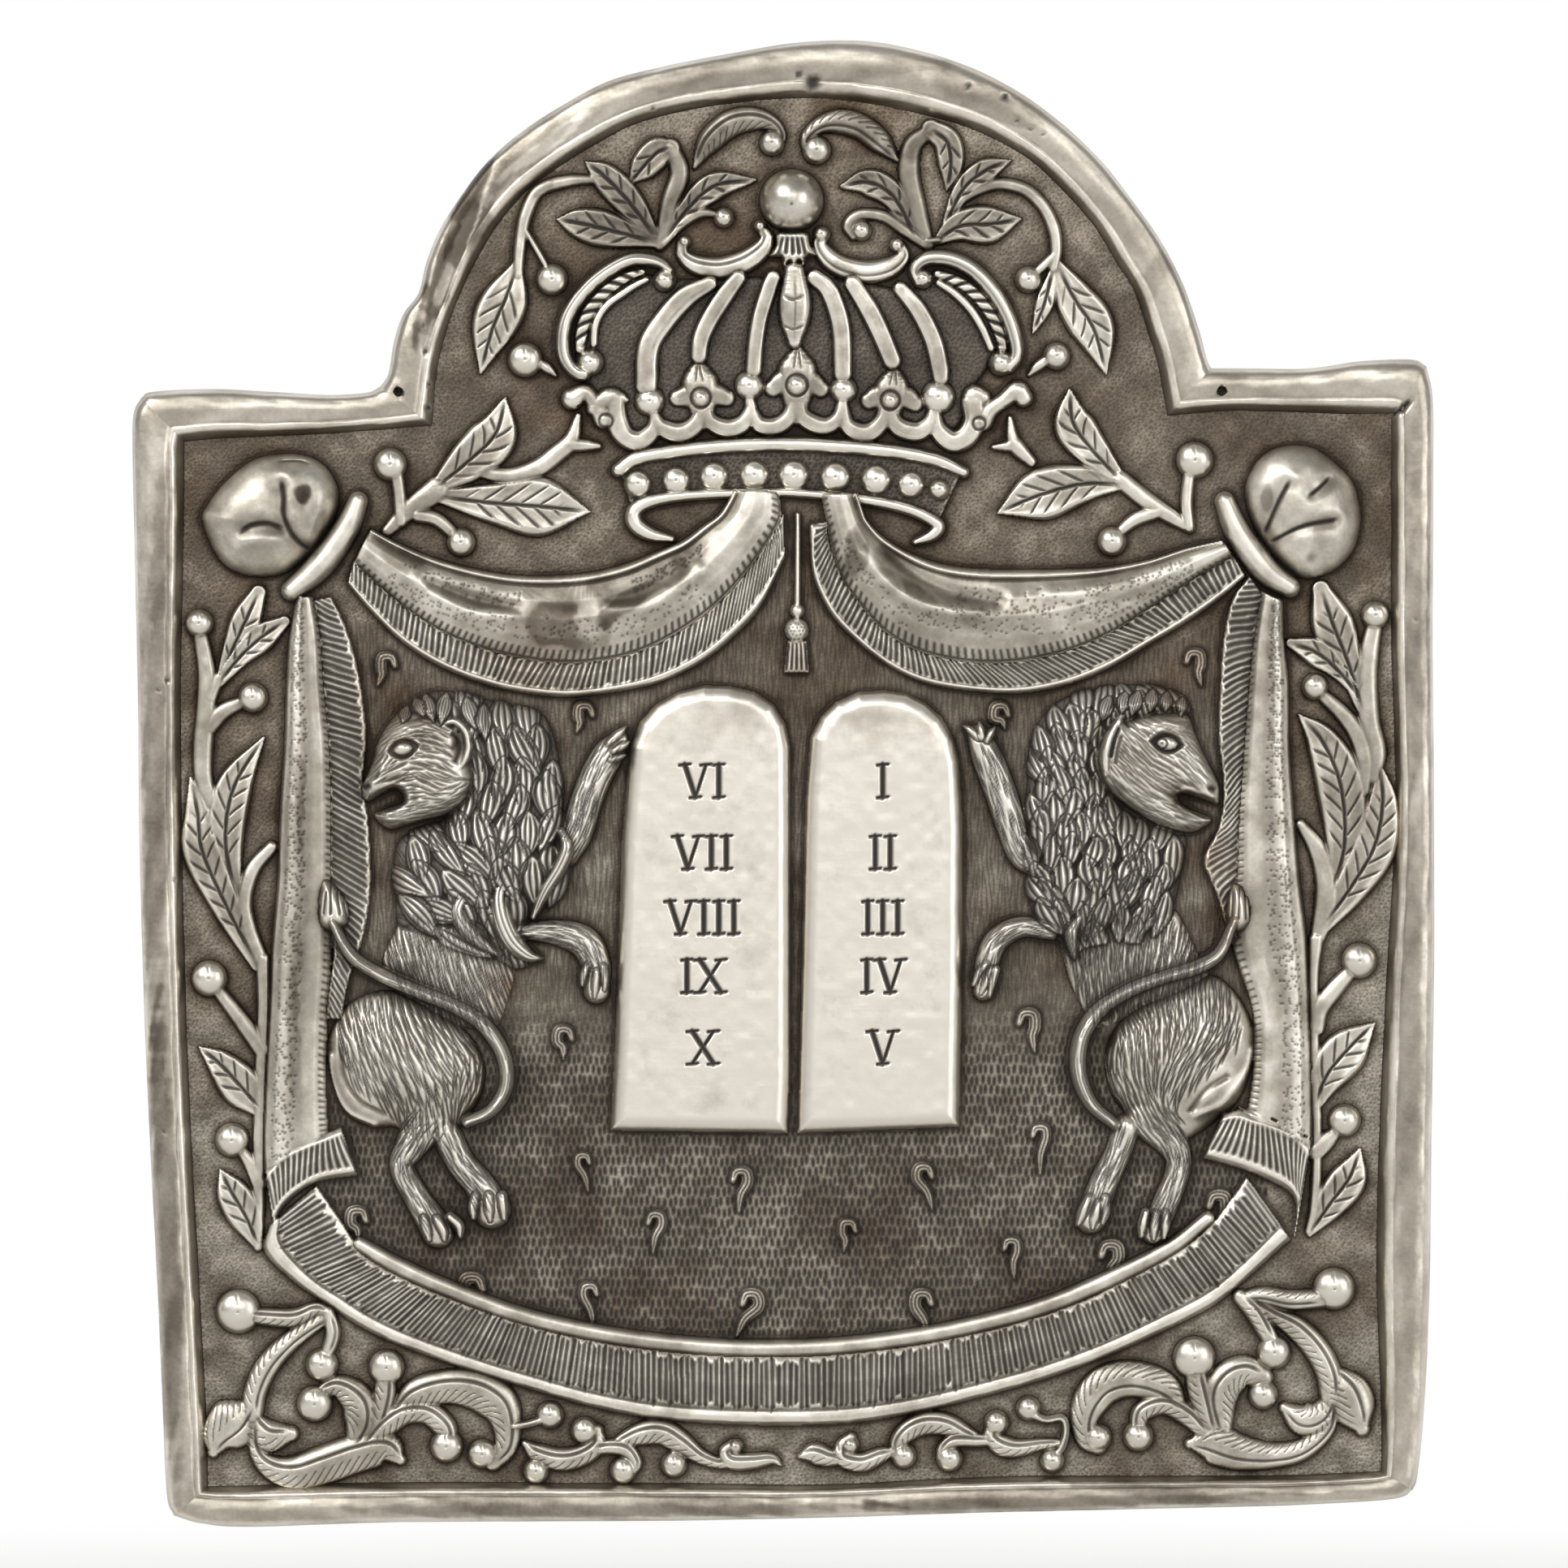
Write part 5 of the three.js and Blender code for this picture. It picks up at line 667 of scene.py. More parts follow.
             [-.0646, .0555, .004], [-.05, .05, .003], [-.04, .0505, .003]],
            [[-.0385, .064, .003], [-.0446, .0585, .0032], [-.0386, .0515, .0045], [-.0226, .0515, .0042],
             [-.0086, .053, .003], [-.0016, .0485, .001]]],
        "berries": [[-.1528, .075, .009], [-.19, .044, .0085], [-.1227, .0445, .009],
            [-.0837, .049, .0088], [-.0362, .063, .005]],
        "stems": [[[-.084, .052, .003], [-.082, .064, .003]], [[-.1895, .046, .003], [-.188, .057, .003]]],
    },
    "base_scroll_right": {
        "scrolls": [
            [[.013, .055, .0015], [.0235, .0575, .0055], [.034, .0545, .005], [.045, .0525, .003]],
            [[.0525, .0695, .003], [.0455, .0635, .0035], [.046, .054, .0045], [.0611, .0505, .005],
             [.0755, .056, .004], [.087, .0595, .002]],
            [[.0885, .057, .0035], [.089, .066, .0045], [.097, .075, .0055], [.11, .0805, .006],
             [.1252, .0795, .0058], [.139, .0725, .005], [.151, .0675, .003]],
            [[.122, .0545, .003], [.124, .0615, .0035], [.1325, .0675, .0038], [.1492, .0675, .0035],
             [.161, .0675, .003]],
            [[.1615, .079, .0035], [.1605, .0705, .0042], [.1685, .0635, .0055], [.1813, .0615, .0045],
             [.2, .0645, .003], [.216, .0655, .002]],
            [[.1925, .087, .0022], [.203, .0835, .002], [.215, .0845, .002], [.218, .075, .002],
             [.2145, .062, .0022], [.2085, .055, .002]]],
        "berries": [[.0521, .064, .0058], [.0931, .0555, .0084], [.1282, .0535, .0088],
            [.1643, .0812, .0082], [.1889, .092, .0082], [.2073, .052, .008]],
    },
}


# One spray, garland or scroll: flutes on the broad scrolls, then stems, leaves and berries
def paintFoliage(name, motif):
    low = name.startswith(("corner", "base"))
    high = name.startswith("top")
    for rows in motif.get("scrolls", []):
        path = paintStroke(name, rows, raised["scroll"], grow=1.62 if low else 1.15)
        chase(name, path, 0.35, 0.24, 0.35, 0.75)
        if path.widest > 1.6:
            flute = teeth(path.along - 1.2 * path.side, 1.5, 0.16) * (path.side < -0.15 * path.half)
            flute = flute * (path.share < 0.85) * path.inner(2.5, 2.5)
            engrave(name, path, flute, 0.22, 0.7)
    for rows in motif.get("stems", []):
        paintStroke(name, rows, raised["stem"], grow=1.15 if high else 1.5)
    for rows in motif.get("leaves", []):
        paintLeaf(name, rows, raised["leaf"])
    for spot in motif.get("berries", []):
        across, up, radius = spot
        radius *= 1.2
        paintBerry(name, [across, up, radius], raised["berry"])
        stalk = [[across - radius * .05, up + radius * .75], [across, up + radius * .3]]
        cutLine(name, stalk, 0.15, 0.08, 0.5, 0.1)


for name, motif in foliage.items():
    paintFoliage(name, motif)
print("foliage painted")

# Drapery: knots are outlines, rings and piping rows of across, up and half width, the rest pairs of edges
drapery = {
    "knotLeft": [[-.4473, .775], [-.4425, .7887], [-.429, .806], [-.4079, .8223], [-.3848, .8271],
        [-.3656, .8252], [-.3521, .8175], [-.3435, .804], [-.3415, .7887], [-.3463, .7733],
        [-.3579, .756], [-.3694, .7444], [-.3829, .7348], [-.4002, .7319], [-.4194, .7348],
        [-.4348, .7463]],
    "knotRight": [[.3552, .796], [.3603, .8145], [.372, .8279], [.3905, .8338], [.409, .8313],
        [.4259, .8195], [.4393, .8044], [.4444, .7859], [.4444, .7691], [.4393, .7522], [.4275, .7388],
        [.4107, .7312], [.3973, .7312], [.3872, .7371], [.3737, .7539], [.362, .7707]],
    "ringLeft": [[-.327, .79, .008], [-.3345, .772, .01], [-.348, .751, .0108], [-.361, .736, .0105],
        [-.378, .7215, .0085]],
    "ringRight": [[.34, .79, .008], [.348, .77, .01], [.36, .751, .0108], [.374, .735, .0105],
        [.39, .724, .0085]],
    "swagLeft": [[-.3174, .7675, -.3285, .7455], [-.298, .7575, -.308, .7255],
        [-.272, .7465, -.284, .706], [-.244, .7385, -.256, .689], [-.21, .7325, -.222, .6765],
        [-.178, .7317, -.184, .669], [-.15, .734, -.15, .6685], [-.122, .7405, -.112, .6765],
        [-.098, .75, -.078, .694], [-.077, .759, -.05, .7155], [-.061, .7705, -.026, .7425],
        [-.0502, .778, -.0065, .7725], [-.044, .786, -.004, .785], [-.037, .798, -.006, .797]],
    "swagRight": [[.3385, .7587, .344, .7505], [.31, .7525, .316, .733], [.28, .7435, .287, .714],
        [.245, .738, .254, .6925], [.21, .7365, .218, .677], [.18, .7363, .18, .669],
        [.151, .737, .144, .6685], [.129, .7394, .108, .676], [.11, .7442, .082, .69],
        [.091, .7526, .062, .711], [.076, .7623, .0455, .736], [.0644, .7743, .0365, .7725],
        [.06, .785, .034, .785], [.056, .796, .032, .795]],
    "swagFringeLeft": [[-.3345, .7275, -.3305, .742], [-.3174, .7073, -.309, .723],
        [-.2942, .684, -.285, .7035], [-.2663, .6655, -.2565, .6865], [-.2361, .6527, -.2225, .674],
        [-.2059, .6446, -.185, .6665], [-.165, .6405, -.15, .666], [-.1199, .6458, -.111, .674],
        [-.0897, .6539, -.077, .691], [-.0618, .6678, -.048, .713], [-.0386, .6864, -.024, .7405],
        [-.0176, .7096, -.005, .77], [.001, .747, .0005, .779]],
    "swagFringeRight": [[.3555, .733, .347, .747], [.3334, .7142, .3175, .7305],
        [.3094, .6974, .2885, .7115], [.2854, .6829, .2545, .69], [.25, .662, .2185, .6745],
        [.2133, .6481, .18, .6665], [.172, .6428, .1435, .666], [.1172, .6493, .107, .6735],
        [.0824, .664, .0805, .6875], [.0524, .6877, .0598, .7095], [.0355, .707, .0435, .7345],
        [.0235, .735, .0345, .7605], [.0215, .772, .0335, .774]],
    "curtainLeft": [[-.373, .717, -.366, .7165], [-.379, .683, -.3595, .686], [-.381, .65, -.357, .65],
        [-.3827, .6, -.3522, .6], [-.3861, .55, -.3505, .55], [-.3878, .5, -.3506, .503],
        [-.392, .45, -.351, .455], [-.3942, .4, -.3545, .4], [-.397, .35, -.356, .35],
        [-.399, .3, -.3545, .312], [-.3985, .276, -.353, .3]],
    "hemLeft": [[-.392, .236, -.3975, .273], [-.385, .2485, -.382, .2885], [-.3726, .26, -.366, .2955],
        [-.356, .269, -.352, .301], [-.3285, .2735, -.3395, .3065]],
    "curtainRight": [[.3838, .7135, .372, .719], [.3845, .685, .366, .685], [.3881, .65, .362, .65],
        [.3889, .6, .3578, .6], [.3923, .55, .3536, .55], [.3965, .5, .3523, .504],
        [.4024, .45, .349, .455], [.4041, .4, .3655, .4], [.4058, .35, .3665, .36],
        [.4066, .3, .362, .323], [.406, .292, .354, .322]],
    "hemRight": [[.394, .2265, .4055, .295], [.3957, .2475, .394, .3045], [.3885, .2615, .3771, .312],
        [.3603, .2757, .3603, .3165], [.34, .2824, .3502, .3195], [.325, .2865, .3385, .3165]],
    "curtainFringeLeft": [[-.352, .7155, -.359, .714], [-.34, .69, -.357, .684],
        [-.3305, .655, -.3545, .65], [-.325, .61, -.3502, .605], [-.3275, .575, -.3488, .575],
        [-.3235, .545, -.3483, .545], [-.3215, .505, -.3485, .5075], [-.3225, .485, -.3475, .487],
        [-.325, .468, -.3445, .47], [-.329, .45, -.344, .452], [-.334, .435, -.344, .436],
        [-.339, .42, -.346, .42], [-.342, .405, -.348, .405], [-.344, .392, -.349, .392]],
    "curtainFringeRight": [[.3615, .729, .3685, .719], [.349, .711, .3645, .696],
        [.343, .683, .3625, .67], [.341, .65, .36, .645], [.3395, .61, .3565, .605],
        [.3435, .57, .3538, .57], [.34, .54, .351, .54], [.3285, .515, .3503, .5115],
        [.3325, .5, .35, .496], [.339, .485, .352, .483], [.343, .47, .352, .469],
        [.3475, .456, .352, .455]],
    "mantle": [[-.395, .2325, -.36, .262], [-.398, .213, -.345, .24], [-.3752, .1896, -.325, .211],
        [-.3502, .1723, -.305, .1975], [-.3271, .1569, -.285, .1875], [-.3, .1435, -.265, .179],
        [-.2694, .1319, -.24, .17], [-.231, .1185, -.212, .161], [-.19, .1065, -.18, .1505],
        [-.15, .095, -.145, .143], [-.1, .085, -.1, .136], [-.05, .081, -.05, .1318], [0, .08, 0, .1308],
        [.05, .0815, .05, .1335], [.1, .089, .1, .139], [.15, .101, .145, .148], [.2, .115, .19, .16],
        [.25, .1335, .235, .1745], [.3, .156, .275, .1965], [.33, .1715, .302, .2095],
        [.35, .187, .322, .2235], [.37, .205, .338, .24], [.39, .223, .358, .268]],
    "piping": [[-.3255, .2185, .0045], [-.3, .2035, .0055], [-.262, .186, .0055], [-.2, .1632, .0055],
        [-.13, .1478, .0055], [-.06, .1398, .0055], [0, .1382, .0055], [.06, .1418, .0055],
        [.13, .1525, .0055], [.2, .1705, .0055], [.26, .1958, .0055], [.3, .2172, .005],
        [.327, .2385, .0045]],
}


# A knot of the curtain, with pressed creases and dents
def paintKnot(name, rows, creases, dents):
    paintBoss(name, rows, raised["knot"], power=0.55)
    for line, width, depth in creases:
        furrow(name, line, width * 1.9, -depth)
        furrow(name, np.array(line) + [.004, .006], width * 1.5, depth * 0.35)
        cutLine(name, line, width * 0.42, 0.4, 1.0, 1.2)
    mould(name, dents)


paintKnot("knot_left", drapery["knotLeft"],
          [([[-.417, .7655], [-.4083, .771], [-.3958, .7726], [-.3833, .7685]], 0.8, 0.9),
           ([[-.3856, .806], [-.3833, .7929], [-.3833, .7804], [-.3802, .77], [-.3729, .7596],
             [-.362, .7515]], 0.8, 1.0),
           ([[-.3875, .8205], [-.3729, .821], [-.3635, .8188]], 0.3, 0.2)],
          [[-.3687, .7929, .009, .011, 0, -0.9], [-.356, .78, .01, .022, 0, 0.35],
           [-.418, .795, .022, .016, 30, 0.3], [-.402, .76, .014, .005, 5, 0.5],
           [-.4, .743, .02, .008, 10, 0.25]])
paintKnot("knot_right", drapery["knotRight"],
          [([[.3895, .806], [.38, .788], [.37, .764]], 0.8, 0.9),
           ([[.4265, .776], [.398, .77], [.374, .758]], 0.7, 0.8),
           ([[.421, .809], [.412, .8], [.403, .793]], 0.6, 0.5)],
          [[.371, .79, .012, .008, 60, -0.6], [.4053, .7455, .004, .004, 0, -0.5],
           [.415, .79, .018, .012, 40, 0.3], [.402, .818, .018, .008, 0, 0.25]])
for name, rows in (("tie_ring_left", drapery["ringLeft"]), ("tie_ring_right", drapery["ringRight"])):
    paintStroke(name, rows, raised["ring"], swell=0.15, broad=2.4)

swagLevels = [[0, .7], [.035, 2.5], [.075, 2.9], [.115, 2.1], [.16, 2.3], [.3, 3.3], [.5, 3.8],
    [.72, 3.5], [.88, 2.8], [.97, 2.1], [1, 1.7]]


dotsPerPatch = 60


# A swag: folds are [line, width, rise]; stippled patches are [low, high] across and [start, end] along
def paintSwag(name, rows, folds, stippled):
    strip = paintStrip(name, rows, swagLevels, grow=(0.3, 0.5))
    chaseAlong(name, strip, .115, 0.28, 0.2, 0.55)
    for line, width, rise in folds:
        furrow(name, line, width, rise)
    ticks = teeth(strip.along + strip.across * 3, 1.05, 0.24) * softStep(strip.across, .84, .87)
    ticks = ticks * softStep(1 - strip.across, .02, .035) * strip.inside
    engrave(name, strip, ticks, 0.2, 0.85)
    chaseAlong(name, strip, .975, 0.2, 0.25, 0.8)
    dots = Marks()
    shares = draws.random((len(stippled), dotsPerPatch, 2))
    edge = spline(rows)
    for (low, high, start, end), part in zip(stippled, shares):
        dots.dotsOn(edge, start + (end - start) * part[:, 0], low + (high - low) * part[:, 1:])
    dots.cut(owner == ownerOf(name), 0.12, 0.7)


paintSwag("swag_left", drapery["swagLeft"],
          [([[-.2756, .728], [-.2361, .7143], [-.2036, .7073]], 1.5, -1.0),
           ([[-.1385, .7131], [-.1083, .7212], [-.0781, .7421]], 1.5, -0.9),
           ([[-.285, .733], [-.264, .717], [-.236, .704], [-.204, .703]], 1.1, 0.5),
           ([[-.136, .708], [-.108, .708], [-.085, .719], [-.0618, .74]], 1.1, 0.5),
           ([[-.2, .705], [-.175, .702], [-.15, .7]], 3.0, -0.7)],
          [[.62, .84, .08, .3], [.5, .8, .25, .5], [.6, .85, .5, .75], [.2, .4, .1, .35],
           [.2, .35, .6, .8]])
paintSwag("swag_right", drapery["swagRight"],
          [([[.0764, .7551], [.1004, .7334], [.1316, .719], [.17, .713]], 1.5, -1.0),
           ([[.062, .7526], [.0812, .7262], [.1052, .7118], [.1316, .7058], [.1533, .7058]], 1.1, 0.5),
           ([[.31, .742], [.27, .727], [.23, .72], [.2, .719]], 1.3, 0.4)],
          [[.62, .84, .08, .3], [.45, .8, .25, .45], [.4, .75, .45, .65], [.2, .5, .3, .6],
           [.6, .85, .65, .9], [.25, .5, .1, .3]])


# A band of cloth threads: a plain lip on the outer side and chased strokes inside it
def paintFringe(name, rows, levels, pitch, span, slant=0.0, wobble=0.25, grow=(0.2, 0.4), broad=0.3):
    strip = paintStrip(name, rows, levels, grow=grow)
    inward = strip.across * strip.width
    along = strip.along + slant * inward + wobble * wave(strip.along * 0.9, 3) * strip.across
    low, high = span
    stroke = np.floor(along / pitch + 0.5)
    chance = np.sin(stroke * 12.99 + 4.1) * 43.7 % 1
    other = np.sin(stroke * 78.23 + 1.3) * 29.4 % 1
    threads = teeth(along, pitch, pitch * (broad + 0.14 * chance)) * strip.inside * (0.85 + 0.15 * other)
    uneven = 0.05 * wave(strip.along * 2.3, 5) - 0.09 * other * chance
    threads *= softStep(strip.across + uneven, low, low + .06)
    threads *= softStep(high - strip.across + uneven, 0, .05)
    engrave(name, strip, threads, 0.42, 1)
    return strip


fringeLevels = [[0, .9], [.06, 1.9], [.14, 2.3], [.2, 1.9], [.26, 2.0], [.6, 2.3], [.9, 2.0], [1, 1.4]]
for side in ("Left", "Right"):
    name = "swag_fringe_" + side.lower()
    strip = paintFringe(name, drapery["swagFringe" + side], fringeLevels, 1.02, (.17, .97), 0.12)
    chaseAlong(name, strip, .18, 0.16, 0.15, 0.5)

curtainLevels = [[0, .6], [.05, 1.9], [.2, 2.7], [.5, 2.9], [.8, 2.4], [.95, 1.6], [1, 1.1]]
hemLevels = [[0, 1.4], [.1, 2.6], [.5, 3.1], [.9, 2.7], [1, 1.8]]
for side in ("Left", "Right"):
    name = "curtain_" + side.lower()
    rows = drapery["curtain" + side]
    strip = paintStrip(name, rows, curtainLevels, grow=(0.3, 0.9))
    folds = ridge(strip.across - .5, .13) * -0.5 + ridge(strip.across - .28, .1) * 0.3
    height[strip.window] += np.where((owner[strip.window] == ownerOf(name)) & strip.inside, folds, 0)
    dots = Marks()
    shares = draws.random((520, 2))
    dots.dotsOn(spline(rows), shares[:, 0], .12 + .42 * shares[:, 1:])
    dots.cut(owner == ownerOf(name), 0.13, 0.75)
    ticks = teeth(strip.along - strip.across * 3, 1.15, 0.16) * softStep(strip.across, .86, .9)
    engrave(name, strip, ticks * strip.inside, 0.2, 0.7)
    hem = paintStrip(name, drapery["hem" + side], hemLevels, grow=(0.4, 0.4))
    threads = teeth(hem.along + hem.across * 1.2, 1.05, 0.36) * hem.inside
    threads *= softStep(hem.across, .14, .24) * softStep(1 - hem.across, .1, .2)
    engrave(name, hem, threads, 0.4, 0.95)
    name = "curtain_fringe_" + side.lower()
    lean = 0.5 if side == "Left" else 0.75
    paintFringe(name, drapery["curtainFringe" + side], [[0, 1.2], [.1, 1.7], [.6, 1.9], [.9, 1.5], [1, .9]],
                1.2, (.03, .93), lean, grow=(0.9, 0.5), broad=0.35)

mantleLevels = [[0, .9], [.06, 2.1], [.12, 2.4], [.2, 2.3], [.235, 1.9], [.3, 2.2], [.6, 2.5], [.9, 2.1],
                [1, 1.6]]
strip = paintFringe("mantle_fringe", drapery["mantle"], mantleLevels, 0.92, (.2, .97), broad=0.38)
chaseAlong("mantle_fringe", strip, .225, 0.2, 0.2, 0.6)
paintStroke("mantle_piping", drapery["piping"], raised["piping"], swell=0.2, polish=-0.3, grow=1.3)

# The tassel between the swags
tassel = {
    "cord": [[.0114, .78, .0022], [.0112, .729, .0026], [.011, .7, .0026]],
    "bead": [.011, .706, .0058],
    "knot": [.0106, .6911, .0094],
    "skirt": [[.0035, .683], [.0005, .6577], [.0205, .6577], [.0185, .683]],
}
paintStroke("tassel", tassel["cord"], raised["stem"])
paintBoss("tassel", tassel["skirt"], raised["tassel"] * 0.8, bevel=0.9, smooth=False)
paintBerry("tassel", tassel["knot"], raised["tassel"], dot=False)
paintBerry("tassel", tassel["bead"], raised["tassel"] * 0.8, dot=False)
for i in range(5):
    top = .0045 + i * .0031
    cutLine("tassel", [[top, .681], [.0025 + i * .004, .66]], 0.24, 0.5, 1.0, 0.2)
knotArea = Area([[.0012, .6911], [.0106, .7005], [.02, .6911], [.0106, .6817]], 0.2)
stipple(owner == ownerOf("tassel"), knotArea, 0.72, 0.2, 0.2, 0.2, 0.9)
print("drapery painted")

tablets = {
    "left": [[-.133, .3055], [.004, .3035], [.006, .35], [.006, .6], [.0022, .619], [-.0065, .6339],
        [-.0213, .6438], [-.0412, .6483], [-.061, .6488], [-.0809, .6438], [-.0982, .6339],
        [-.1106, .6202], [-.1181, .6015], [-.1243, .5269], [-.1293, .3778]],
    "right": [[.0109, .3035], [.1362, .3083], [.138, .4151], [.1387, .54], [.1362, .5891], [.1312, .609],
        [.1226, .6239], [.1102, .6351], [.0953, .6426], [.0779, .645], [.058, .6438], [.0407, .6364],
        [.0283, .6239], [.0208, .609], [.0171, .56], [.0139, .4151]],
}
numerals = {"left": ["VI", "VII", "VIII", "IX", "X"], "right": ["I", "II", "III", "IV", "V"]}
numeralRows = [.575, .52, .47, .425, .37]
numeralHalf = .0125
glyphs = {"I": (.006, [(0, 0)]), "V": (.019, [(-1, 0), (1, 0)]), "X": (.019, [(-1, 1), (1, -1)])}


# Engraves one plain numeral, each stroke broad at its ends
def chaseNumeral(name, text, across, up):
    room = .0055
    widths = [glyphs[letter][0] for letter in text]
    left = across - (sum(widths) + room * (len(text) - 1)) / 2
    for letter, width in zip(text, widths):
        middle = left + width / 2
        for top, foot in glyphs[letter][1]:
            reach = width / 2 * 0.86
            a = np.array([middle + top * reach, up + numeralHalf])
            b = np.array([middle + foot * reach, up - numeralHalf])
            path = Path([a, a + (b - a) * 0.5, b], 1.5)
            thick = 0.46 if top <= 0 else 0.3
            line = np.clip(1.25 - (path.distance / thick) ** 2, 0, 1)
            engrave(name, path, line, 0.5, 1)
            for end in (a, b):
                serif = Path([end - [.0042, .0004], end + [.0042, .0004]], 1.0)
                line = np.clip(1.2 - (serif.distance / 0.3) ** 2, 0, 1)
                engrave(name, serif, line, 0.4, 1)
        left += width + room


for side, outline in tablets.items():
    name = "tablet_" + side
    paintBoss(name, outline, raised["tablet"], bevel=2.6, smooth=False)
    low, high = np.array(outline).min(0), np.array(outline).max(0)
    for text, up in zip(numerals[side], numeralRows):
        chaseNumeral(name, text, (low[0] + high[0]) / 2 + .002, up)
print("tablets painted")


# A lock of the mane: leaf shaped, higher towards its tip, so that it lies over the next one's root
def paintLock(name, root, angle, length, half, base, room, rise, bend, grooves):
    spot = Spot(root[0] / plateWidth, root[1] / plateWidth, length * 1.15)
    c, s = math.cos(angle), math.sin(angle)
    t = (spot.dx * c + spot.dz * s) / length
    side = spot.dz * c - spot.dx * s - bend * length * t * t
    within = np.clip(t, 0.001, 0.999)
    wide = half * np.sin(math.pi * within ** 0.85) ** 1.05
    share = np.abs(side) / np.maximum(wide, 0.05)
    inside = (t > 0) & (t < 1) & (share < 1) & room[spot.window]
    body = np.clip(1 - share ** 2.2, 0, 1) ** 0.5
    ends = np.sin(math.pi * within) ** 0.35
    top = base[spot.window] + rise * (0.3 + 0.7 * within) * body * ends
    shade = (t > 0) & (t < 1.02) & (np.abs(np.abs(side) - wide - 0.1) < 0.17) & room[spot.window]
    engrave(name, spot, shade, 0.25, 0.95)
    raiseTo(name, spot, top, inside, 0.3)
    pitch = half * 2 / grooves
    lines = teeth(side / np.maximum(wide, 0.05) * half + half / grooves, pitch, pitch * 0.33)
    lines = lines * inside * (share < 0.9) * softStep(within, 0.05, 0.18) * softStep(1 - within, 0.08, 0.25)
    engrave(name, spot, lines, 0.34, 1)
    rim = ridge((1 - share) * wide, 0.32) * inside
    engrave(name, spot, rim, 0.25, 0.95)


# A mane: a domed ground of hair, then rows of overlapping locks laid from the top down
def paintMane(name, outline, flow, size, spacing, dome):
    area = paintBoss(name, outline, dome, bevel=11, power=0.6)
    engrave(name, area, area.inside, 0.15, 0.75)
    under = Marks()
    hairIn(under, outline, flow, 0.85, 4.5, width=0.2)
    under.cut(owner == ownerOf(name), 0.3, 1.0)
    base = height.copy()
    room = np.zeros(shape, bool)
    room[area.window] = area.depth > -0.35
    spots = scatterIn(area, spacing, 0.22, 0.4, 1.25)
    angles = flowAt(flow, spots)
    length, half = size
    for spot, angle in zip(spots[::-1], angles[::-1]):
        reach = length * draws.uniform(0.85, 1.2)
        turn = angle + draws.uniform(-0.16, 0.16)
        root = spot - np.array([math.cos(turn), math.sin(turn)]) * reach * 0.45
        broad = half * draws.uniform(0.85, 1.15)
        paintLock(name, root, turn, reach, broad, base, room, 1.7, draws.uniform(-0.28, 0.28),
                  int(round(broad * draws.uniform(1.5, 2.0))))


# Hair over an area, along its flow
def hairIn(marks, outline, flow, spacing, length, strength=1.0, width=0.17, depth=0.3):
    area = Area(outline)
    spots = scatterIn(area, spacing, 0.4, depth, 1.5)
    angles = flowAt(flow, spots) + draws.uniform(-0.1, 0.1, len(spots))
    lengths = length * draws.uniform(0.7, 1.3, len(spots))
    marks.strokes(spots[:, 0], spots[:, 1], angles, lengths, width, strength, 0.15)


# Hair along a limb
def hairOn(marks, rows, spacing, length, width=0.15, start=0.0, end=1.0):
    line = spline(rows)
    line = line[int(start * len(line)):max(int(end * len(line)), 4)]
    direction = np.gradient(line[:, :2], axis=0)
    angles = np.arctan2(direction[:, 1], direction[:, 0])
    run = np.hypot(*np.diff(line[:, :2], axis=0).T).sum()
    count = int(run * line[:, 2].mean() * 2 / (spacing * spacing * 1.6))
    at = draws.integers(0, len(line), count)
    side = draws.uniform(-0.86, 0.86, count) * line[at, 2]
    xs = line[at, 0] - np.sin(angles[at]) * side
    zs = line[at, 1] + np.cos(angles[at]) * side
    angles = angles[at] + draws.uniform(-0.12, 0.12, count)
    marks.strokes(xs, zs, angles, length * draws.uniform(0.7, 1.3, count), width)


# An almond eye: a bright ball in a dark ring, under a raised lid
def eye(name, table):
    across, up, long, wide, turn, pupil = table
    area = Spot(across, up, long * plateWidth * 1.6)
    u, v = turned(area.dx, area.dz, long, wide, turn)
    around = np.abs(v) * 0.9 + u * u * 0.8
    here = owner[area.window] == ownerOf(name)
    ball = np.clip(1 - (u / 0.62) ** 2 - (v / 0.66) ** 2, 0, 1) ** 0.5
    cuts[area.window] = np.where(here & (around < 1.1), 0, cuts[area.window])
    ink[area.window] = np.where(here & (around < 1.2), 0, ink[area.window])
    height[area.window] += np.where(here, 0.6 * ball - 0.35 * ridge(around - 0.75, 0.2), 0)
    shine[area.window] = np.where(here & (ball > 0), 0.7, shine[area.window])
    ring = np.clip(1.25 - around, 0, 0.5) * 2 * (ball == 0)
    engrave(name, area, ring, 0.35, 1 if pupil else 0.7)
    height[area.window] += np.where(here, 0.45 * ridge(around - 1.35, 0.18) * (v > -0.2), 0)
    if pupil:
        away = np.hypot(area.dx + pupil[0] * plateWidth, area.dz)
        engrave(name, area, ridge(away - 0.85, 0.25), 0.2, 1)
        engrave(name, area, ridge(away, 0.3), 0.2, 1)


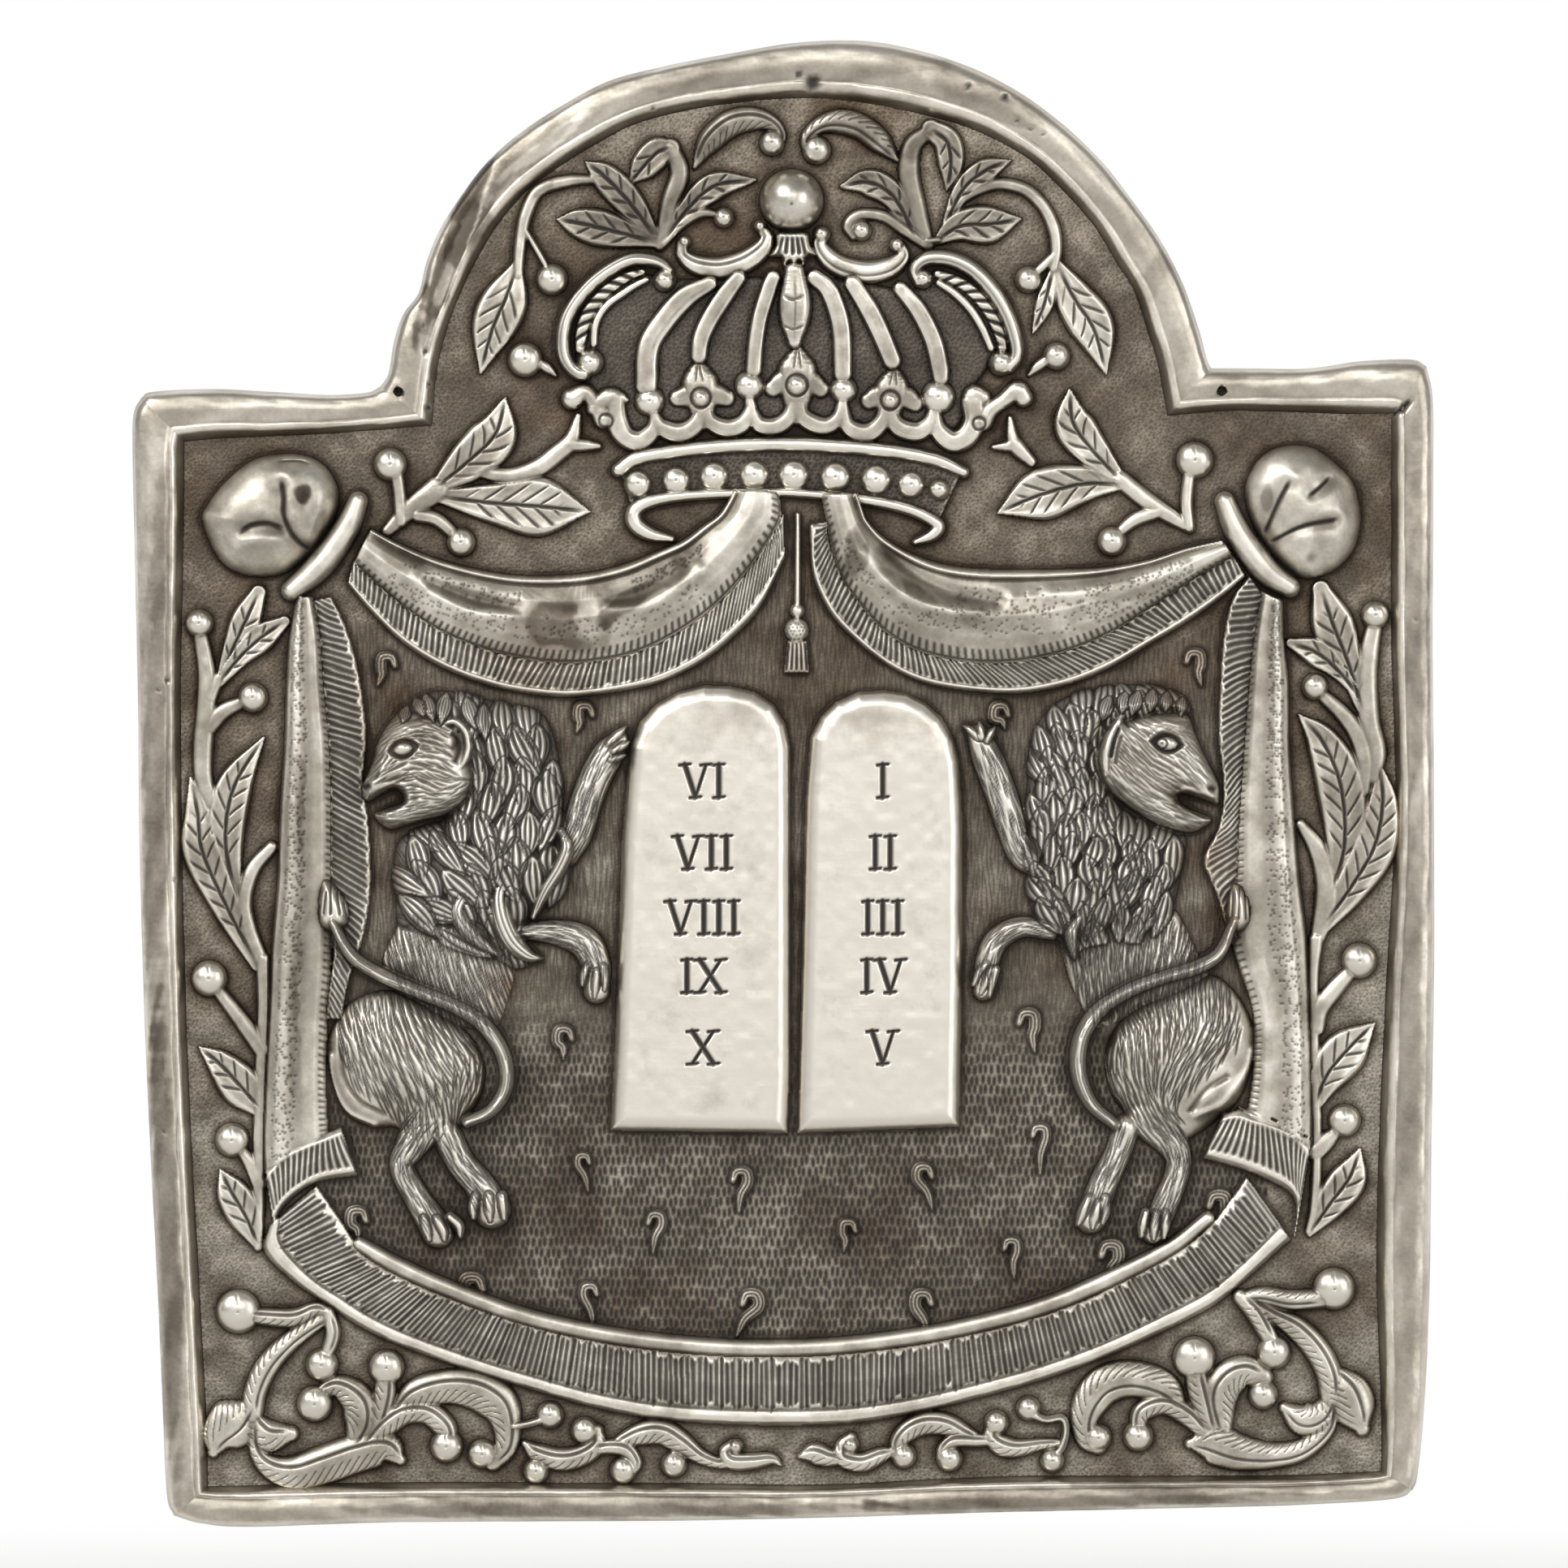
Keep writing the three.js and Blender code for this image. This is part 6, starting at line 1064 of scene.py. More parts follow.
# A rampant lion: limbs, haunch and body first, then mane, head and tail, then the hair
def paintLion(name, lion):
    for rows in lion["limbs"]:
        paintStroke(name, rows, raised["limb"], fullness=0.65, swell=0.4, broad=2.5)
    for rows in lion["toes"]:
        path = paintStroke(name, rows, raised["limb"] * 1.15, swell=0.25, polish=0.1, grow=0.95)
        edge = ridge(path.distance - path.half * 0.92, 0.16) * (path.share < 1.15)
        engrave(name, path, edge, 0.3, 0.9)
    paintBoss(name, lion["haunch"], raised["haunch"], bevel=15, power=0.62)
    paintBoss(name, lion["body"], raised["body"] * 0.72, bevel=9, power=0.75)
    paintMane(name, lion["mane"], lion["maneFlow"], lion["lockSize"], lion["lockSpacing"], raised["mane"])
    for rows in lion["longLocks"]:
        path = paintStroke(name, rows, raised["mane"] + 1.3, fullness=0.4, swell=0.3)
        line = teeth(path.side, 0.85, 0.14) * (path.share < 0.85) * path.inner(1, 2)
        engrave(name, path, line, 0.3, 0.95)
    paintBoss(name, lion["head"], raised["head"], bevel=3.6, power=0.55)
    for line, width, rise in lion["brows"]:
        furrow(name, line, width, rise)
    for rows in lion["ear"]:
        paintStroke(name, rows, raised["head"] + 0.5, fullness=0.7, swell=0.3, broad=2.4,
                    polish=0.2, grow=1.12)
    base = height.copy()
    room = np.ones(shape, bool)
    for root, tip, half in lion["forelocks"]:
        root, tip = np.array(root) * plateWidth, np.array(tip) * plateWidth
        angle = math.atan2(*(tip - root)[::-1])
        paintLock(name, root, angle, np.hypot(*(tip - root)), half * plateWidth, base, room, 1.3, 0.05, 5)
    path = paintStroke(name, lion["tail"], raised["tail"], swell=0.1, broad=2.1, polish=0.25, grow=1.08)
    for share in (-0.55, -0.15, 0.25, 0.62):
        broken = softStep(wave(path.along / 1.7 + share * 9, 3), -0.5, -0.1)
        chase(name, path, share, 0.13, 0.2, 0.85, strength=broken)
    area = paintBoss(name, lion["tuft"], raised["tuft"], bevel=2.5)
    mould(name, lion["mounds"])
    for line, width, rise in lion["furrows"]:
        furrow(name, line, width, rise)
    marks = Marks()
    for outline, flow, spacing, length, strength in lion["hair"]:
        hairIn(marks, outline, flow, spacing, length, strength)
    for rows in lion["limbs"]:
        hairOn(marks, rows, 0.75, 3.4, start=0.06, end=0.9)
    marks.cut(owner == ownerOf(name), 0.3, 0.95)
    polished = (owner == ownerOf(name)) & (shine == 0)
    shine[polished] = 0.16
    eye(name, lion["eye"])
    for line, width, darkness in lion["cuts"]:
        cutLine(name, line, width, 0.45, darkness, 0.25)


# The two lions: outlines, and rows of across, up and half width; flows are across, up and degrees
lionLeft = {
    "head": [[-.3237, .562], [-.3243, .569], [-.3199, .5803], [-.3153, .5932], [-.3131, .6024],
        [-.305, .617], [-.293, .629], [-.27, .629], [-.256, .627], [-.2506, .6229], [-.2408, .6123],
        [-.2372, .6031], [-.2354, .5803], [-.2377, .5681], [-.2446, .5567], [-.2583, .5485],
        [-.2773, .544], [-.2917, .54], [-.3016, .5376], [-.3093, .5415], [-.3155, .5492], [-.3115, .5512],
        [-.3024, .5546], [-.2932, .5585], [-.2931, .564], [-.2985, .5685], [-.306, .566], [-.318, .5595]],
    "mane": [[-.297, .6195], [-.285, .637], [-.262, .6445], [-.235, .639], [-.205, .6325], [-.185, .6255],
        [-.176, .607], [-.171, .58], [-.1685, .55], [-.165, .52], [-.1685, .491], [-.185, .475],
        [-.2, .464], [-.206, .452], [-.188, .438], [-.204, .432], [-.217, .437], [-.24, .443],
        [-.262, .45], [-.282, .457], [-.296, .463], [-.298, .49], [-.2995, .512], [-.292, .532],
        [-.262, .545], [-.246, .57], [-.262, .6]],
    "haunch": [[-.351, .365], [-.345, .389], [-.33, .406], [-.302, .4135], [-.27, .4], [-.243, .381],
        [-.2295, .355], [-.235, .327], [-.256, .303], [-.28, .296], [-.298, .308], [-.318, .309],
        [-.34, .324]],
    "tail": [[-.346, .466, .0035], [-.332, .441, .0045], [-.311, .4265, .005], [-.284, .4145, .0052],
        [-.255, .403, .0055], [-.232, .389, .0058], [-.216, .366, .0058], [-.213, .341, .0055],
        [-.224, .322, .0048], [-.243, .3125, .004]],
    "tuft": [[-.3535, .5], [-.3595, .478], [-.357, .464], [-.347, .4585], [-.3355, .463], [-.333, .476],
        [-.3385, .488]],
    "limbs": [[[-.272, .315, .02], [-.287, .293, .0125], [-.293, .277, .01], [-.281, .253, .0105],
            [-.2655, .2285, .0135]],
        [[-.26, .305, .012], [-.248, .281, .0115], [-.234, .264, .0125], [-.224, .245, .0155]],
        [[-.168, .52, .0122], [-.1587, .5353, .0128], [-.1519, .5581, .0128], [-.1427, .5807, .0128],
         [-.1337, .5966, .0122], [-.1265, .607, .0079]],
        [[-.202, .459, .0066], [-.176, .4585, .0099], [-.154, .4515, .0127], [-.1445, .435, .0121],
         [-.1435, .4135, .0105]]],
    "toes": [[[-.256, .24, .004], [-.249, .233, .0045], [-.248, .225, .0025]],
        [[-.266, .238, .0045], [-.261, .229, .0045], [-.26, .222, .0025]],
        [[-.276, .238, .0045], [-.274, .23, .0045], [-.272, .222, .0025]],
        [[-.236, .256, .0045], [-.238, .247, .0048], [-.238, .239, .0025]],
        [[-.226, .256, .0045], [-.226, .246, .0048], [-.225, .237, .0025]],
        [[-.216, .256, .0045], [-.215, .247, .0045], [-.214, .238, .0025]],
        [[-.134, .604, .0034], [-.1265, .611, .004], [-.121, .6165, .0012]],
        [[-.13, .598, .0034], [-.123, .602, .0036], [-.1185, .605, .0012]],
        [[-.132, .591, .003], [-.126, .593, .0032], [-.1215, .595, .0012]],
        [[-.15, .433, .0035], [-.153, .426, .0035], [-.1545, .418, .0018]],
        [[-.143, .428, .004], [-.144, .418, .004], [-.145, .408, .0018]],
        [[-.138, .432, .0038], [-.137, .422, .0035], [-.137, .414, .0018]]],
    "body": [[-.308, .433], [-.3, .456], [-.286, .48], [-.25, .486], [-.215, .46], [-.206, .433],
        [-.212, .406], [-.224, .384], [-.26, .39], [-.29, .41]],
    "ear": [[[-.2636, .6146, .002], [-.2575, .6199, .0034], [-.2506, .62, .0044], [-.2438, .613, .0048],
            [-.2414, .6024, .0048], [-.2438, .5917, .0046], [-.2499, .5818, .003]]],
    "brows": [([[-.3045, .612], [-.295, .616], [-.282, .614]], .9, .6),
        ([[-.3199, .57], [-.312, .576], [-.306, .588]], .9, .5)],
    "forelocks": [[[-.2585, .6435], [-.264, .6175], .0062], [[-.276, .643], [-.269, .619], .0055],
        [[-.284, .64], [-.276, .623], .005], [[-.289, .633], [-.293, .619], .0048],
        [[-.244, .64], [-.2365, .613], .0062], [[-.23, .635], [-.23, .605], .006]],
    "eye": (-.2917, .5995, .0112, .0072, 12, None),
    "longLocks": [[[-.212, .502, .003], [-.218, .488, .006], [-.216, .47, .0085], [-.208, .452, .0085],
            [-.196, .441, .005], [-.185, .4385, .001]],
        [[-.17, .536, .003], [-.166, .524, .0055], [-.172, .508, .0055], [-.183, .49, .0045],
         [-.192, .47, .002]],
        [[-.242, .492, .003], [-.25, .474, .007], [-.238, .456, .007], [-.22, .442, .002]]],
    "lockSize": (9.4, 2.35),
    "lockSpacing": 4.1,
    "maneFlow": [[-.285, .625, -75], [-.25, .635, -82], [-.21, .62, -85], [-.185, .61, -80],
        [-.175, .58, -100], [-.21, .58, -86], [-.19, .55, -95], [-.17, .52, -110], [-.23, .55, -90],
        [-.22, .5, -80], [-.18, .48, -115], [-.21, .46, -72], [-.28, .51, -62], [-.26, .53, -62],
        [-.24, .5, -48], [-.27, .48, -35], [-.24, .46, -40], [-.285, .47, -22]],
    "mounds": [[-.26, .566, .02, .018, 20, .8], [-.29, .612, .018, .006, 20, .6],
        [-.313, .572, .01, .009, 0, .5], [-.291, .6, .0065, .004, 12, .55],
        [-.291, .6, .014, .01, 12, -.45], [-.251, .601, .008, .004, 70, -1.1],
        [-.305, .548, .01, .005, -5, .4], [-.29, .37, .035, .03, 0, .5], [-.22, .355, .012, .03, 10, -.5],
        [-.34, .345, .01, .03, 20, -.4], [-.265, .315, .018, .012, -60, .3]],
    "furrows": [([[-.349, .365], [-.348, .343], [-.335, .32], [-.312, .309]], .7, .7),
        ([[-.34, .37], [-.338, .348], [-.326, .329], [-.306, .318]], .5, -.5),
        ([[-.227, .385], [-.22, .365], [-.221, .342], [-.233, .325]], .7, -.5),
        ([[-.319, .5645], [-.309, .569], [-.299, .5725], [-.2895, .569], [-.2885, .559], [-.298, .5525],
          [-.31, .5475]],
         .55, .7),
        ([[-.3248, .5675], [-.3236, .5722], [-.319, .5752], [-.314, .5738]], .4, .5)],
    "hair": [([[-.345, .382], [-.335, .4], [-.32, .41], [-.29, .409], [-.262, .397], [-.24, .38],
                [-.23, .36], [-.236, .335], [-.256, .306], [-.285, .3], [-.297, .312], [-.318, .328],
                [-.337, .35]],
            [[-.33, .39, -75], [-.31, .4, -80], [-.3, .37, -68], [-.27, .39, -60], [-.24, .37, -52],
             [-.26, .35, -55], [-.29, .34, -60], [-.27, .33, -75], [-.245, .34, -105], [-.24, .33, -120],
             [-.28, .31, -85]],
            1.0, 4.2, 1),
        ([[-.32, .58], [-.313, .6], [-.302, .62], [-.285, .628], [-.262, .625], [-.252, .6], [-.25, .58],
          [-.239, .575], [-.243, .557], [-.258, .549], [-.278, .5445], [-.3, .539], [-.312, .546],
          [-.3, .5535], [-.2915, .558], [-.2925, .567], [-.3, .5705], [-.317, .5735]],
         [[-.308, .59, 55], [-.29, .618, 25], [-.275, .595, -10], [-.27, .575, -28], [-.25, .565, 30],
          [-.285, .55, 12], [-.245, .59, -60], [-.26, .61, -30], [-.3, .58, 25]],
         .95, 3.0, .85),
        ([[-.306, .433], [-.3, .451], [-.27, .469], [-.23, .461], [-.205, .433], [-.213, .406],
          [-.225, .385], [-.26, .391], [-.29, .411]],
         [[-.3, .44, -72], [-.27, .45, -76], [-.24, .44, -74], [-.22, .42, -70], [-.28, .42, -74]], .8,
         4.6, 1)],
    "cuts": [([[-.3222, .5688], [-.3196, .5708], [-.3168, .5722]], .95, 1),
        ([[-.313, .577], [-.31, .582]], .35, .9),
        ([[-.2545, .612], [-.2497, .606], [-.2487, .5978], [-.252, .589]], .6, 1),
        ([[-.239, .608], [-.238, .604]], .3, .8), ([[-.308, .549], [-.296, .548], [-.286, .552]], .3, .7),
        ([[-.3475, .496], [-.3475, .472]], .2, .9), ([[-.351, .49], [-.353, .472]], .2, .9),
        ([[-.343, .49], [-.34, .472]], .2, .9), ([[-.356, .48], [-.357, .468]], .2, .8),
        ([[-.338, .482], [-.335, .468]], .2, .8)],
}
lionRight = {
    "head": [[.335, .5567], [.3362, .5658], [.3347, .5742], [.3294, .5856], [.3225, .5993],
        [.3172, .6123], [.311, .6262], [.295, .63], [.276, .627], [.265, .625], [.2586, .6285],
        [.251, .6235], [.2452, .6107], [.242, .5955], [.241, .5841], [.2426, .5745], [.2472, .569],
        [.2609, .558], [.2738, .5496], [.2867, .5412], [.3004, .5359], [.3141, .5351], [.324, .539],
        [.33, .5455], [.3195, .5508], [.3092, .5556], [.3046, .5612], [.3058, .5648], [.3217, .5615],
        [.329, .5585]],
    "mane": [[.309, .6265], [.31, .637], [.297, .6445], [.272, .649], [.245, .6465], [.215, .6375],
        [.197, .62], [.19, .59], [.1875, .56], [.187, .525], [.1885, .49], [.196, .466], [.211, .4535],
        [.2205, .438], [.231, .4475], [.257, .452], [.277, .4525], [.296, .466], [.3025, .485],
        [.307, .51], [.309, .5335], [.28, .543], [.256, .56], [.25, .6], [.274, .618]],
    "haunch": [[.3635, .373], [.359, .394], [.346, .4145], [.326, .4255], [.29, .412], [.266, .396],
        [.249, .37], [.252, .336], [.272, .31], [.292, .294], [.312, .299], [.335, .3145], [.354, .334]],
    "tail": [[.347, .468, .0035], [.336, .443, .0045], [.318, .4315, .0052], [.292, .424, .0055],
        [.266, .414, .0058], [.2435, .399, .006], [.2295, .377, .0062], [.2275, .351, .006],
        [.237, .327, .005], [.2555, .3105, .004]],
    "tuft": [[.346, .4965], [.3405, .478], [.342, .463], [.35, .4575], [.3595, .4645], [.3615, .477],
        [.357, .489]],
    "limbs": [[[.285, .318, .022], [.3015, .293, .0125], [.304, .276, .01], [.2955, .252, .0105],
            [.2855, .2285, .011]],
        [[.264, .308, .011], [.2575, .288, .0105], [.247, .2655, .0115], [.237, .2385, .0125]],
        [[.196, .51, .0104], [.1838, .5194, .0114], [.1747, .5444, .0123], [.1656, .5716, .0127],
         [.1566, .5944, .012], [.1505, .6095, .0091]],
        [[.207, .459, .0069], [.184, .4625, .0086], [.1655, .453, .0098], [.1575, .436, .0098],
         [.154, .4135, .008]]],
    "toes": [[[.279, .243, .004], [.2765, .233, .0045], [.2755, .225, .0025]],
        [[.287, .242, .0045], [.2855, .232, .0045], [.285, .223, .0025]],
        [[.294, .243, .004], [.294, .233, .0045], [.293, .224, .0025]],
        [[.236, .254, .0045], [.231, .244, .0048], [.227, .234, .0025]],
        [[.243, .25, .0045], [.24, .24, .0048], [.238, .231, .0025]],
        [[.248, .254, .0045], [.248, .243, .0045], [.246, .235, .0025]],
        [[.15, .608, .0034], [.144, .614, .0036], [.1395, .617, .0012]],
        [[.153, .608, .0034], [.152, .615, .0036], [.151, .62, .0012]],
        [[.157, .606, .0032], [.16, .612, .0034], [.163, .616, .0012]],
        [[.156, .434, .0035], [.151, .428, .0035], [.1465, .418, .0018]],
        [[.16, .43, .004], [.156, .42, .0038], [.152, .411, .0018]],
        [[.164, .43, .0038], [.161, .42, .0036], [.159, .409, .0018]]],
    "body": [[.214, .464], [.235, .484], [.275, .488], [.301, .476], [.311, .46], [.319, .443],
        [.328, .425], [.31, .405], [.27, .395], [.242, .385], [.228, .405], [.218, .43]],
    "ear": [[[.2484, .58, .004], [.2478, .5917, .006], [.2502, .604, .0062], [.2552, .615, .0056],
            [.26, .624, .0036]]],
    "brows": [([[.281, .616], [.295, .6195], [.309, .613]], .9, .6),
        ([[.332, .572], [.324, .584], [.317, .598]], .8, .4),
        ([[.305, .568], [.318, .564], [.33, .561]], .7, .4)],
    "forelocks": [[[.264, .644], [.259, .626], .0052], [[.274, .645], [.2665, .624], .0052],
        [[.285, .646], [.281, .627], .005], [[.296, .644], [.293, .627], .0048],
        [[.308, .64], [.305, .624], .0045], [[.252, .641], [.244, .62], .0055]],
    "eye": (.2951, .6037, .0122, .0074, -8, (.0042, 0)),
    "longLocks": [[[.228, .47, .003], [.222, .458, .0055], [.223, .445, .003], [.224, .439, .0012]]],
    "lockSize": (7.6, 1.85),
    "lockSpacing": 3.2,
    "maneFlow": [[.22, .63, -78], [.24, .64, -98], [.27, .645, -70], [.3, .637, -45], [.195, .6, -82],
        [.2, .5, -68], [.22, .46, -72], [.24, .52, -86], [.27, .5, -97], [.295, .48, -106],
        [.21, .57, -85], [.25, .47, -95], [.23, .6, -86]],
    "mounds": [[.285, .575, .024, .018, -30, .7], [.295, .617, .02, .006, -20, .6],
        [.328, .566, .01, .01, 0, .5], [.297, .6035, .008, .005, 0, .6],
        [.297, .6035, .016, .011, 0, -.45], [.26, .596, .008, .003, 75, -.5],
        [.315, .544, .012, .005, 5, .4], [.295, .38, .035, .03, 0, .5], [.248, .375, .01, .028, -5, -.6],
        [.323, .33, .014, .006, 38, .5], [.28, .315, .018, .012, 60, .3]],
    "furrows": [([[.256, .398], [.243, .38], [.24, .36], [.246, .338], [.26, .322]], .7, -.5),
        ([[.363, .37], [.356, .35], [.338, .328], [.315, .317]], .7, .6),
        ([[.312, .32], [.326, .338], [.343, .349]], .5, -.6),
        ([[.302, .564], [.31, .569], [.322, .566], [.333, .561]], .5, .5),
        ([[.304, .556], [.312, .551], [.323, .5465], [.331, .544]], .5, .5)],
    "hair": [([[.272, .4], [.255, .375], [.248, .355], [.252, .335], [.27, .315], [.285, .3],
                [.305, .295], [.305, .32], [.32, .342], [.338, .356], [.354, .375], [.352, .395],
                [.338, .418], [.31, .418], [.29, .408]],
            [[.27, .395, -60], [.3, .405, -82], [.33, .405, -85], [.35, .38, -105], [.33, .37, -125],
             [.31, .36, -125], [.29, .38, -95], [.27, .37, -85], [.255, .36, -90], [.26, .34, -62],
             [.28, .33, -65], [.29, .31, -50], [.3, .34, -115]],
            .95, 4.2, 1),
        ([[.243, .574], [.254, .586], [.256, .605], [.27, .622], [.295, .628], [.312, .622], [.324, .596],
          [.332, .578], [.32, .568], [.304, .567], [.302, .56], [.308, .5545], [.328, .5455],
          [.322, .539], [.3, .537], [.287, .542], [.27, .552]],
         [[.27, .6, -45], [.28, .58, -38], [.295, .57, -28], [.31, .59, -50], [.325, .575, -45],
          [.29, .555, -20], [.265, .58, -50], [.3, .622, -12], [.3, .588, -30]],
         .95, 3.2, .8),
        ([[.214, .454], [.23, .467], [.27, .471], [.308, .463], [.319, .443], [.326, .426], [.31, .407],
          [.27, .397], [.243, .387], [.229, .406], [.219, .43]],
         [[.23, .45, -82], [.26, .45, -95], [.3, .44, -102], [.25, .42, -85], [.29, .42, -95]], .8, 4.6,
         1)],
    "cuts": [([[.3262, .568], [.329, .5692], [.3318, .5672]], .9, 1),
        ([[.301, .548], [.313, .544], [.322, .542]], .4, .8),
        ([[.2582, .6165], [.2542, .6061], [.2514, .593]], .42, 1),
        ([[.26, .61], [.257, .599], [.2555, .588]], .4, .8), ([[.266, .616], [.26, .624]], .3, .9),
        ([[.351, .493], [.35, .468]], .2, .9), ([[.346, .49], [.345, .468]], .2, .9),
        ([[.355, .488], [.356, .468]], .2, .9), ([[.359, .483], [.36, .47]], .2, .8)],
}
paintLion("lion_left", lionLeft)
paintLion("lion_right", lionRight)
print("lions painted")

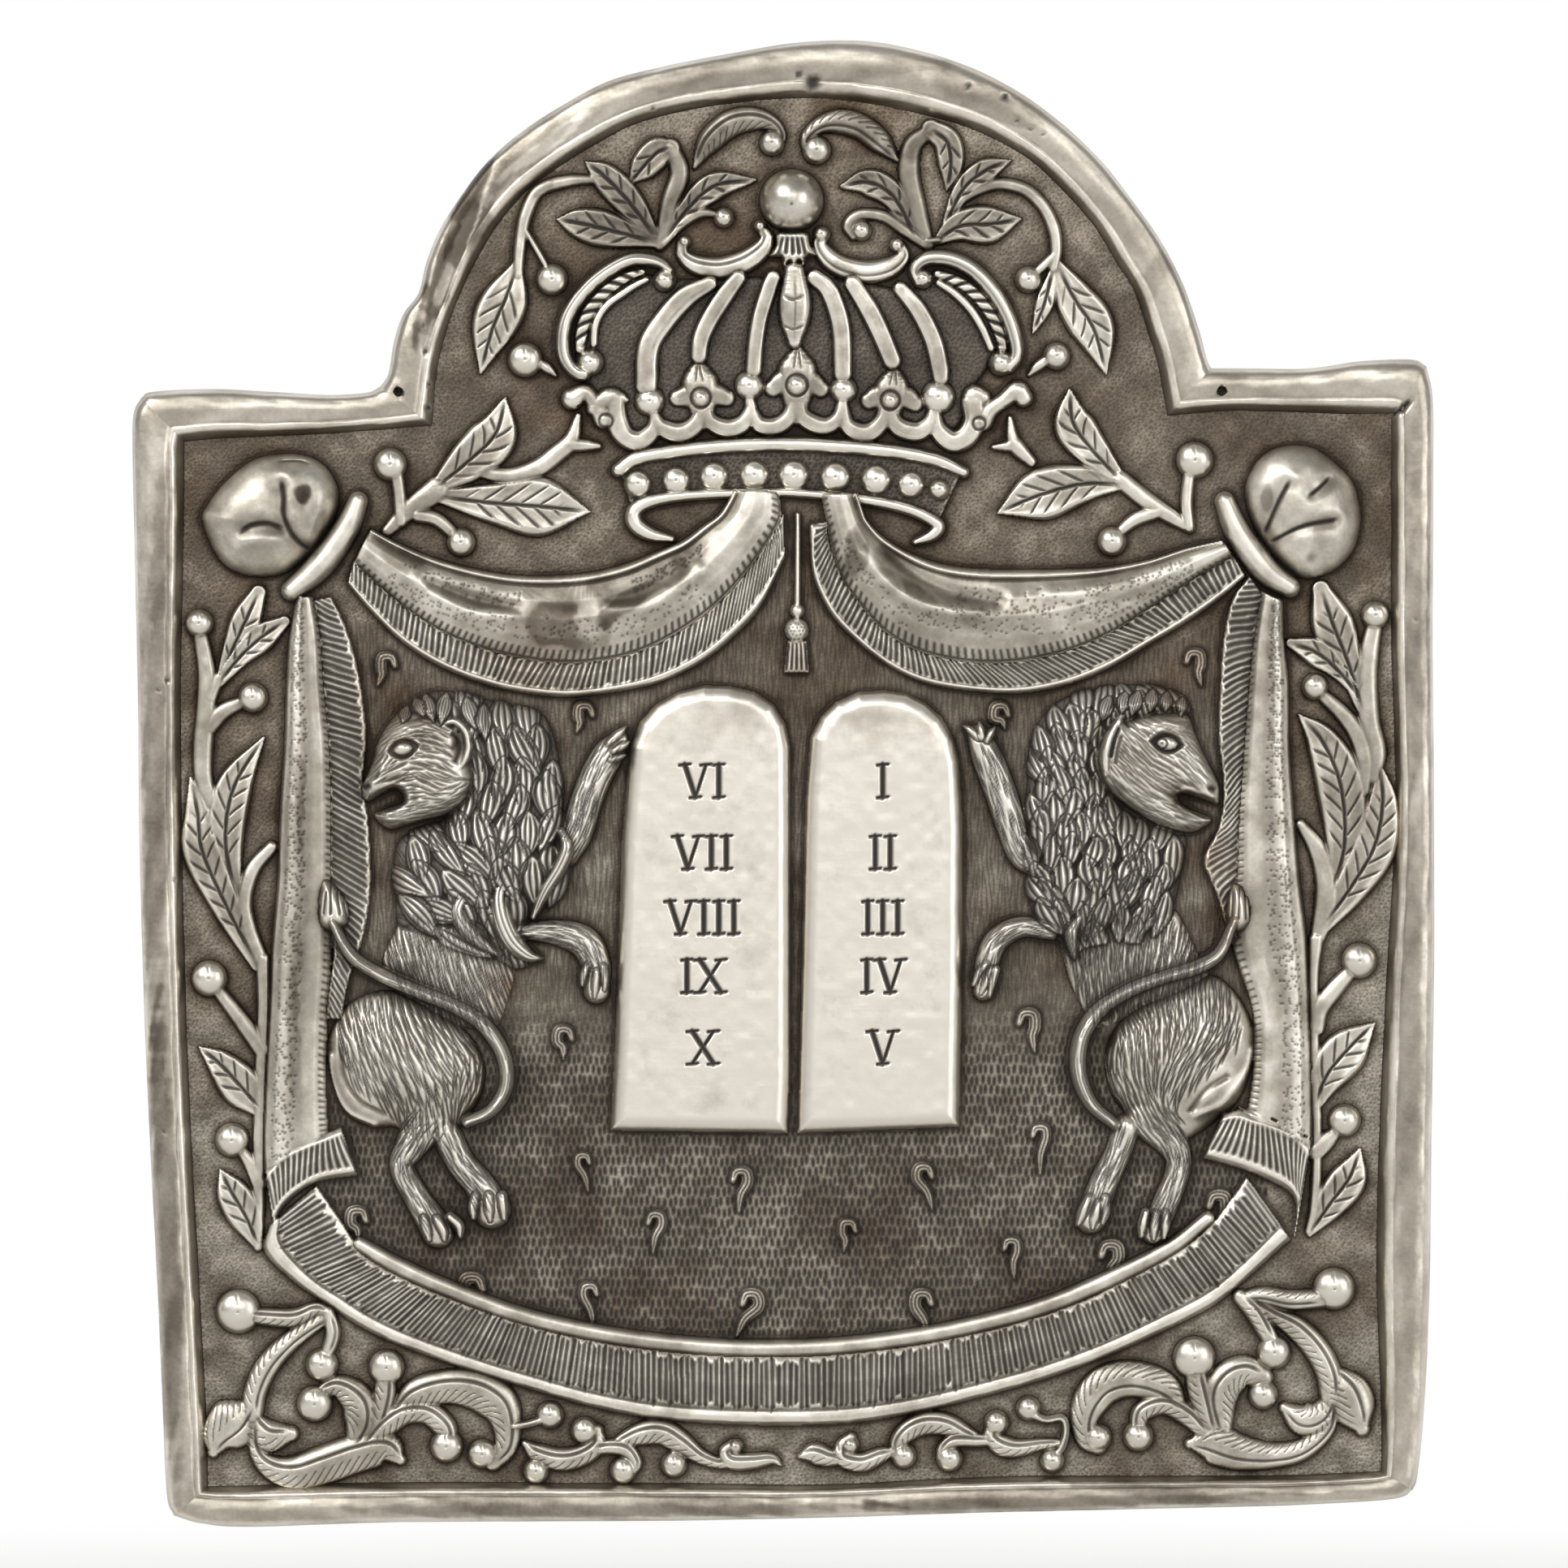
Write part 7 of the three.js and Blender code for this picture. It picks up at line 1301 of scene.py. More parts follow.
crown = {
    "cap": [[-.138, .862], [-.15, .8775], [-.1595, .9], [-.1585, .923], [-.148, .945], [-.13, .961],
        [-.105, .965], [-.076, .9615], [-.035, .963], [-.0055, .9635], [.021, .9635], [.04, .962],
        [.07, .9575], [.1, .953], [.118, .965], [.138, .959], [.155, .943], [.167, .92], [.1655, .904],
        [.155, .8895], [.146, .876], [.14, .856], [.128, .843], [.09, .845], [.03, .85], [-.03, .849],
        [-.08, .845], [-.118, .842]],
    "hoops": [[[-.056, .9575, .006], [-.0747, .9471, .0087], [-.0915, .9286, .009], [-.1033, .9084, .009],
            [-.105, .8795, .009]],
        [[-.034, .962, .006], [-.0444, .9488, .0075], [-.0562, .9303, .0075], [-.0629, .9151, .0072],
         [-.0646, .902, .0067]],
        [[-.0075, .962, .006], [-.0108, .9538, .0066], [-.0175, .932, .0066], [-.0209, .9118, .0066],
         [-.0225, .8915, .0066]],
        [[.0245, .962, .0067], [.0345, .9534, .0075], [.0416, .9368, .0078], [.0453, .9184, .0078],
         [.0462, .8885, .0075]],
        [[.0535, .9575, .0067], [.0656, .9387, .0078], [.0748, .9203, .0078], [.084, .8985, .0075]],
        [[.0905, .9535, .006], [.1042, .9368, .0072], [.1153, .9147, .0075], [.1205, .8935, .0075],
         [.1215, .8855, .0067]]],
    "baluster": [[.009, .966, .0085], [.0095, .945, .013], [.009, .928, .0118], [.009, .913, .006]],
    "archLeft": [[-.153, .888, .0058], [-.1587, .8892, .0056], [-.1651, .8957, .0056],
        [-.1688, .9058, .0058], [-.1688, .9202, .0058], [-.1648, .9339, .0058], [-.1565, .9469, .0058],
        [-.1457, .9585, .0057], [-.1334, .9678, .0057], [-.1204, .9747, .0056], [-.1096, .9765, .0054],
        [-.0952, .9736, .0047], [-.0868, .9675, .0032]],
    "archLeftBalls": [[-.148, .897, .011], [-.091, .96, .0092]],
    "archRight": [[.104, .958, .0036], [.101, .968, .0045], [.11, .9765, .0059], [.127, .977, .0065],
        [.145, .969, .0065], [.161, .953, .0065], [.173, .933, .0063], [.1795, .912, .0059],
        [.179, .9, .0054], [.174, .893, .005]],
    "archRightBalls": [[.168, .8965, .01], [.108, .961, .0078]],
    "calyx": [[-.005, .997], [.0075, .9985], [.0195, .997], [.0215, .988], [.0255, .979], [.019, .978],
        [.016, .97], [.0125, .974], [.0086, .9635], [.005, .9735], [.0005, .969], [-.002, .9775],
        [-.0105, .978], [-.006, .987]],
    "scrollLeft": [[-.0775, .988, .0045], [-.077, .9795, .005], [-.066, .972, .0073],
        [-.048, .9695, .0084], [-.03, .9745, .0084], [-.0165, .984, .0073], [-.0125, .993, .0056],
        [-.0165, 1, .0039]],
    "scrollRight": [[.032, .996, .0045], [.0285, .988, .0056], [.0345, .978, .0073], [.046, .9705, .0081],
        [.064, .9665, .0084], [.082, .97, .0078], [.092, .9785, .0056], [.0905, .987, .0039]],
    "scallops": [[[-.129, .868, .0079], [-.1275, .852, .009], [-.121, .84, .0085], [-.11, .837, .0082],
            [-.1, .845, .0069], [-.0985, .856, .0046]],
        [[-.099, .856, .0046], [-.093, .847, .0073], [-.08, .843, .0082], [-.069, .8475, .0077],
         [-.063, .857, .0073], [-.062, .866, .0079]],
        [[-.0605, .864, .0066], [-.056, .852, .0069], [-.043, .8465, .0077], [-.031, .85, .0073],
         [-.025, .86, .0059], [-.0255, .868, .0046]],
        [[-.0245, .86, .0053], [-.018, .8495, .0069], [-.006, .848, .0074], [.004, .854, .0069],
         [.009, .865, .0066]],
        [[.012, .868, .0066], [.0145, .8565, .0073], [.024, .85, .0074], [.034, .8485, .0071],
         [.0425, .854, .0063], [.046, .866, .005]],
        [[.046, .864, .005], [.049, .85, .0066], [.058, .8435, .0077], [.068, .844, .0077],
         [.0765, .852, .0071], [.0805, .864, .0073]],
        [[.0825, .864, .0066], [.0845, .853, .0073], [.092, .846, .0079], [.104, .844, .0079],
         [.113, .85, .0069], [.1165, .86, .0053]],
        [[.1165, .86, .0053], [.119, .846, .0073], [.13, .8365, .0085], [.141, .84, .0087],
         [.1475, .852, .009], [.1465, .866, .0099]]],
    "crestingPearls": [[-.1026, .8672, .0125], [-.0259, .8792, .0122], [.0467, .8759, .0113],
        [.1195, .8703, .0139]],
    "crestingEnds": [
        [[-.162, .869, .0092], [-.152, .874, .007], [-.145, .866, .0072], [-.138, .854, .0085]],
        [[-.145, .862, .007], [-.134, .87, .0088], [-.125, .87, .006], [-.1205, .868, .003]],
        [[.154, .852, .0085], [.16, .861, .0072], [.17, .868, .0068], [.18, .875, .0085],
         [.185, .87, .008]],
        [[.144, .864, .008], [.147, .872, .0085], [.154, .87, .007]]],
    "band": [[-.1255, .816, -.1165, .785], [-.1136, .8225, -.1, .7908], [-.0879, .8279, -.0751, .7946],
        [-.0546, .8318, -.04, .7964], [-.0213, .8338, -.01, .7972], [.01, .834, .015, .7965],
        [.03, .8331, .0351, .7946], [.0659, .8305, .0659, .7908], [.0992, .8262, .0915, .7856],
        [.1223, .8203, .1121, .7779], [.1375, .813, .1185, .7725]],
    "bandTopRim": [[-.1265, .814, .0059], [-.1136, .8228, .0063], [-.0879, .8279, .0064],
        [-.0546, .8318, .0064], [-.0213, .8338, .0064], [.01, .834, .0064], [.03, .8331, .0064],
        [.0659, .8305, .0064], [.0992, .8262, .0062], [.1223, .8203, .0059], [.139, .8126, .0049]],
    "bandLowRim": [[-.0854, .7613, .003], [-.1025, .7651, .0061], [-.1135, .773, .0071],
        [-.1136, .7835, .0065], [-.1, .7908, .0057], [-.0751, .7946, .0049], [-.0367, .7964, .0043],
        [0, .797, .0041], [.0351, .7946, .0043], [.0659, .7908, .0049], [.0915, .7856, .0052],
        [.11, .7785, .0054], [.1195, .7712, .0057], [.1145, .764, .0052], [.1018, .7587, .0027]],
    "bandPearls": [[-.1115, .8036, .0114], [-.0823, .8062, .0118], [-.0531, .8095, .0122],
        [-.0221, .8105, .0125], [.0082, .8103, .0129], [.0403, .8087, .0129], [.0715, .8069, .0127],
        [.0985, .8031, .0114], [.1203, .7992, .0085]],
    "fleurons": [(
            [[-.0612, .852, .005], [-.0625, .868, .0085], [-.064, .884, .0092], [-.0649, .8975, .003]],
            [[-.0805, .8695, .003], [-.071, .8715, .0065], [-.054, .8725, .0068], [-.0435, .8695, .003]],
            [-.0631, .8695, .0078]),
        ([[.0105, .856, .005], [.0108, .876, .009], [.0112, .894, .0098], [.0115, .9095, .002]],
         [[-.0075, .877, .003], [.002, .8825, .007], [.019, .8825, .007], [.029, .8765, .003]],
         [.0108, .8792, .0085]),
        ([[.0815, .853, .005], [.0826, .868, .0085], [.0848, .881, .0085], [.0858, .8935, .002]],
         [[.0665, .8675, .003], [.0745, .8705, .006], [.0925, .8705, .0065], [.1015, .8655, .003]],
         [.0826, .8677, .0075])],
    "innerHoops": {
        "left": [[-.1453, .911, .0032], [-.1446, .9238, .0034], [-.1406, .9339, .0034],
            [-.1334, .9426, .0034], [-.1233, .9498, .0034], [-.1147, .9555, .0032], [-.105, .9605, .0028]],
        "right": [[.12, .958, .0032], [.132, .95, .0036], [.144, .938, .0038], [.153, .924, .0038],
            [.16, .908, .0034]],
    },
    "gadroons": {
        "left": [[-.156, .9075, .0046], [-.155, .9181, .0056], [-.1522, .9289, .006],
            [-.1478, .9382, .006], [-.1413, .9462, .0058], [-.1341, .9534, .0055], [-.1248, .9599, .005],
            [-.1161, .9642, .004], [-.108, .9665, .003]],
        "right": [[.119, .965, .0036], [.13, .961, .0046], [.141, .955, .0052], [.152, .945, .0056],
            [.161, .932, .0056], [.167, .918, .0052], [.169, .908, .0046]],
    },
    "scrollBalls": {
        "left": [[-.0755, .99, .005], [-.0175, 1.0018, .005]],
        "right": [[.0296, .9958, .0066], [.0877, .9875, .006]],
    },
    "orb": [.0067, 1.0217, .0252, .0245],
    "endRings": [[-.1362, .8518, .0065], [.151, .8498, .006]],
}

area = paintBoss("crown_cap", crown["cap"], raised["cap"], bevel=1.5)
stipple(owner == ownerOf("crown_cap"), area, 0.62, 0.4, 0.19, 0.16, 0.75)
here = owner[area.window] == ownerOf("crown_cap")
ink[area.window] = np.maximum(ink[area.window], 0.25 * here)
shine[area.window] = np.where(here, -0.85, shine[area.window])
for i, rows in enumerate(crown["hoops"]):
    name = f"crown_hoop_{i + 1}"
    path = paintStroke(name, rows, raised["hoop"], raised["cap"], swell=0.1, broad=6, polish=-0.3)
    chase(name, path, .45, 0.2, 0.08, 0.35, (2, 3), 0.6 + 0.4 * wave(path.along, i))
path = paintStroke("crown_baluster", crown["baluster"], raised["baluster"], raised["cap"],
                   broad=3.5, polish=-0.25)
line = ridge(path.side, 0.16) * path.inner(3, 3)
engrave("crown_baluster", path, line, 0.15, 0.4)
for up in (.948, .925):
    cutLine("crown_baluster", [[0, up], [.008, up - .003], [.016, up]], 0.2, 0.25, 0.6)
for side, sign in (("left", 1), ("right", -1)):
    name = "crown_arch_" + side
    rows = crown["arch" + side.capitalize()]
    path = paintStroke(name, rows, raised["arch"], swell=0.2, polish=0.3)
    chase(name, path, sign * 0.35, 0.2, 0.25, 0.7)
    gadroons = crown["gadroons"][side]
    path = paintStroke(name, gadroons, raised["arch"] * 0.62, swell=0.1, broad=5)
    line = teeth(path.along + 0.85 * sign * path.side, 2.1, 0.34) * (path.share < 1) * path.inner(1, 1)
    engrave(name, path, line, 0.6, 1.0)
    paintStroke(name, crown["innerHoops"][side], raised["arch"] * 0.72, swell=0.1, broad=5)
    for spot in crown["arch" + side.capitalize() + "Balls"]:
        paintBerry(name, spot, raised["arch"] + 0.4)
    name = "crown_scroll_" + side
    rows = crown["scroll" + side.capitalize()]
    path = paintStroke(name, rows, raised["scroll"], broad=3.5, polish=0.15, grow=1.12)
    chase(name, path, sign * 0.3, 0.22, 0.3, 0.7)
    for spot in crown["scrollBalls"][side]:
        paintBerry(name, spot, raised["scroll"] + 0.4)
paintBoss("crown_calyx", crown["calyx"], raised["calyx"], bevel=1.2)
calyxFoot, calyxTop = .979, .9935
calyxFlutes = [[-.004, 0], [.002, .0035], [.0078, .0072], [.013, .0108], [.0175, .0142]]
for foot, top in calyxFlutes:
    cutLine("crown_calyx", [[foot, calyxFoot], [top, calyxTop]], 0.3, 0.5, 1.0)
orbAcross, orbUp, orbHalfWidth, orbHalfHeight = crown["orb"]
orb = Spot(orbAcross, orbUp, 6)
away = np.hypot(orb.dx / (orbHalfWidth * plateWidth), orb.dz / (orbHalfHeight * plateWidth))
raiseTo("crown_orb", orb, raised["orb"] * np.clip(1 - away ** 2, 0, 1) ** 0.5, away < 1)
mark = ridge(np.hypot(orb.dx, orb.dz + 0.9), 0.26)
engrave("crown_orb", orb, mark, 0.2, 0.8)


# A chased ring at a share of the radius of [across, up, radius]
def chaseRing(name, boss, share, width, depth):
    ring = Spot(boss[0], boss[1], 3)
    line = ridge(np.hypot(ring.dx, ring.dz) - boss[2] * plateWidth * share, width)
    engrave(name, ring, line, depth, 0.95)


name = "crown_cresting"
for rows in crown["scallops"]:
    path = paintStroke(name, rows, raised["cresting"], swell=0.15, broad=4, polish=-0.1, grow=1.05)
    chase(name, path, .6, 0.15, 0.12, 0.4, (1.5, 1.5))
for rows in crown["crestingEnds"]:
    paintStroke(name, rows, raised["cresting"], fullness=0.5, swell=0.3)
for stem, lobes, boss in crown["fleurons"]:
    lobes = np.array(lobes)
    lobes[:, 2] = [.0078, .0105, .0105, .0078]
    paintStroke(name, lobes, raised["cresting"], broad=4, polish=-0.2)
    paintStroke(name, stem, raised["cresting"] + 0.3, broad=4, polish=-0.2, grow=1.6)
    for shift in (-.0028, .0028):
        foot, tip = stem[2], stem[3]
        line = [[foot[0] + shift, foot[1] - .002], [tip[0] + shift * .3, tip[1] - .003]]
        cutLine(name, line, 0.15, 0.15, 0.8)
    paintBerry(name, [boss[0], boss[1], boss[2] * 1.1], raised["cresting"] + 1.0)
    chaseRing(name, boss, 0.98, 0.2, 0.35)
for spot in crown["crestingPearls"]:
    paintBerry(name, spot, raised["cresting"] + 0.7)
for ring in crown["endRings"]:
    chaseRing(name, ring, 0.8, 0.22, 0.3)

name = "crown_band"
strip = paintStrip(name, crown["band"], [[0, raised["band"]], [1, raised["band"]]])
paintStroke(name, crown["bandTopRim"], raised["rim"], swell=0.1, polish=0.3)
paintStroke(name, crown["bandLowRim"], raised["rim"], swell=0.2, polish=0.3)
edges = np.array(crown["band"])
low = height[strip.window] < raised["band"] + 0.25
flat = np.zeros(shape, bool)
flat[strip.window] = low & strip.inside
flat &= owner == ownerOf(name)
stipple(flat, Area(np.vstack([edges[:, :2], edges[::-1, 2:]])), 0.72, 0.3, 0.2, 0.2, 0.95)
ink[flat] = np.maximum(ink[flat], 0.2)
shine[flat] = -0.8
for spot in crown["bandPearls"]:
    paintBerry(name, spot, raised["pearl"])
print("crown painted")

# Ermine tails chased into the mantle's lining: head, half width, hook side, point
ermine = [[-.306, .665, .01, 1, -.312, .648], [-.154, .627, .01, 1, -.159, .612],
    [-.17, .378, .01, 1, -.169, .361], [-.155, .282, .008, 1, -.15, .259],
    [-.329, .238, .011, 1, -.327, .221], [-.241, .185, .013, 1, -.248, .164],
    [-.15, .181, .009, 1, -.146, .153], [-.097, .236, .009, -1, -.1, .211],
    [-.031, .269, .01, -1, -.034, .243], [-.023, .174, .011, -1, -.036, .147],
    [.049, .23, .009, 1, .047, .213], [.107, .272, .01, 1, .115, .245], [.106, .174, .011, 1, .112, .143],
    [.199, .303, .009, -1, .198, .272], [.177, .216, .009, -1, .178, .192],
    [.254, .211, .012, -1, .251, .184], [.337, .249, .012, -1, .343, .231],
    [.19, .39, .011, -1, .194, .366], [.318, .668, .01, -1, .322, .648], [.166, .627, .01, 1, .171, .615]]

# A tail's hooked head, in its own half widths
hookedHead = [[.75, -.15, .28], [.45, .5, .4], [-.25, .45, .5], [-.35, -.35, .5]]
tails = np.zeros(shape, bool)
for across, up, radius, hook, endAcross, endUp in ermine:
    rows = [[across + hook * radius * a, up + radius * b, radius * c] for a, b, c in hookedHead]
    rows += [[(across + endAcross) / 2, (up + endUp) / 2, radius * .4], [endAcross, endUp, .001]]
    path = Path(rows)
    free = (owner[path.window] == 0) & (path.share < 1)
    top = raised["ermine"] * np.clip(1 - path.share ** 2.2, 0, 1) ** 0.5
    height[path.window] += np.where(free, top, 0)
    tails[path.window] |= free | ((path.share < 1.25) & (owner[path.window] == 0))
    line = teeth(path.side, 0.62, 0.13) * (path.share < 0.9) * path.inner(1.2, 1.5) * free
    cuts[path.window] = np.maximum(cuts[path.window], 0.25 * line)
    ink[path.window] = np.maximum(ink[path.window], 0.95 * line)
    rim = ridge(path.distance - path.half - 0.2, 0.3) * (owner[path.window] == 0)
    ink[path.window] = np.maximum(ink[path.window], 0.55 * rim)

# The moulding's six lengths: rows of across and up on the outer edge, then on the inner edge
frameRows = {
    "frame_arch": [[-.31, .879, -.27, .848], [-.304, .89, -.268, .872], [-.2995, .915, -.265, .896],
        [-.2925, .935, -.26, .917], [-.281, .951, -.253, .938], [-.2745, .976, -.244, .959],
        [-.264, 1.001, -.233, .981], [-.248, 1.026, -.219, 1.004], [-.226, 1.054, -.199, 1.027],
        [-.199, 1.077, -.173, 1.047], [-.168, 1.097, -.144, 1.065], [-.133, 1.115, -.112, 1.081],
        [-.09, 1.126, -.075, 1.091], [-.045, 1.135, -.035, 1.097], [.01, 1.144, .008, 1.1],
        [.06, 1.1455, .048, 1.0985], [.105, 1.138, .088, 1.092], [.145, 1.125, .123, 1.084],
        [.182, 1.106, .156, 1.072], [.217, 1.08, .188, 1.054], [.247, 1.051, .215, 1.03],
        [.272, 1.019, .239, 1.003], [.292, .99, .256, .975], [.308, .959, .271, .95],
        [.32, .925, .281, .92], [.3265, .902, .288, .898], [.33, .893, .296, .856]],
    "frame_stile_left": [[-.4944, .8704, -.4608, .8364], [-.5005, .858, -.461, .828],
        [-.5015, .83, -.461, .81], [-.5, .76, -.4612, .76], [-.4975, .65, -.4635, .65],
        [-.4955, .5, -.462, .5], [-.4905, .35, -.4575, .35], [-.483, .2, -.45, .2],
        [-.478, .09, -.444, .09], [-.4752, .026, -.4425, .042], [-.4694, .0088, -.4425, .032]],
    "frame_stile_right": [[.4855, .029, .46, .0438], [.4895, .042, .4605, .062], [.495, .1, .46, .105],
        [.499, .2, .457, .2], [.5, .3, .459, .3], [.502, .42, .4645, .42], [.502, .55, .4715, .55],
        [.501, .68, .4685, .68], [.5013, .79, .468, .79], [.5012, .866, .468, .842],
        [.496, .8945, .468, .8564]],
    "frame_rail_bottom": [[-.4694, .0088, -.4425, .032], [-.448, .0025, -.43, .0325],
        [-.41, 0, -.4, .033], [-.29, .0035, -.29, .035], [-.1, .0045, -.1, .0346],
        [.03, .007, .03, .0334], [.16, .011, .16, .0395], [.3, .0142, .3, .04], [.4, .017, .39, .0405],
        [.47, .0215, .445, .043], [.4855, .029, .46, .0438]],
    "frame_shoulder_left": [[-.4944, .8704, -.4608, .8364], [-.485, .875, -.456, .8367],
        [-.4387, .8771, -.43, .8388], [-.395, .875, -.388, .8402], [-.35, .8726, -.345, .8424],
        [-.3213, .8742, -.305, .8455], [-.31, .879, -.27, .848]],
    "frame_shoulder_right": [[.496, .8945, .468, .8564], [.484, .8998, .46, .8566],
        [.445, .8985, .43, .8575], [.404, .893, .39, .859], [.35, .893, .34, .8595],
        [.33, .893, .296, .856]],
}

# The sheet's punch marks: lining inside the mantle, matting outside it
mantleOutline = [[-.36, .71], [-.345, .5], [-.365, .32], [-.36, .24], [-.33, .2], [-.2, .145], [0, .128],
    [.2, .15], [.33, .21], [.375, .25], [.37, .32], [.345, .5], [.36, .71], [.3, .68], [.2, .655],
    [.1, .67], [.04, .72], [.01, .79], [-.03, .72], [-.1, .67], [-.2, .655], [-.3, .69]]
lined = Area(mantleOutline, smooth=False)
inMantle = np.zeros(shape, bool)
inMantle[lined.window] = lined.inside
bare = (owner == 0) & ~tails
taken = blur((owner > 0).astype(np.float32), 0.75)
upShares = (gridUp / plateWidth)[:, None] + 0 * gridAcross[None, :]

# Short dashes low in the lining, long fine hatching high in it, and both where they meet
dashesBelow, hatchingAbove = .43, .33
dashLength, hatchLength = 1.45, 3.6
dashes = Marks()
spots = scatterIn(lined, 0.92, 0.16, 0.3, 2.05)
low = spots[spots[:, 1] < dashesBelow * plateWidth]
lean = math.pi / 2 + draws.uniform(-0.07, 0.07, len(low))
dashes.strokes(low[:, 0], low[:, 1], lean, dashLength, 0.3)
fade = np.clip(1.15 - softStep(upShares, .33, .42) * 0.9, 0, 1) * np.clip(1.3 - 2.2 * taken, 0, 1)
dashes.field *= fade
dashes.cut(bare & inMantle, 0.26, 0.95)
hatching = Marks()
spots = scatterIn(lined, 0.75, 0.4, 0.3, 3.4)
high = spots[spots[:, 1] > hatchingAbove * plateWidth]
lean = math.pi / 2 + draws.uniform(-0.12, 0.12, len(high))
hatching.strokes(high[:, 0], high[:, 1], lean, hatchLength, 0.14)
hatching.field *= softStep(upShares, .33, .42) * np.clip(1.5 - 1.6 * taken, 0, 1)
hatching.cut(bare & inMantle, 0.1, 0.5)

matting = Marks()
whole = Area([[-.48, .02], [.49, .02], [.49, 1.12], [-.48, 1.12]], smooth=False)
spots = scatterIn(whole, 0.6, 0.36)
matting.dots(spots[:, 0], spots[:, 1], 0.18, draws.uniform(0.4, 1.0, len(spots)))
matting.field *= np.clip(1.35 - 1.5 * taken, 0, 1)
matting.cut(bare & ~inMantle, 0.13, 0.55)
print("ground chased")

# Painted dark reflections on the drapery, the knots and the top foliage, and painted shade in the left
# knot's dent: across, up, long, wide, degrees, strength
darkReflections = [[-.178, .69, .036, .017, -4, .34], [-.235, .715, .03, .009, -14, .2],
    [-.12, .712, .034, .008, 32, .26], [-.075, .745, .022, .01, 45, .25],
    [-.29, .745, .018, .009, -20, .18], [.055, .75, .01, .024, -20, .3], [-.105, 1.028, .1, .056, 0, .26],
    [.114, 1.03, .095, .056, 0, .26], [-.035, 1.078, .05, .03, 0, .24], [.052, 1.074, .05, .03, 0, .24],
    [.1, .722, .03, .008, -35, .24], [.15, .7, .03, .012, -5, .14], [.27, .722, .03, .01, 10, .16],
    [-.235, .748, .09, .024, -14, .16], [-.11, .728, .05, .022, 22, .16], [-.372, .48, .018, .16, 0, .07],
    [-.3687, .7925, .008, .011, 0, .5], [-.355, .775, .006, .02, -20, .2], [.372, .79, .006, .012, 0, .2],
    [-.372, .56, .006, .05, 0, .16], [-.376, .4, .006, .06, 0, .14], [.38, .45, .007, .05, 0, .08]]

# Patches worn through to a red brass tone: across, up, radius, strength
worn = [
    [-.3, .64, .028, .9], [.3, .65, .024, .9], [.335, .47, .014, 1], [-.215, .415, .014, .9],
    [-.305, .5, .016, .6], [.16, .47, .02, .4], [-.19, .665, .03, .5], [.02, .665, .02, .4],
    [-.315, .3, .012, .5], [.325, .515, .02, .7],
]

# Final heights and each point's tone: patina, wear, painted shade and painted reflections
height = blur(height, 0.1 if cell < 0.2 else 0.15)
raisedHere = owner > 0
dents = 0.1 * cloud(11, 1) + 0.05 * cloud(4.5, 2)
smallDents = 0.025 * cloud(1.6, 3)
height += np.where(raisedHere, 0.5, 1.0) * dents + smallDents
height -= np.where(raisedHere, 0, 0.1 * np.clip(taken * 1.6, 0, 1))
height -= cuts
height = np.clip(height, -0.62, raised["orb"])
hollow = blur(height, 0.5) - height
deep = blur(height, 1.9) - height
patch = cloud(16, 4) * 0.6 + cloud(5, 5) * 0.4
speck = cloud(1.3, 6)
lumps = cloud(2.6, 12)
# Darker in hollows and lighter on crests: partly sulphide patina and rubbing, partly painted shade; the
# broad term is painted shade on the ground around the raised pieces
dark = 0.34 + 0.8 * np.clip(hollow, -0.24, 0.3) + 0.16 * np.clip(deep, -1.0, 0.8)
dark = dark + 0.08 * patch + 0.04 * speck
# The bare ground is darker than the raised pieces, more so from .6 to .85 up outside the mantle and inside
# the mantle, less near the top
groundDarkening = np.where(raisedHere, 0, 0.17 + 0.13 * softStep(upShares, .6, .85) * ~inMantle
                    - 0.16 * softStep(upShares, .95, 1.03) + 0.12 * inMantle)
dark += groundDarkening - 0.4 * shine + np.where(raisedHere, 0.05, 0.09) * lumps + 0.06 * patch
# Tablets lighter, less so at their tops: the darker tops are a painted shadow of the crown
for side in tablets:
    dark -= (owner == ownerOf("tablet_" + side)) * (0.3 - 0.2 * softStep(upShares, .585, .64))
# Painted shade: the deepest hollows darkened towards the line colour
ink = np.maximum(ink, np.clip((hollow - 0.3) * 0.9, 0, 0.5) * np.clip(0.75 + 0.7 * cloud(7, 9), 0.2, 1))
# Painted dark reflections and shade, given ragged edges
for across, up, long, wide, turn, amount in darkReflections:
    spot = Spot(across, up, max(long, wide) * plateWidth * 1.6)
    around = np.hypot(*turned(spot.dx, spot.dz, long, wide, turn)) + 0.45 * patch[spot.window]
    around = around + 0.35 * lumps[spot.window] + 0.12 * speck[spot.window]
    here = raisedHere[spot.window] * softStep(1.1 - around, 0, 0.45)
    dark[spot.window] += amount * here
# Painted shade: the bare ground next to the raised pieces is tinted darker and warmer
footShade = np.where(raisedHere, 0, np.clip(taken * 2, 0, 1))
warm = 0.3 * footShade * np.clip(0.7 + cloud(9, 10), 0.1, 1.3)
warm = warm + 0.5 * np.clip(patch + 0.05, 0, 1) * (~raisedHere)
warm += 0.22 * softStep(upShares, .5, .8) * (~raisedHere)
for across, up, radius, strength in worn:
    spot = Spot(across, up, radius * plateWidth * 2.5)
    glow = strength * np.exp(-(spot.dx ** 2 + spot.dz ** 2) / (radius * plateWidth) ** 2)
    warm[spot.window] = np.maximum(warm[spot.window], glow * (0.75 + 0.25 * speck[spot.window]))
dark, warm = np.clip(dark, 0, 1), np.clip(warm, 0, 1)
print("finish worked out")

# Meshes


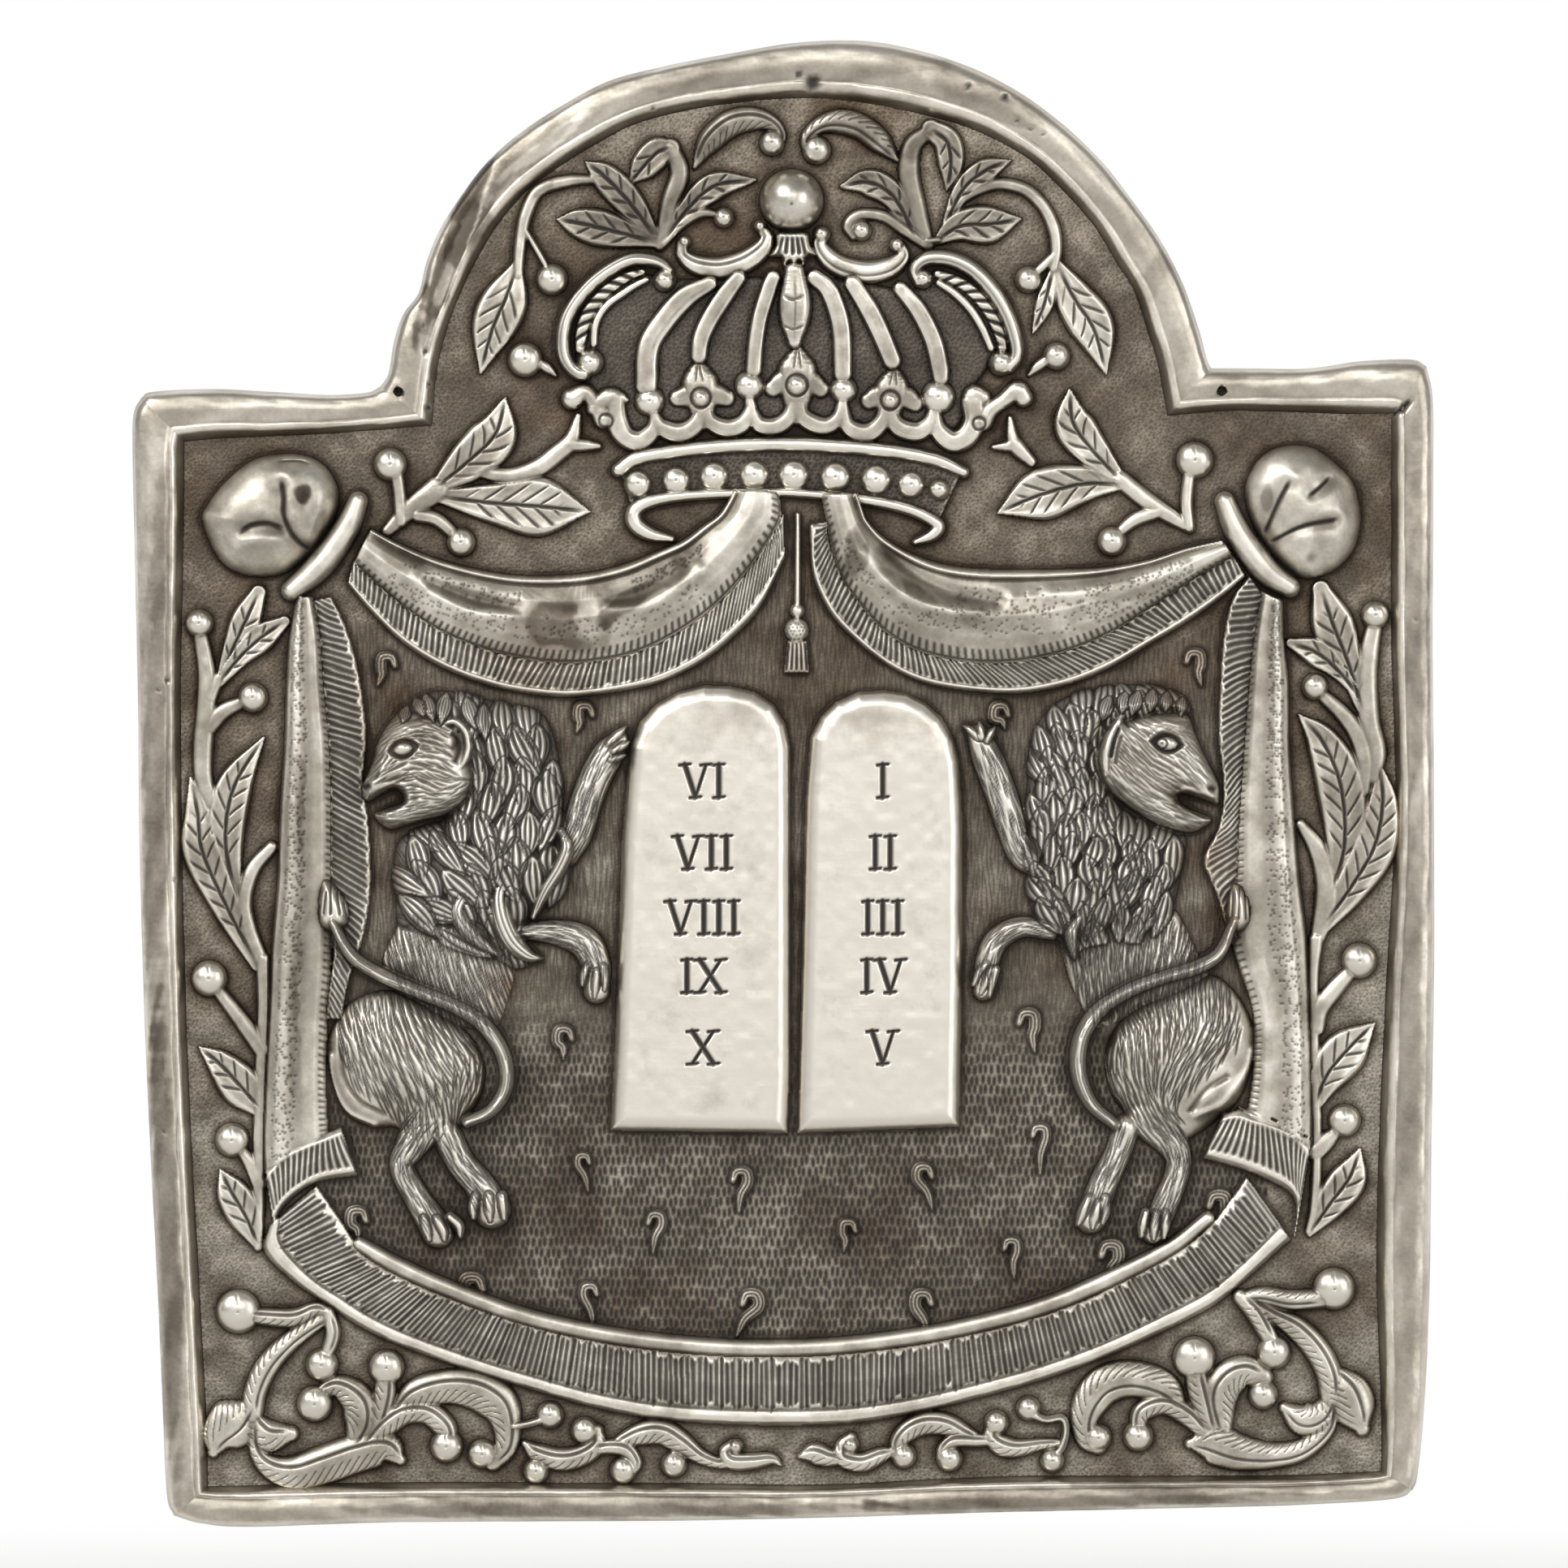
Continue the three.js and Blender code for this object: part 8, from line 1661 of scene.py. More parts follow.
# A mesh object with its surface channels, bake layout and finish
def meshObject(name, points, corners, starts, smooth, surface, uvs, slotName):
    mesh = bpy.data.meshes.new(name)
    mesh.vertices.add(len(points))
    mesh.vertices.foreach_set("co", np.ascontiguousarray(points, np.float32).ravel())
    mesh.loops.add(len(corners))
    mesh.loops.foreach_set("vertex_index", np.ascontiguousarray(corners, np.int32))
    mesh.polygons.add(len(starts))
    mesh.polygons.foreach_set("loop_start", np.ascontiguousarray(starts, np.int32))
    mesh.polygons.foreach_set("use_smooth", np.ascontiguousarray(smooth, bool))
    attribute = mesh.attributes.new("surface", "FLOAT_COLOR", "POINT")
    attribute.data.foreach_set("color", np.ascontiguousarray(surface, np.float32).ravel())
    layer = mesh.uv_layers.new(name="OFBake")
    layer.uv.foreach_set("vector", np.ascontiguousarray(uvs[corners], np.float32).ravel())
    mesh.update(calc_edges=True)
    thing = bpy.data.objects.new(name, mesh)
    bpy.context.scene.collection.objects.link(thing)
    mesh.materials.append(silver[slotName])
    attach(thing, "root")
    return thing


boxMargin = 1e-6


# Millimetres on the plate to metres in the scene, kept inside the solids' box
def worldOf(across, up, forward):
    places = np.stack([across - originAcross, 0 * across - forward, up - originUp], -1) / 1000
    return np.clip(places, np.array(startBox[0]) + boxMargin, np.array(startBox[1]) - boxMargin)


# The sheet's edge, part of the way under the moulding
def outlineOfSheet():
    parts = [np.array(frameRows["frame_" + name], float) for name in
             ("stile_left", "rail_bottom", "stile_right", "shoulder_right", "arch", "shoulder_left")]
    rows = np.vstack(parts[:4] + [part[::-1] for part in parts[4:]])
    nearHole = np.hypot(*(rows[:, :2] - holes[0]).T) < .03
    share = np.where(nearHole, 0.82, 0.6)[:, None]
    return (rows[:, 2:] + (rows[:, :2] - rows[:, 2:]) * share) * plateWidth


# The four cells around each inner point: two on one diagonal, then two on the other
def diagonals(cells):
    return cells[:-1, :-1], cells[1:, 1:], cells[:-1, 1:], cells[1:, :-1]


# Which piece each cell belongs to: its highest raised corner decides, and cells that touch only at
# a corner are joined
sheetEdge = outlineOfSheet()
xs, zs = np.meshgrid(gridAcross, gridUp)
within = insideOf(sheetEdge, xs, zs)
plateCells = within[:-1, :-1] & within[1:, :-1] & within[:-1, 1:] & within[1:, 1:]
stack = np.stack([height[:-1, :-1], height[1:, :-1], height[:-1, 1:], height[1:, 1:]])
owners = np.stack([owner[:-1, :-1], owner[1:, :-1], owner[:-1, 1:], owner[1:, 1:]])
best = np.where(owners > 0, stack, -9).argmax(0)
cellOwner = np.take_along_axis(owners, best[None], 0)[0].astype(np.int16)
cellOwner[~plateCells] = -1
for _ in range(4):
    a, b, c, d = diagonals(cellOwner)
    r, k = np.nonzero((a == b) & (a != c) & (a != d) & (a >= 0))
    cellOwner[r, k + 1] = cellOwner[r, k]
    a, b, c, d = diagonals(cellOwner)
    r, k = np.nonzero((c == d) & (c != a) & (c != b) & (c >= 0))
    cellOwner[r, k] = cellOwner[r, k + 1]
cellOwner[~plateCells] = -1

# Hidden faces are joined in blocks of this many cells, and these are the points around a block
block = 8
width = shape[1]
rising, zeros = np.arange(block), np.zeros(block, int)
ringRows = np.concatenate([zeros, rising, zeros + block, block - rising])
ringColumns = np.concatenate([rising, zeros + block, block - rising, zeros])


# Four corners for each cell of a mask
def quadsOf(mask):
    r, c = np.nonzero(mask)
    at = r * width + c
    return np.stack([at, at + 1, at + width + 1, at + width], -1)


# Hidden flat ground in big faces: full blocks of cells, and single cells for the rest
def blocksOf(mask):
    rows, columns = mask.shape[0] // block, mask.shape[1] // block
    full = mask[:rows * block, :columns * block].reshape(rows, block, columns, block).all((1, 3))
    r, c = np.nonzero(full)
    rings = (r[:, None] * block + ringRows) * width + c[:, None] * block + ringColumns
    rest = mask.copy()
    rest[:rows * block, :columns * block] &= ~np.repeat(np.repeat(full, block, 0), block, 1)
    return rings, quadsOf(rest)


# Edges of the mask as pairs of grid points, with the solid on their left seen from the front
def wallsOf(mask):
    padded = np.pad(mask, 1)
    inner = padded[1:-1, 1:-1]
    pairs = []
    for neighbour, first, second in ((padded[:-2, 1:-1], 0, 1), (padded[1:-1, 2:], 1, width + 1),
                                     (padded[2:, 1:-1], width + 1, width), (padded[1:-1, :-2], width, 0)):
        r, c = np.nonzero(inner & ~neighbour)
        at = r * width + c
        pairs.append(np.stack([at + first, at + second], -1))
    return np.vstack(pairs)


hiddenLevel = -0.06


# One piece of the relief: its worked front, its flat back and the walls between them
def reliefPiece(name, top, under, back, slotName):
    frontQuads = quadsOf(top)
    frontRings, frontRest = blocksOf(under)
    solid = top | under
    backRings, backQuads = blocksOf(solid)
    walls = wallsOf(solid)
    count = width * shape[0]
    faces = [frontQuads, frontRest, frontRings, backRings[:, ::-1] + count, backQuads[:, ::-1] + count,
             np.stack([walls[:, 1], walls[:, 0], walls[:, 0] + count, walls[:, 1] + count], -1)]
    smooth = np.concatenate([np.full(len(f), i < 3) for i, f in enumerate(faces)])
    sizes = np.concatenate([np.full(len(f), f.shape[1]) for f in faces])
    corners = np.concatenate([f.ravel() for f in faces])
    used, corners = np.unique(corners, return_inverse=True)
    starts = np.concatenate([[0], np.cumsum(sizes)[:-1]])
    isBack = used >= count
    flat = used % count
    r, c = flat // width, flat % width
    levels = height[r, c].copy()
    seen = np.zeros(shape, bool)
    for dr in (0, 1):
        for dc in (0, 1):
            seen[dr:shape[0] - 1 + dr, dc:shape[1] - 1 + dc] |= top
    levels = np.where(seen[r, c] | isBack, levels, hiddenLevel)
    levels = np.where(isBack, back(levels, r, c), levels)
    across, up = gridAcross[c].copy(), gridUp[r].copy()
    if name == "ground_sheet":
        edgePoints = np.unique(walls.ravel())
        onEdge = np.isin(flat, edgePoints)
        closed = np.vstack([sheetEdge, sheetEdge[:1]])
        snapped = nearestOn(closed, across[onEdge], up[onEdge])
        across[onEdge], up[onEdge] = snapped[:, 0], snapped[:, 1]
    points = worldOf(across, up, groundFront + levels)
    surface = np.stack([dark[r, c], ink[r, c], warm[r, c], np.ones(len(r))], -1)
    rear = np.stack([0.44 + 0.2 * patch[r, c] + 0.08 * speck[r, c], 0 * dark[r, c],
                     0.15 + 0.3 * np.clip(patch[r, c], 0, 1), np.ones(len(r))], -1)
    surface = np.where(isBack[:, None], rear, surface)
    low, high = np.array([across.min(), up.min()]), np.array([across.max(), up.max()])
    uvs = (np.stack([across, up], -1) - low) / (high - low)
    uvs = np.where(isBack[:, None], uvs * [0.1, 0.02], uvs * [1, 0.96] + [0, 0.04])
    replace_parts(meshObject(pieceName(name), points, corners, starts, smooth, surface, uvs, slotName), name)


# The nearest point of an open line of straight parts for each place
def nearestOn(line, xs, zs):
    a, b = line[:-1], line[1:]
    step = b - a
    best = np.full(len(xs), np.inf)
    found = np.zeros((len(xs), 2))
    for start, move in zip(a, step):
        size = max((move ** 2).sum(), 1e-9)
        t = np.clip(((xs - start[0]) * move[0] + (zs - start[1]) * move[1]) / size, 0, 1)
        px, pz = start[0] + t * move[0], start[1] + t * move[1]
        away = (xs - px) ** 2 + (zs - pz) ** 2
        closer = away < best
        best[closer] = away[closer]
        found[closer] = np.stack([px, pz], -1)[closer]
    return found


# Materials


# A colour written as sRGB hex, in linear light
def linear(code):
    parts = [int(code[i:i + 2], 16) / 255 for i in (1, 3, 5)]
    return tuple(v / 12.92 if v <= 0.04045 else ((v + 0.055) / 1.055) ** 2.4 for v in parts) + (1.0,)


# One node with its settings, its links from other nodes and its socket values
def addNode(tree, kind, settings=None, links=None, **values):
    node = tree.nodes.new(kind)
    for key, value in (settings or {}).items():
        setattr(node, key, value)
    for key, value in values.items():
        node.inputs[key.replace("_", " ")].default_value = value
    for key, source in (links or {}).items():
        tree.links.new(source, node.inputs[key])
    return node


# A node's value spread from one range to another
def mapRange(tree, source, **ends):
    node = addNode(tree, "ShaderNodeMapRange", links={"Value": source})
    for name, value in ends.items():
        node.inputs[rangeEnds[name]].default_value = value
    return node


# One colour laid over another by a factor
def mixColour(tree, factor, under, over, blend="MIX"):
    node = addNode(tree, "ShaderNodeMix", {"data_type": "RGBA", "blend_type": blend},
                   {"Factor": factor, 6: under})
    node.inputs[7].default_value = linear(over)
    return node.outputs[2]


rangeEnds = {"fromLow": "From Min", "fromHigh": "From Max", "low": "To Min", "high": "To Max"}
# The darkest tone stands for sulphide patina and painted shade; the line colour darkens chased lines and, as
# painted shade, the deepest hollows and the hole's rim; the copper tint carries brass wear and painted shade
# round the pieces' feet
patinaAndShadeColour, lineAndShadeColour, copperColour = "#3E3831", "#221D19", "#C79A6E"
patchScale, speckScale, hammerScale, grainScale = 160.0, 1500.0, 420.0, 2300.0
bumpDepth = 0.00012
finishes = {
    "frame": {
        "bright": "#E4DFD4", "plain": "#AFA99D", "worn": "#6F685E", "rough": .3, "dull": .45,
        "hammer": .5,
    },
    "ground": {
        "bright": "#CFC8BB", "plain": "#A39C8F", "worn": "#6E675C", "rough": .42, "dull": .58,
        "hammer": .6,
    },
    "drapery": {
        "bright": "#E2DDD2", "plain": "#A7A195", "worn": "#6A6359", "rough": .4, "dull": .54,
        "hammer": .4,
    },
    "tablets": {
        "bright": "#DCD6CB", "plain": "#B5AEA2", "worn": "#80796E", "rough": .34, "dull": .45,
        "hammer": .3,
    },
    "lions": {
        "bright": "#DED9CE", "plain": "#A29B8F", "worn": "#655E55", "rough": .34, "dull": .52,
        "hammer": .4,
    },
    "crown": {
        "bright": "#DED9CE", "plain": "#A59F93", "worn": "#675F56", "rough": .3, "dull": .48,
        "hammer": .35,
    },
    "foliage": {
        "bright": "#D2CDC2", "plain": "#9A9488", "worn": "#625B52", "rough": .33, "dull": .5,
        "hammer": .4,
    },
}


# Worked silver: bright where it is rubbed and where highlights are painted, sulphide patina and painted
# shade in the hollows, painted dark reflections in patches, near black in the chased lines
def silverMaterial(slotName, look):
    material = bpy.data.materials.new("silver" + slotName.capitalize())
    material.use_nodes = True
    tree = material.node_tree
    tree.nodes.clear()
    place = addNode(tree, "ShaderNodeTexCoord").outputs["Object"]
    surface = addNode(tree, "ShaderNodeAttribute", {"attribute_name": "surface"})
    channels = addNode(tree, "ShaderNodeSeparateColor", links={"Color": surface.outputs["Color"]})
    scratches = addNode(tree, "ShaderNodeMapping", links={"Vector": place})
    scratches.inputs["Rotation"].default_value = (0, 0.5, 0)
    scratches.inputs["Scale"].default_value = (260, 260, 5200)

    def noise(vector, scale, detail, roughness=0.5):
        return addNode(tree, "ShaderNodeTexNoise", links={"Vector": vector}, Scale=scale, Detail=detail,
                       Roughness=roughness).outputs["Fac"]

    patches, specks = noise(place, patchScale, 5.0, 0.6), noise(place, speckScale, 3.0, 0.6)
    lines = noise(scratches.outputs[0], 1.0, 2.0)

    def mathNode(operation, a, b=None, clamp=False):
        node = addNode(tree, "ShaderNodeMath", {"operation": operation, "use_clamp": clamp})
        for i, value in enumerate((a, b)):
            if value is None:
                continue
            if isinstance(value, (int, float)):
                node.inputs[i].default_value = value
            else:
                tree.links.new(value, node.inputs[i])
        return node.outputs[0]

    def spread(value, amount):
        return mathNode("MULTIPLY", mathNode("SUBTRACT", value, 0.5), amount)

    # The darkness channel carries patina, wear, and painted shade, highlights and reflections
    worn = mathNode("ADD", channels.outputs["Red"], spread(patches, 0.34))
    worn = mathNode("ADD", worn, spread(specks, 0.16), clamp=True)
    tone = addNode(tree, "ShaderNodeValToRGB", links={"Fac": worn})
    ramp = tone.color_ramp
    ramp.elements[0].position, ramp.elements[0].color = 0.06, linear(look["bright"])
    ramp.elements[1].position, ramp.elements[1].color = 1.0, linear(patinaAndShadeColour)
    for at, colour in ((0.32, look["plain"]), (0.62, look["worn"])):
        ramp.elements.new(at).color = linear(colour)
    # The blue channel tints towards copper: brass worn through, and painted shade round the raised pieces'
    # feet
    copperShare = mathNode("MULTIPLY", channels.outputs["Blue"], 0.75)
    copper = mixColour(tree, copperShare, tone.outputs["Color"], copperColour, "MULTIPLY")
    black = mixColour(tree, channels.outputs["Green"], copper, lineAndShadeColour)

    metal = mapRange(tree, channels.outputs["Green"], low=1.0, high=0.35)
    rough = mapRange(tree, worn, low=look["rough"], high=look["dull"])
    rougher = mathNode("ADD", rough.outputs[0], mathNode("MULTIPLY", channels.outputs["Green"], 0.2))
    rougher = mathNode("ADD", rougher, spread(lines, 0.12), clamp=True)
    shader = addNode(tree, "ShaderNodeBsdfPrincipled", links={
        "Base Color": black, "Metallic": metal.outputs[0], "Roughness": rougher})
    marks = noise(place, hammerScale, 3.0)
    for finer in (lines, specks):
        marks = mathNode("ADD", marks, mathNode("MULTIPLY", finer, 0.12))
    if slotName == "ground":
        grains = addNode(tree, "ShaderNodeTexVoronoi", links={"Vector": place}, Scale=grainScale)
        marks = mathNode("ADD", marks, mathNode("MULTIPLY", grains.outputs["Distance"], 0.9))
    bump = addNode(tree, "ShaderNodeBump", links={"Height": marks}, Strength=look["hammer"],
                   Distance=bumpDepth)
    tree.links.new(bump.outputs[0], shader.inputs["Normal"])
    addNode(tree, "ShaderNodeOutputMaterial", links={"Surface": shader.outputs[0]})
    return material


silver = {slotName: silverMaterial(slotName, look) for slotName, look in finishes.items()}


# Pieces of the relief


# A piece's own name, from its node's name
def pieceName(name):
    first, *rest = name.split("_")
    return first + "".join(word.capitalize() for word in rest)


slotStarts = {
    "tablet": "tablets", "lion": "lions", "crown": "crown", "knot": "drapery", "tie": "drapery",
    "swag": "drapery", "curtain": "drapery", "mantle": "drapery", "tassel": "drapery",
}


# The finish that a piece is made in
def slotFor(name):
    return slotStarts.get(name.split("_")[0], "foliage")


# The rear of the ground sheet follows its dents
def sheetBack(levels, r, c):
    return -groundThickness + 0.05 * dents[r, c]


# The rear of a raised piece sits just inside the sheet's front
def pieceBack(levels, r, c):
    return np.minimum(levels, 0) - 0.03


visible = cellOwner == 0
reliefPiece("ground_sheet", visible, cellOwner > 0, sheetBack, "ground")
for index, name in enumerate(ownerNames):
    mask = cellOwner == index
    if index and mask.any():
        reliefPiece(name, mask, np.zeros_like(mask), pieceBack, slotFor(name))
print("relief pieces built")

# The moulding: shares in from its outer edge, and millimetres forward
mouldingProfile = [[0, 0], [0, .9], [0, 1.9], [.008, 2.7], [.02, 3.4], [.038, 4.05], [.06, 4.6],
    [.088, 5.05], [.12, 5.4], [.155, 5.66], [.19, 5.82], [.225, 5.9], [.27, 6.02], [.32, 6.1],
    [.38, 6.14], [.44, 6.13], [.5, 6.08], [.56, 6.0], [.62, 5.9], [.66, 5.8], [.685, 5.68], [.7, 5.58],
    [.72, 5.66], [.76, 5.72], [.8, 5.62], [.84, 5.35], [.88, 4.9], [.92, 4.3], [.96, 3.65], [.985, 3.35],
    [1, 3.2], [.94, 3.2], [.88, 3.2], [.79, 3.9], [.7, 4.6], [.55, 4.8], [.36, 4.9], [.22, 4.4],
    [.12, 3.5], [.12, 2.0], [.12, .85], [.24, .85], [.36, .85], [.36, 0], [.18, 0]]
frontPoints = 31
# Solder pits: across, up, radius in millimetres, strength
pits = [[.023, 1.112, 2.6, 1.0], [.012, 1.118, 1.3, .9], [.143, 1.109, 1.0, 1.0], [.171, 1.101, 1.1, 1.0],
    [.18, 1.082, .6, .9], [.19, 1.076, .5, .9], [.2, 1.072, .5, .8], [-.1, 1.092, .7, .8],
    [-.273, .862, 1.1, 1.0], [-.272, .88, .8, 1.0], [-.275, .905, .9, .9], [-.277, .925, .7, .8],
    [-.473, .653, .7, 1.0], [-.48, .645, .4, .8], [-.468, .499, .6, .9], [-.476, .306, .5, .8],
    [.486, .7, .4, .7], [.336, .872, .9, .7], [-.296, .872, .9, .7], [-.455, .905, .4, .7]]
# The open mitre at the upper right corner
crack = [[.481, .866], [.476, .861], [.47, .857]]
# Tarnish, on the left of the arch partly painted dark reflections, or with a negative amount a painted
# highlight: across, up, long, wide, degrees, amount
tarnishAndReflections = [[-.254, .984, .078, .01, 69, .48], [-.24, 1.0, .03, .012, 58, .3],
    [-.272, .925, .022, .006, 80, .15], [-.248, .985, .06, .0055, 66, -.42],
    [-.185, 1.062, .05, .005, 36, -.25], [-.215, 1.045, .06, .012, 40, .2],
    [-.02, 1.118, .14, .011, 4, .12], [.15, 1.1, .05, .01, -25, .14], [-.48, .6, .22, .011, 89, .2],
    [-.474, .22, .18, .011, 92, .24], [-.15, .018, .2, .01, 0, .2], [.25, .025, .18, .01, 3, .22],
    [.482, .35, .2, .01, 90, .12], [.488, .7, .12, .009, 90, .13], [.28, .955, .03, .01, 60, .12]]


profileShares, profileLevels = np.array(mouldingProfile).T
onFront = np.arange(len(mouldingProfile)) < frontPoints


# Where each point of a length lies, with the dents and wavy edges of hand work
def mouldingForm(line, along, around, toEnd, seed):
    ends = softStep(toEnd, 0, 3)
    crest = np.clip(profileLevels / 6.2, 0, 1)[None, :] ** 2 * onFront[None, :]
    lift = 0.13 * wave(along / 9 + around * 0.11, seed) + 0.07 * wave(along / 3.1 - around * 0.19, seed + 2)
    lift = lift * crest * ends - 0.1 * crest
    sway = 0.012 * wave(along / 7, seed + 4) + 0.007 * wave(along / 2.6, seed + 5)
    edge = np.exp(-((profileShares - .2) / .12) ** 2)[None, :]
    edge = edge + np.exp(-((profileShares - .7) / .1) ** 2)[None, :]
    moved = profileShares[None, :] + sway * edge * onFront[None, :] * ends
    moved = moved + 0.004 * (1 + wave(along / 5, seed + 6)) * (profileShares < .05)[None, :] * ends
    across = line[:, :1] + (line[:, 2:3] - line[:, :1]) * moved
    up = line[:, 1:2] + (line[:, 3:4] - line[:, 1:2]) * moved
    return across, up, profileLevels[None, :] + lift, moved


# How dark each point of a length is: painted highlights on the outer rounding and the inner roll, tarnish
# and painted reflections in patches, darker at the inner foot
def mouldingTone(across, up, along, around, seed):
    darkness = 0.28 + 0 * across + 0.1 * wave(along / 6 + around * 0.2, seed + 7)
    for patchAcross, patchUp, long, wide, turn, amount in tarnishAndReflections:
        dx, dz = across - patchAcross * plateWidth, up - patchUp * plateWidth
        ragged = np.hypot(*turned(dx, dz, long, wide, turn))
        ragged = ragged + 0.25 * wave(along / 4 + around * 0.35, seed + 11)
        ragged = ragged + 0.12 * wave(along / 1.1, seed + 12)
        darkness = darkness + amount * softStep(1.15 - ragged, 0, 0.35) * onFront
    # Painted reflections: a little darker on the broad face, lighter bands along the outer rounding and the
    # inner roll
    darkness += 0.04 * np.exp(-((profileShares - .45) / .13) ** 2)
    darkness -= 0.2 * np.exp(-((profileShares - .1) / .07) ** 2)
    darkness -= 0.16 * np.exp(-((profileShares - .8) / .07) ** 2)
    # Darker at the inner foot and over the back
    darkness += 0.5 * softStep(profileShares, .93, 1.0)[None, :] * onFront + 0.2 * (~onFront)[None, :]
    return np.clip(darkness, 0, 1)


# Dark lines in the two grooves, at the inner foot and in the mitres
def mouldingInk(moved, along, toEnd, seed):
    inks = 0.2 * np.exp(-((moved - .2) / .014) ** 2) * (0.5 + 0.5 * wave(along / 4, seed + 8))
    inks = inks + 0.35 * np.exp(-((moved - .705) / .013) ** 2) * (0.6 + 0.4 * wave(along / 5, seed + 9))
    inks = inks + 0.75 * softStep(profileShares, .965, 1.0)[None, :] * onFront
    return np.maximum(np.clip(inks, 0, 1), 0.1 * np.exp(-toEnd / 0.2) * onFront)


# The pits and the open mitre, sunk in the front and blackened
def mouldingPits(across, up, forward, inks, seed):
    for pitAcross, pitUp, radius, depth in pits:
        dx, dz = across - pitAcross * plateWidth, up - pitUp * plateWidth
        uneven = 1 + 0.25 * wave(np.arctan2(dz, dx) * 2, seed)
        hole = np.exp(-(np.hypot(dx, dz * 1.3) / (radius * 0.62 * uneven)) ** 4) * onFront
        forward = forward - hole * 0.35 * depth
        inks = np.maximum(inks, hole * depth)
    for start, end in zip(np.array(crack[:-1]) * plateWidth, np.array(crack[1:]) * plateWidth):
        (ax, az), (sx, sz) = start, end - start
        t = np.clip(((across - ax) * sx + (up - az) * sz) / (sx ** 2 + sz ** 2), 0, 1)
        gap = np.exp(-(np.hypot(across - ax - t * sx, up - az - t * sz) / 0.45) ** 2) * onFront
        forward = forward - gap * 0.8
        inks = np.maximum(inks, gap)
    return forward, inks


# One mitred length of the hollow moulding: a tube of one profile, closed at both ends
def mouldingLength(name, rows, seed):
    line = spline(rows, 0.42)
    run = np.concatenate([[0], np.cumsum(np.hypot(*np.diff((line[:, :2] + line[:, 2:]) / 2, axis=0).T))])
    along, around = run[:, None], np.arange(len(mouldingProfile))[None, :]
    toEnd = np.minimum(along, run[-1] - along)
    across, up, forward, moved = mouldingForm(line, along, around, toEnd, seed)
    darkness = mouldingTone(across, up, along, around, seed)
    forward, inks = mouldingPits(across, up, forward, mouldingInk(moved, along, toEnd, seed), seed)
    warms = 0.1 + 0.35 * np.clip(wave(along / 12, seed + 10), 0, 1) * (profileShares < .1)[None, :]
    channels = (darkness, inks, warms + 0 * across, np.ones(across.shape))
    surface = np.stack([channel.ravel() for channel in channels], -1)

    count, size = across.shape
    points = worldOf(across.ravel(), up.ravel(), forward.ravel())
    i, j = np.meshgrid(np.arange(count - 1), np.arange(size), indexing="ij")
    here, above, following = i * size, (i + 1) * size, (j + 1) % size
    quads = np.stack([here + j, above + j, above + following, here + following], -1)
    first, last = np.arange(size), (count - 1) * size + np.arange(size)
    turn = np.cross(points[size + 5] - points[5], points[6] - points[5])
    if turn[1] > 0:
        quads, caps = quads[..., ::-1], [first, last[::-1]]
    else:
        caps = [first[::-1], last]
    quads = quads.reshape(-1, 4)
    corners = np.concatenate([quads.ravel()] + caps)
    starts = np.concatenate([np.arange(len(quads)) * 4, [len(quads) * 4, len(quads) * 4 + size]])
    smooth = np.concatenate([np.ones(len(quads), bool), [False, False]])
    uvs = np.stack([(along / run[-1] + 0 * across).ravel(), (around / size + 0 * across).ravel()], -1)
    thing = meshObject(pieceName(name), points, corners, starts, smooth, surface, uvs, "frame")
    pairs = np.empty(len(thing.data.edges) * 2, np.int32)
    thing.data.edges.foreach_get("vertices", pairs)
    pairs = pairs.reshape(-1, 2)
    atEnds = (pairs < size).all(1) | (pairs >= (count - 1) * size).all(1)
    thing.data.attributes.new("sharp_edge", "BOOLEAN", "EDGE").data.foreach_set("value", atEnds)
    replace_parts(thing, name)
    return thing


mouldings = {name: mouldingLength(name, rows, 3 + i) for i, (name, rows) in enumerate(frameRows.items())}


# A round hole for the chain's ring, its rim darkened as painted shade inside the hole
def pierce(thing, hole):
    spot = worldOf(np.array([hole[0] * plateWidth]), np.array([hole[1] * plateWidth]), np.array([0.0]))[0]
    bpy.ops.mesh.primitive_cylinder_add(vertices=40, radius=holeRadius / 1000, depth=0.03,
                                        location=(spot[0], 0, spot[2]), rotation=(math.pi / 2, 0, 0))
    drill = bpy.context.object
    cut = thing.modifiers.new("hole", "BOOLEAN")
    cut.object, cut.operation, cut.solver = drill, "DIFFERENCE", "EXACT"
    bpy.context.view_layer.update()
    mesh = bpy.data.meshes.new_from_object(thing.evaluated_get(bpy.context.evaluated_depsgraph_get()))
    thing.modifiers.clear()
    thing.data = mesh
    bpy.data.objects.remove(drill, do_unlink=True)
    places = np.empty(len(mesh.vertices) * 3, np.float32)
    mesh.vertices.foreach_get("co", places)
    places = places.reshape(-1, 3)
    away = np.hypot(places[:, 0] - spot[0], places[:, 2] - spot[2]) * 1000
    colours = np.empty(len(places) * 4, np.float32)
    mesh.attributes["surface"].data.foreach_get("color", colours)
    colours = colours.reshape(-1, 4)
    onRim = away < holeRadius * 1.02
    # Painted shade: the hole's rim is darkened
    colours[onRim] = [0.85, 0.75, 0.2, 1]
    mesh.attributes["surface"].data.foreach_set("color", colours.ravel())


pierce(mouldings["frame_arch"], holes[0])
pierce(mouldings["frame_shoulder_right"], holes[1])
print("moulding built")

# Stage, in metres
floorGap = 0.05
shadowNear, shadowFar, shadowShare = 0.22, 0.62, 0.4
stageSize = 14


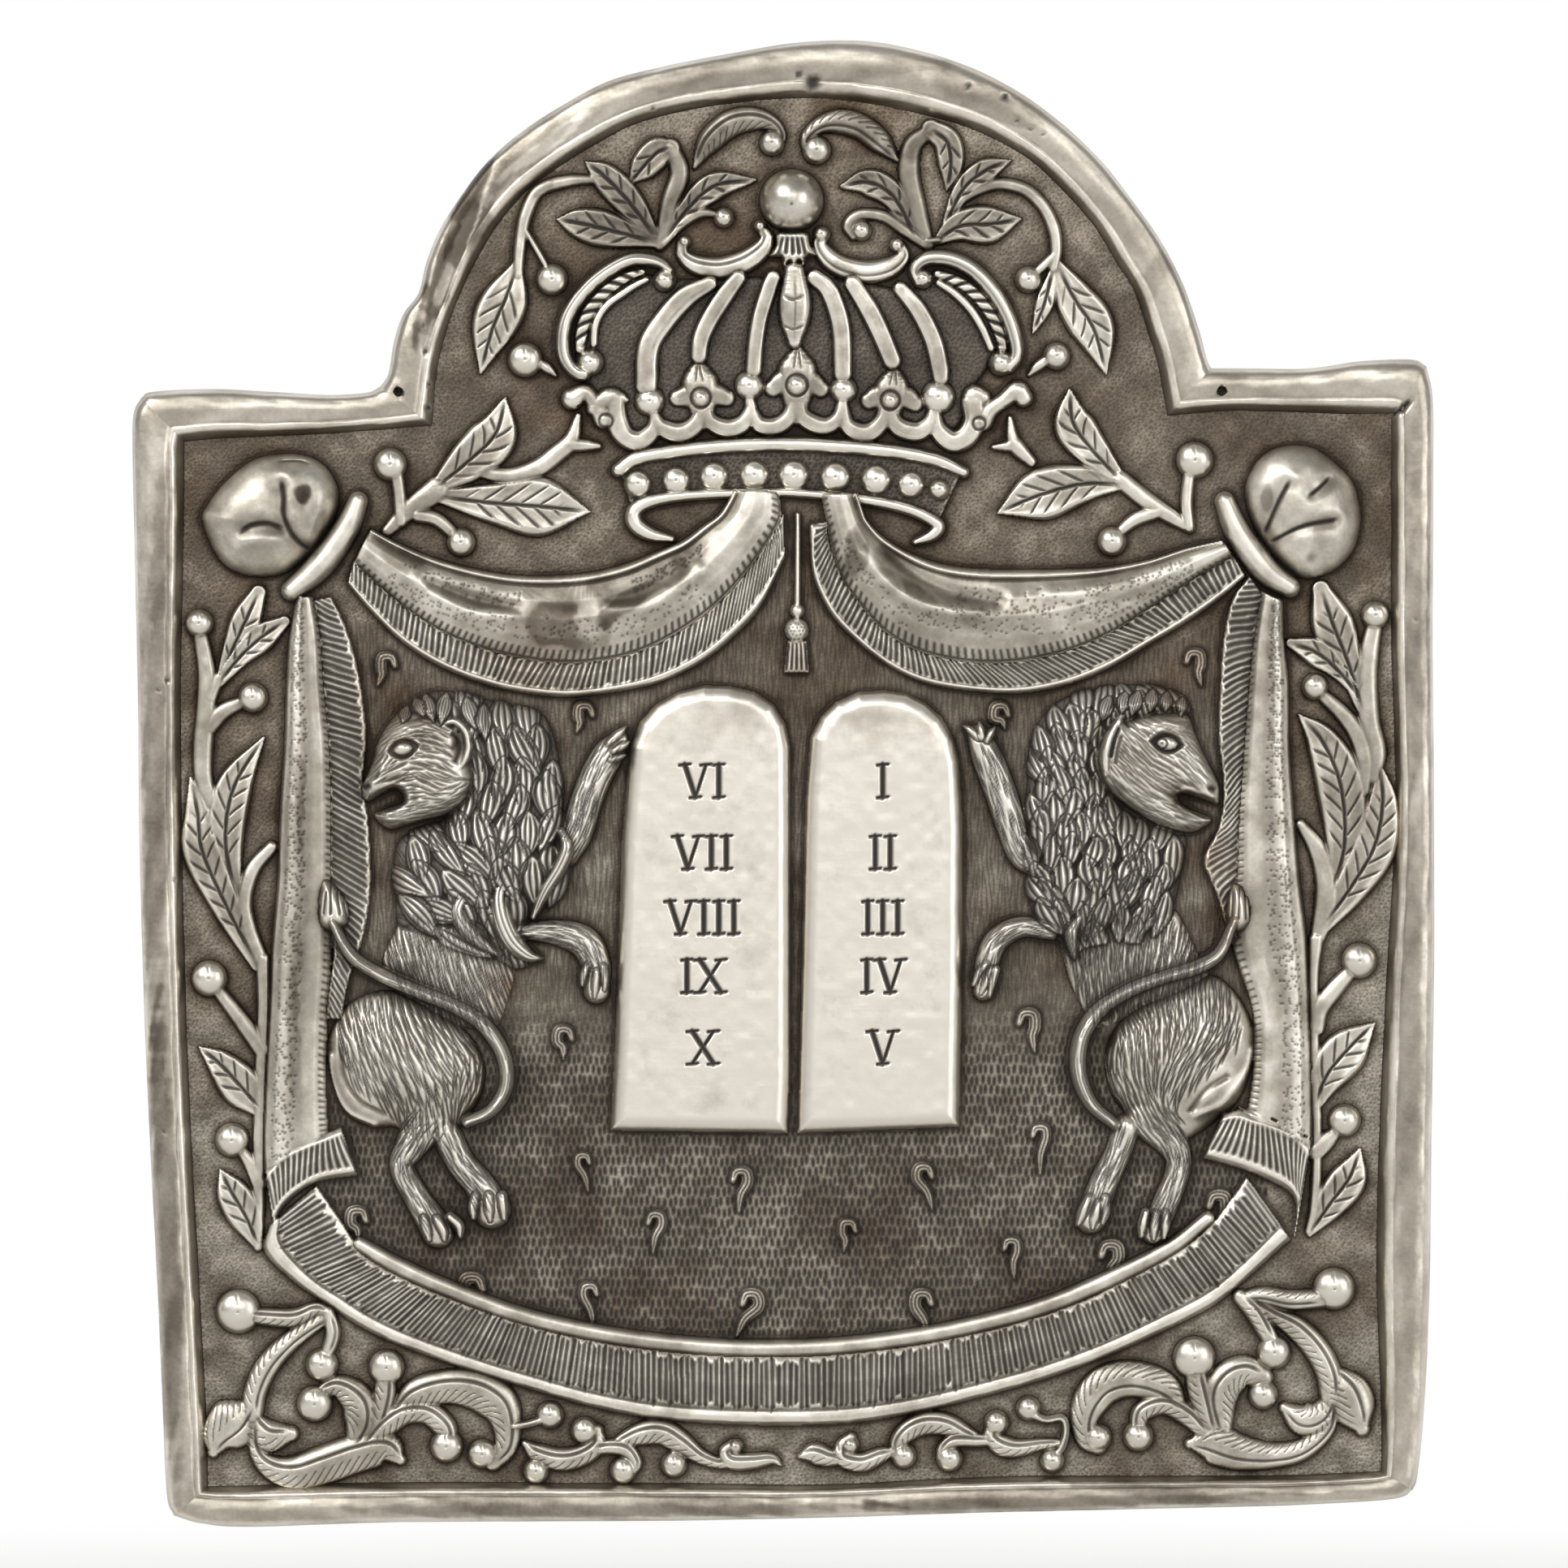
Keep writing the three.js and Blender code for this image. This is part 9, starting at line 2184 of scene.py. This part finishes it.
# A backdrop or floor that is white to the camera, fading to its own tone near the object's foot
def stagePlane(name, place, turn, colour, foot=None):
    bpy.ops.mesh.primitive_plane_add(size=stageSize, location=place, rotation=turn)
    thing = bpy.context.object
    thing.name = name
    material = bpy.data.materials.new(name)
    material.use_nodes = True
    tree = material.node_tree
    tree.nodes.clear()
    ray = addNode(tree, "ShaderNodeLightPath")
    seen = ray.outputs["Is Camera Ray"]
    for kind in ("Is Glossy Ray", "Is Transmission Ray"):
        more = addNode(tree, "ShaderNodeMath", {"operation": "MAXIMUM"}, {0: seen, 1: ray.outputs[kind]})
        seen = more.outputs[0]
    if foot:
        spot = addNode(tree, "ShaderNodeTexCoord")
        away = addNode(tree, "ShaderNodeVectorMath", {"operation": "DISTANCE"}, {0: spot.outputs["Object"]})
        away.inputs[1].default_value = foot
        fade = mapRange(tree, away.outputs["Value"], fromLow=shadowNear, fromHigh=shadowFar,
                        low=shadowShare)
        fade.interpolation_type = "SMOOTHSTEP"
        share = addNode(tree, "ShaderNodeMath", {"operation": "MULTIPLY"}, {0: seen, 1: fade.outputs[0]})
        seen = share.outputs[0]
    matte = addNode(tree, "ShaderNodeBsdfPrincipled", Roughness=0.8)
    matte.inputs["Base Color"].default_value = linear(colour)
    glow = addNode(tree, "ShaderNodeEmission")
    mixed = addNode(tree, "ShaderNodeMixShader", links={0: seen, 1: matte.outputs[0], 2: glow.outputs[0]})
    addNode(tree, "ShaderNodeOutputMaterial", links={"Surface": mixed.outputs[0]})
    thing.data.materials.append(material)


lowest = startBox[0][2] - floorGap
stagePlane("backdrop", (0, 4.5, lowest + stageSize / 2), (math.pi / 2, 0, 0), "#F4F3F0")
stagePlane("floor", (0, -2.5, lowest), (0, 0, 0), "#EDECE8", (0, 2.6, 0))


# A rectangular lamp aimed at the middle of the plate
def areaLight(name, place, size, power):
    data = bpy.data.lights.new(name, "AREA")
    data.shape = "RECTANGLE"
    data.size, data.size_y = size
    data.energy = power
    thing = bpy.data.objects.new(name, data)
    thing.location = place
    thing.rotation_euler = (Vector(lightTarget) - Vector(place)).to_track_quat("-Z", "Y").to_euler()
    bpy.context.scene.collection.objects.link(thing)


lightTarget = (0, 0, -0.06)
areaLight("keyLight", (-0.9, -1.0, 0.9), (0.9, 0.9), 16)
areaLight("fillLight", (1.1, -1.1, 0.3), (0.8, 1.0), 6)
areaLight("frontLight", (0.0, -2.6, 0.9), (1.8, 1.2), 18)
world = bpy.data.worlds.new("studio")
bpy.context.scene.world = world
world.use_nodes = True
sky = world.node_tree.nodes["Background"]
sky.inputs["Color"].default_value, sky.inputs["Strength"].default_value = linear("#B9B8B6"), 0.75

sensorWidth, focalLength = 36, 226.7
cameraPlace = (-0.0042, -1.6, -0.0634)
cameraData = bpy.data.cameras.new("camera")
cameraData.sensor_width, cameraData.lens = sensorWidth, focalLength
cameraData.clip_start, cameraData.clip_end = 0.05, 20
camera = bpy.data.objects.new("camera", cameraData)
camera.location = cameraPlace
camera.rotation_euler = (math.pi / 2, 0, 0)
bpy.context.scene.collection.objects.link(camera)
bpy.context.scene.camera = camera
bpy.context.scene.view_settings.view_transform = "Standard"
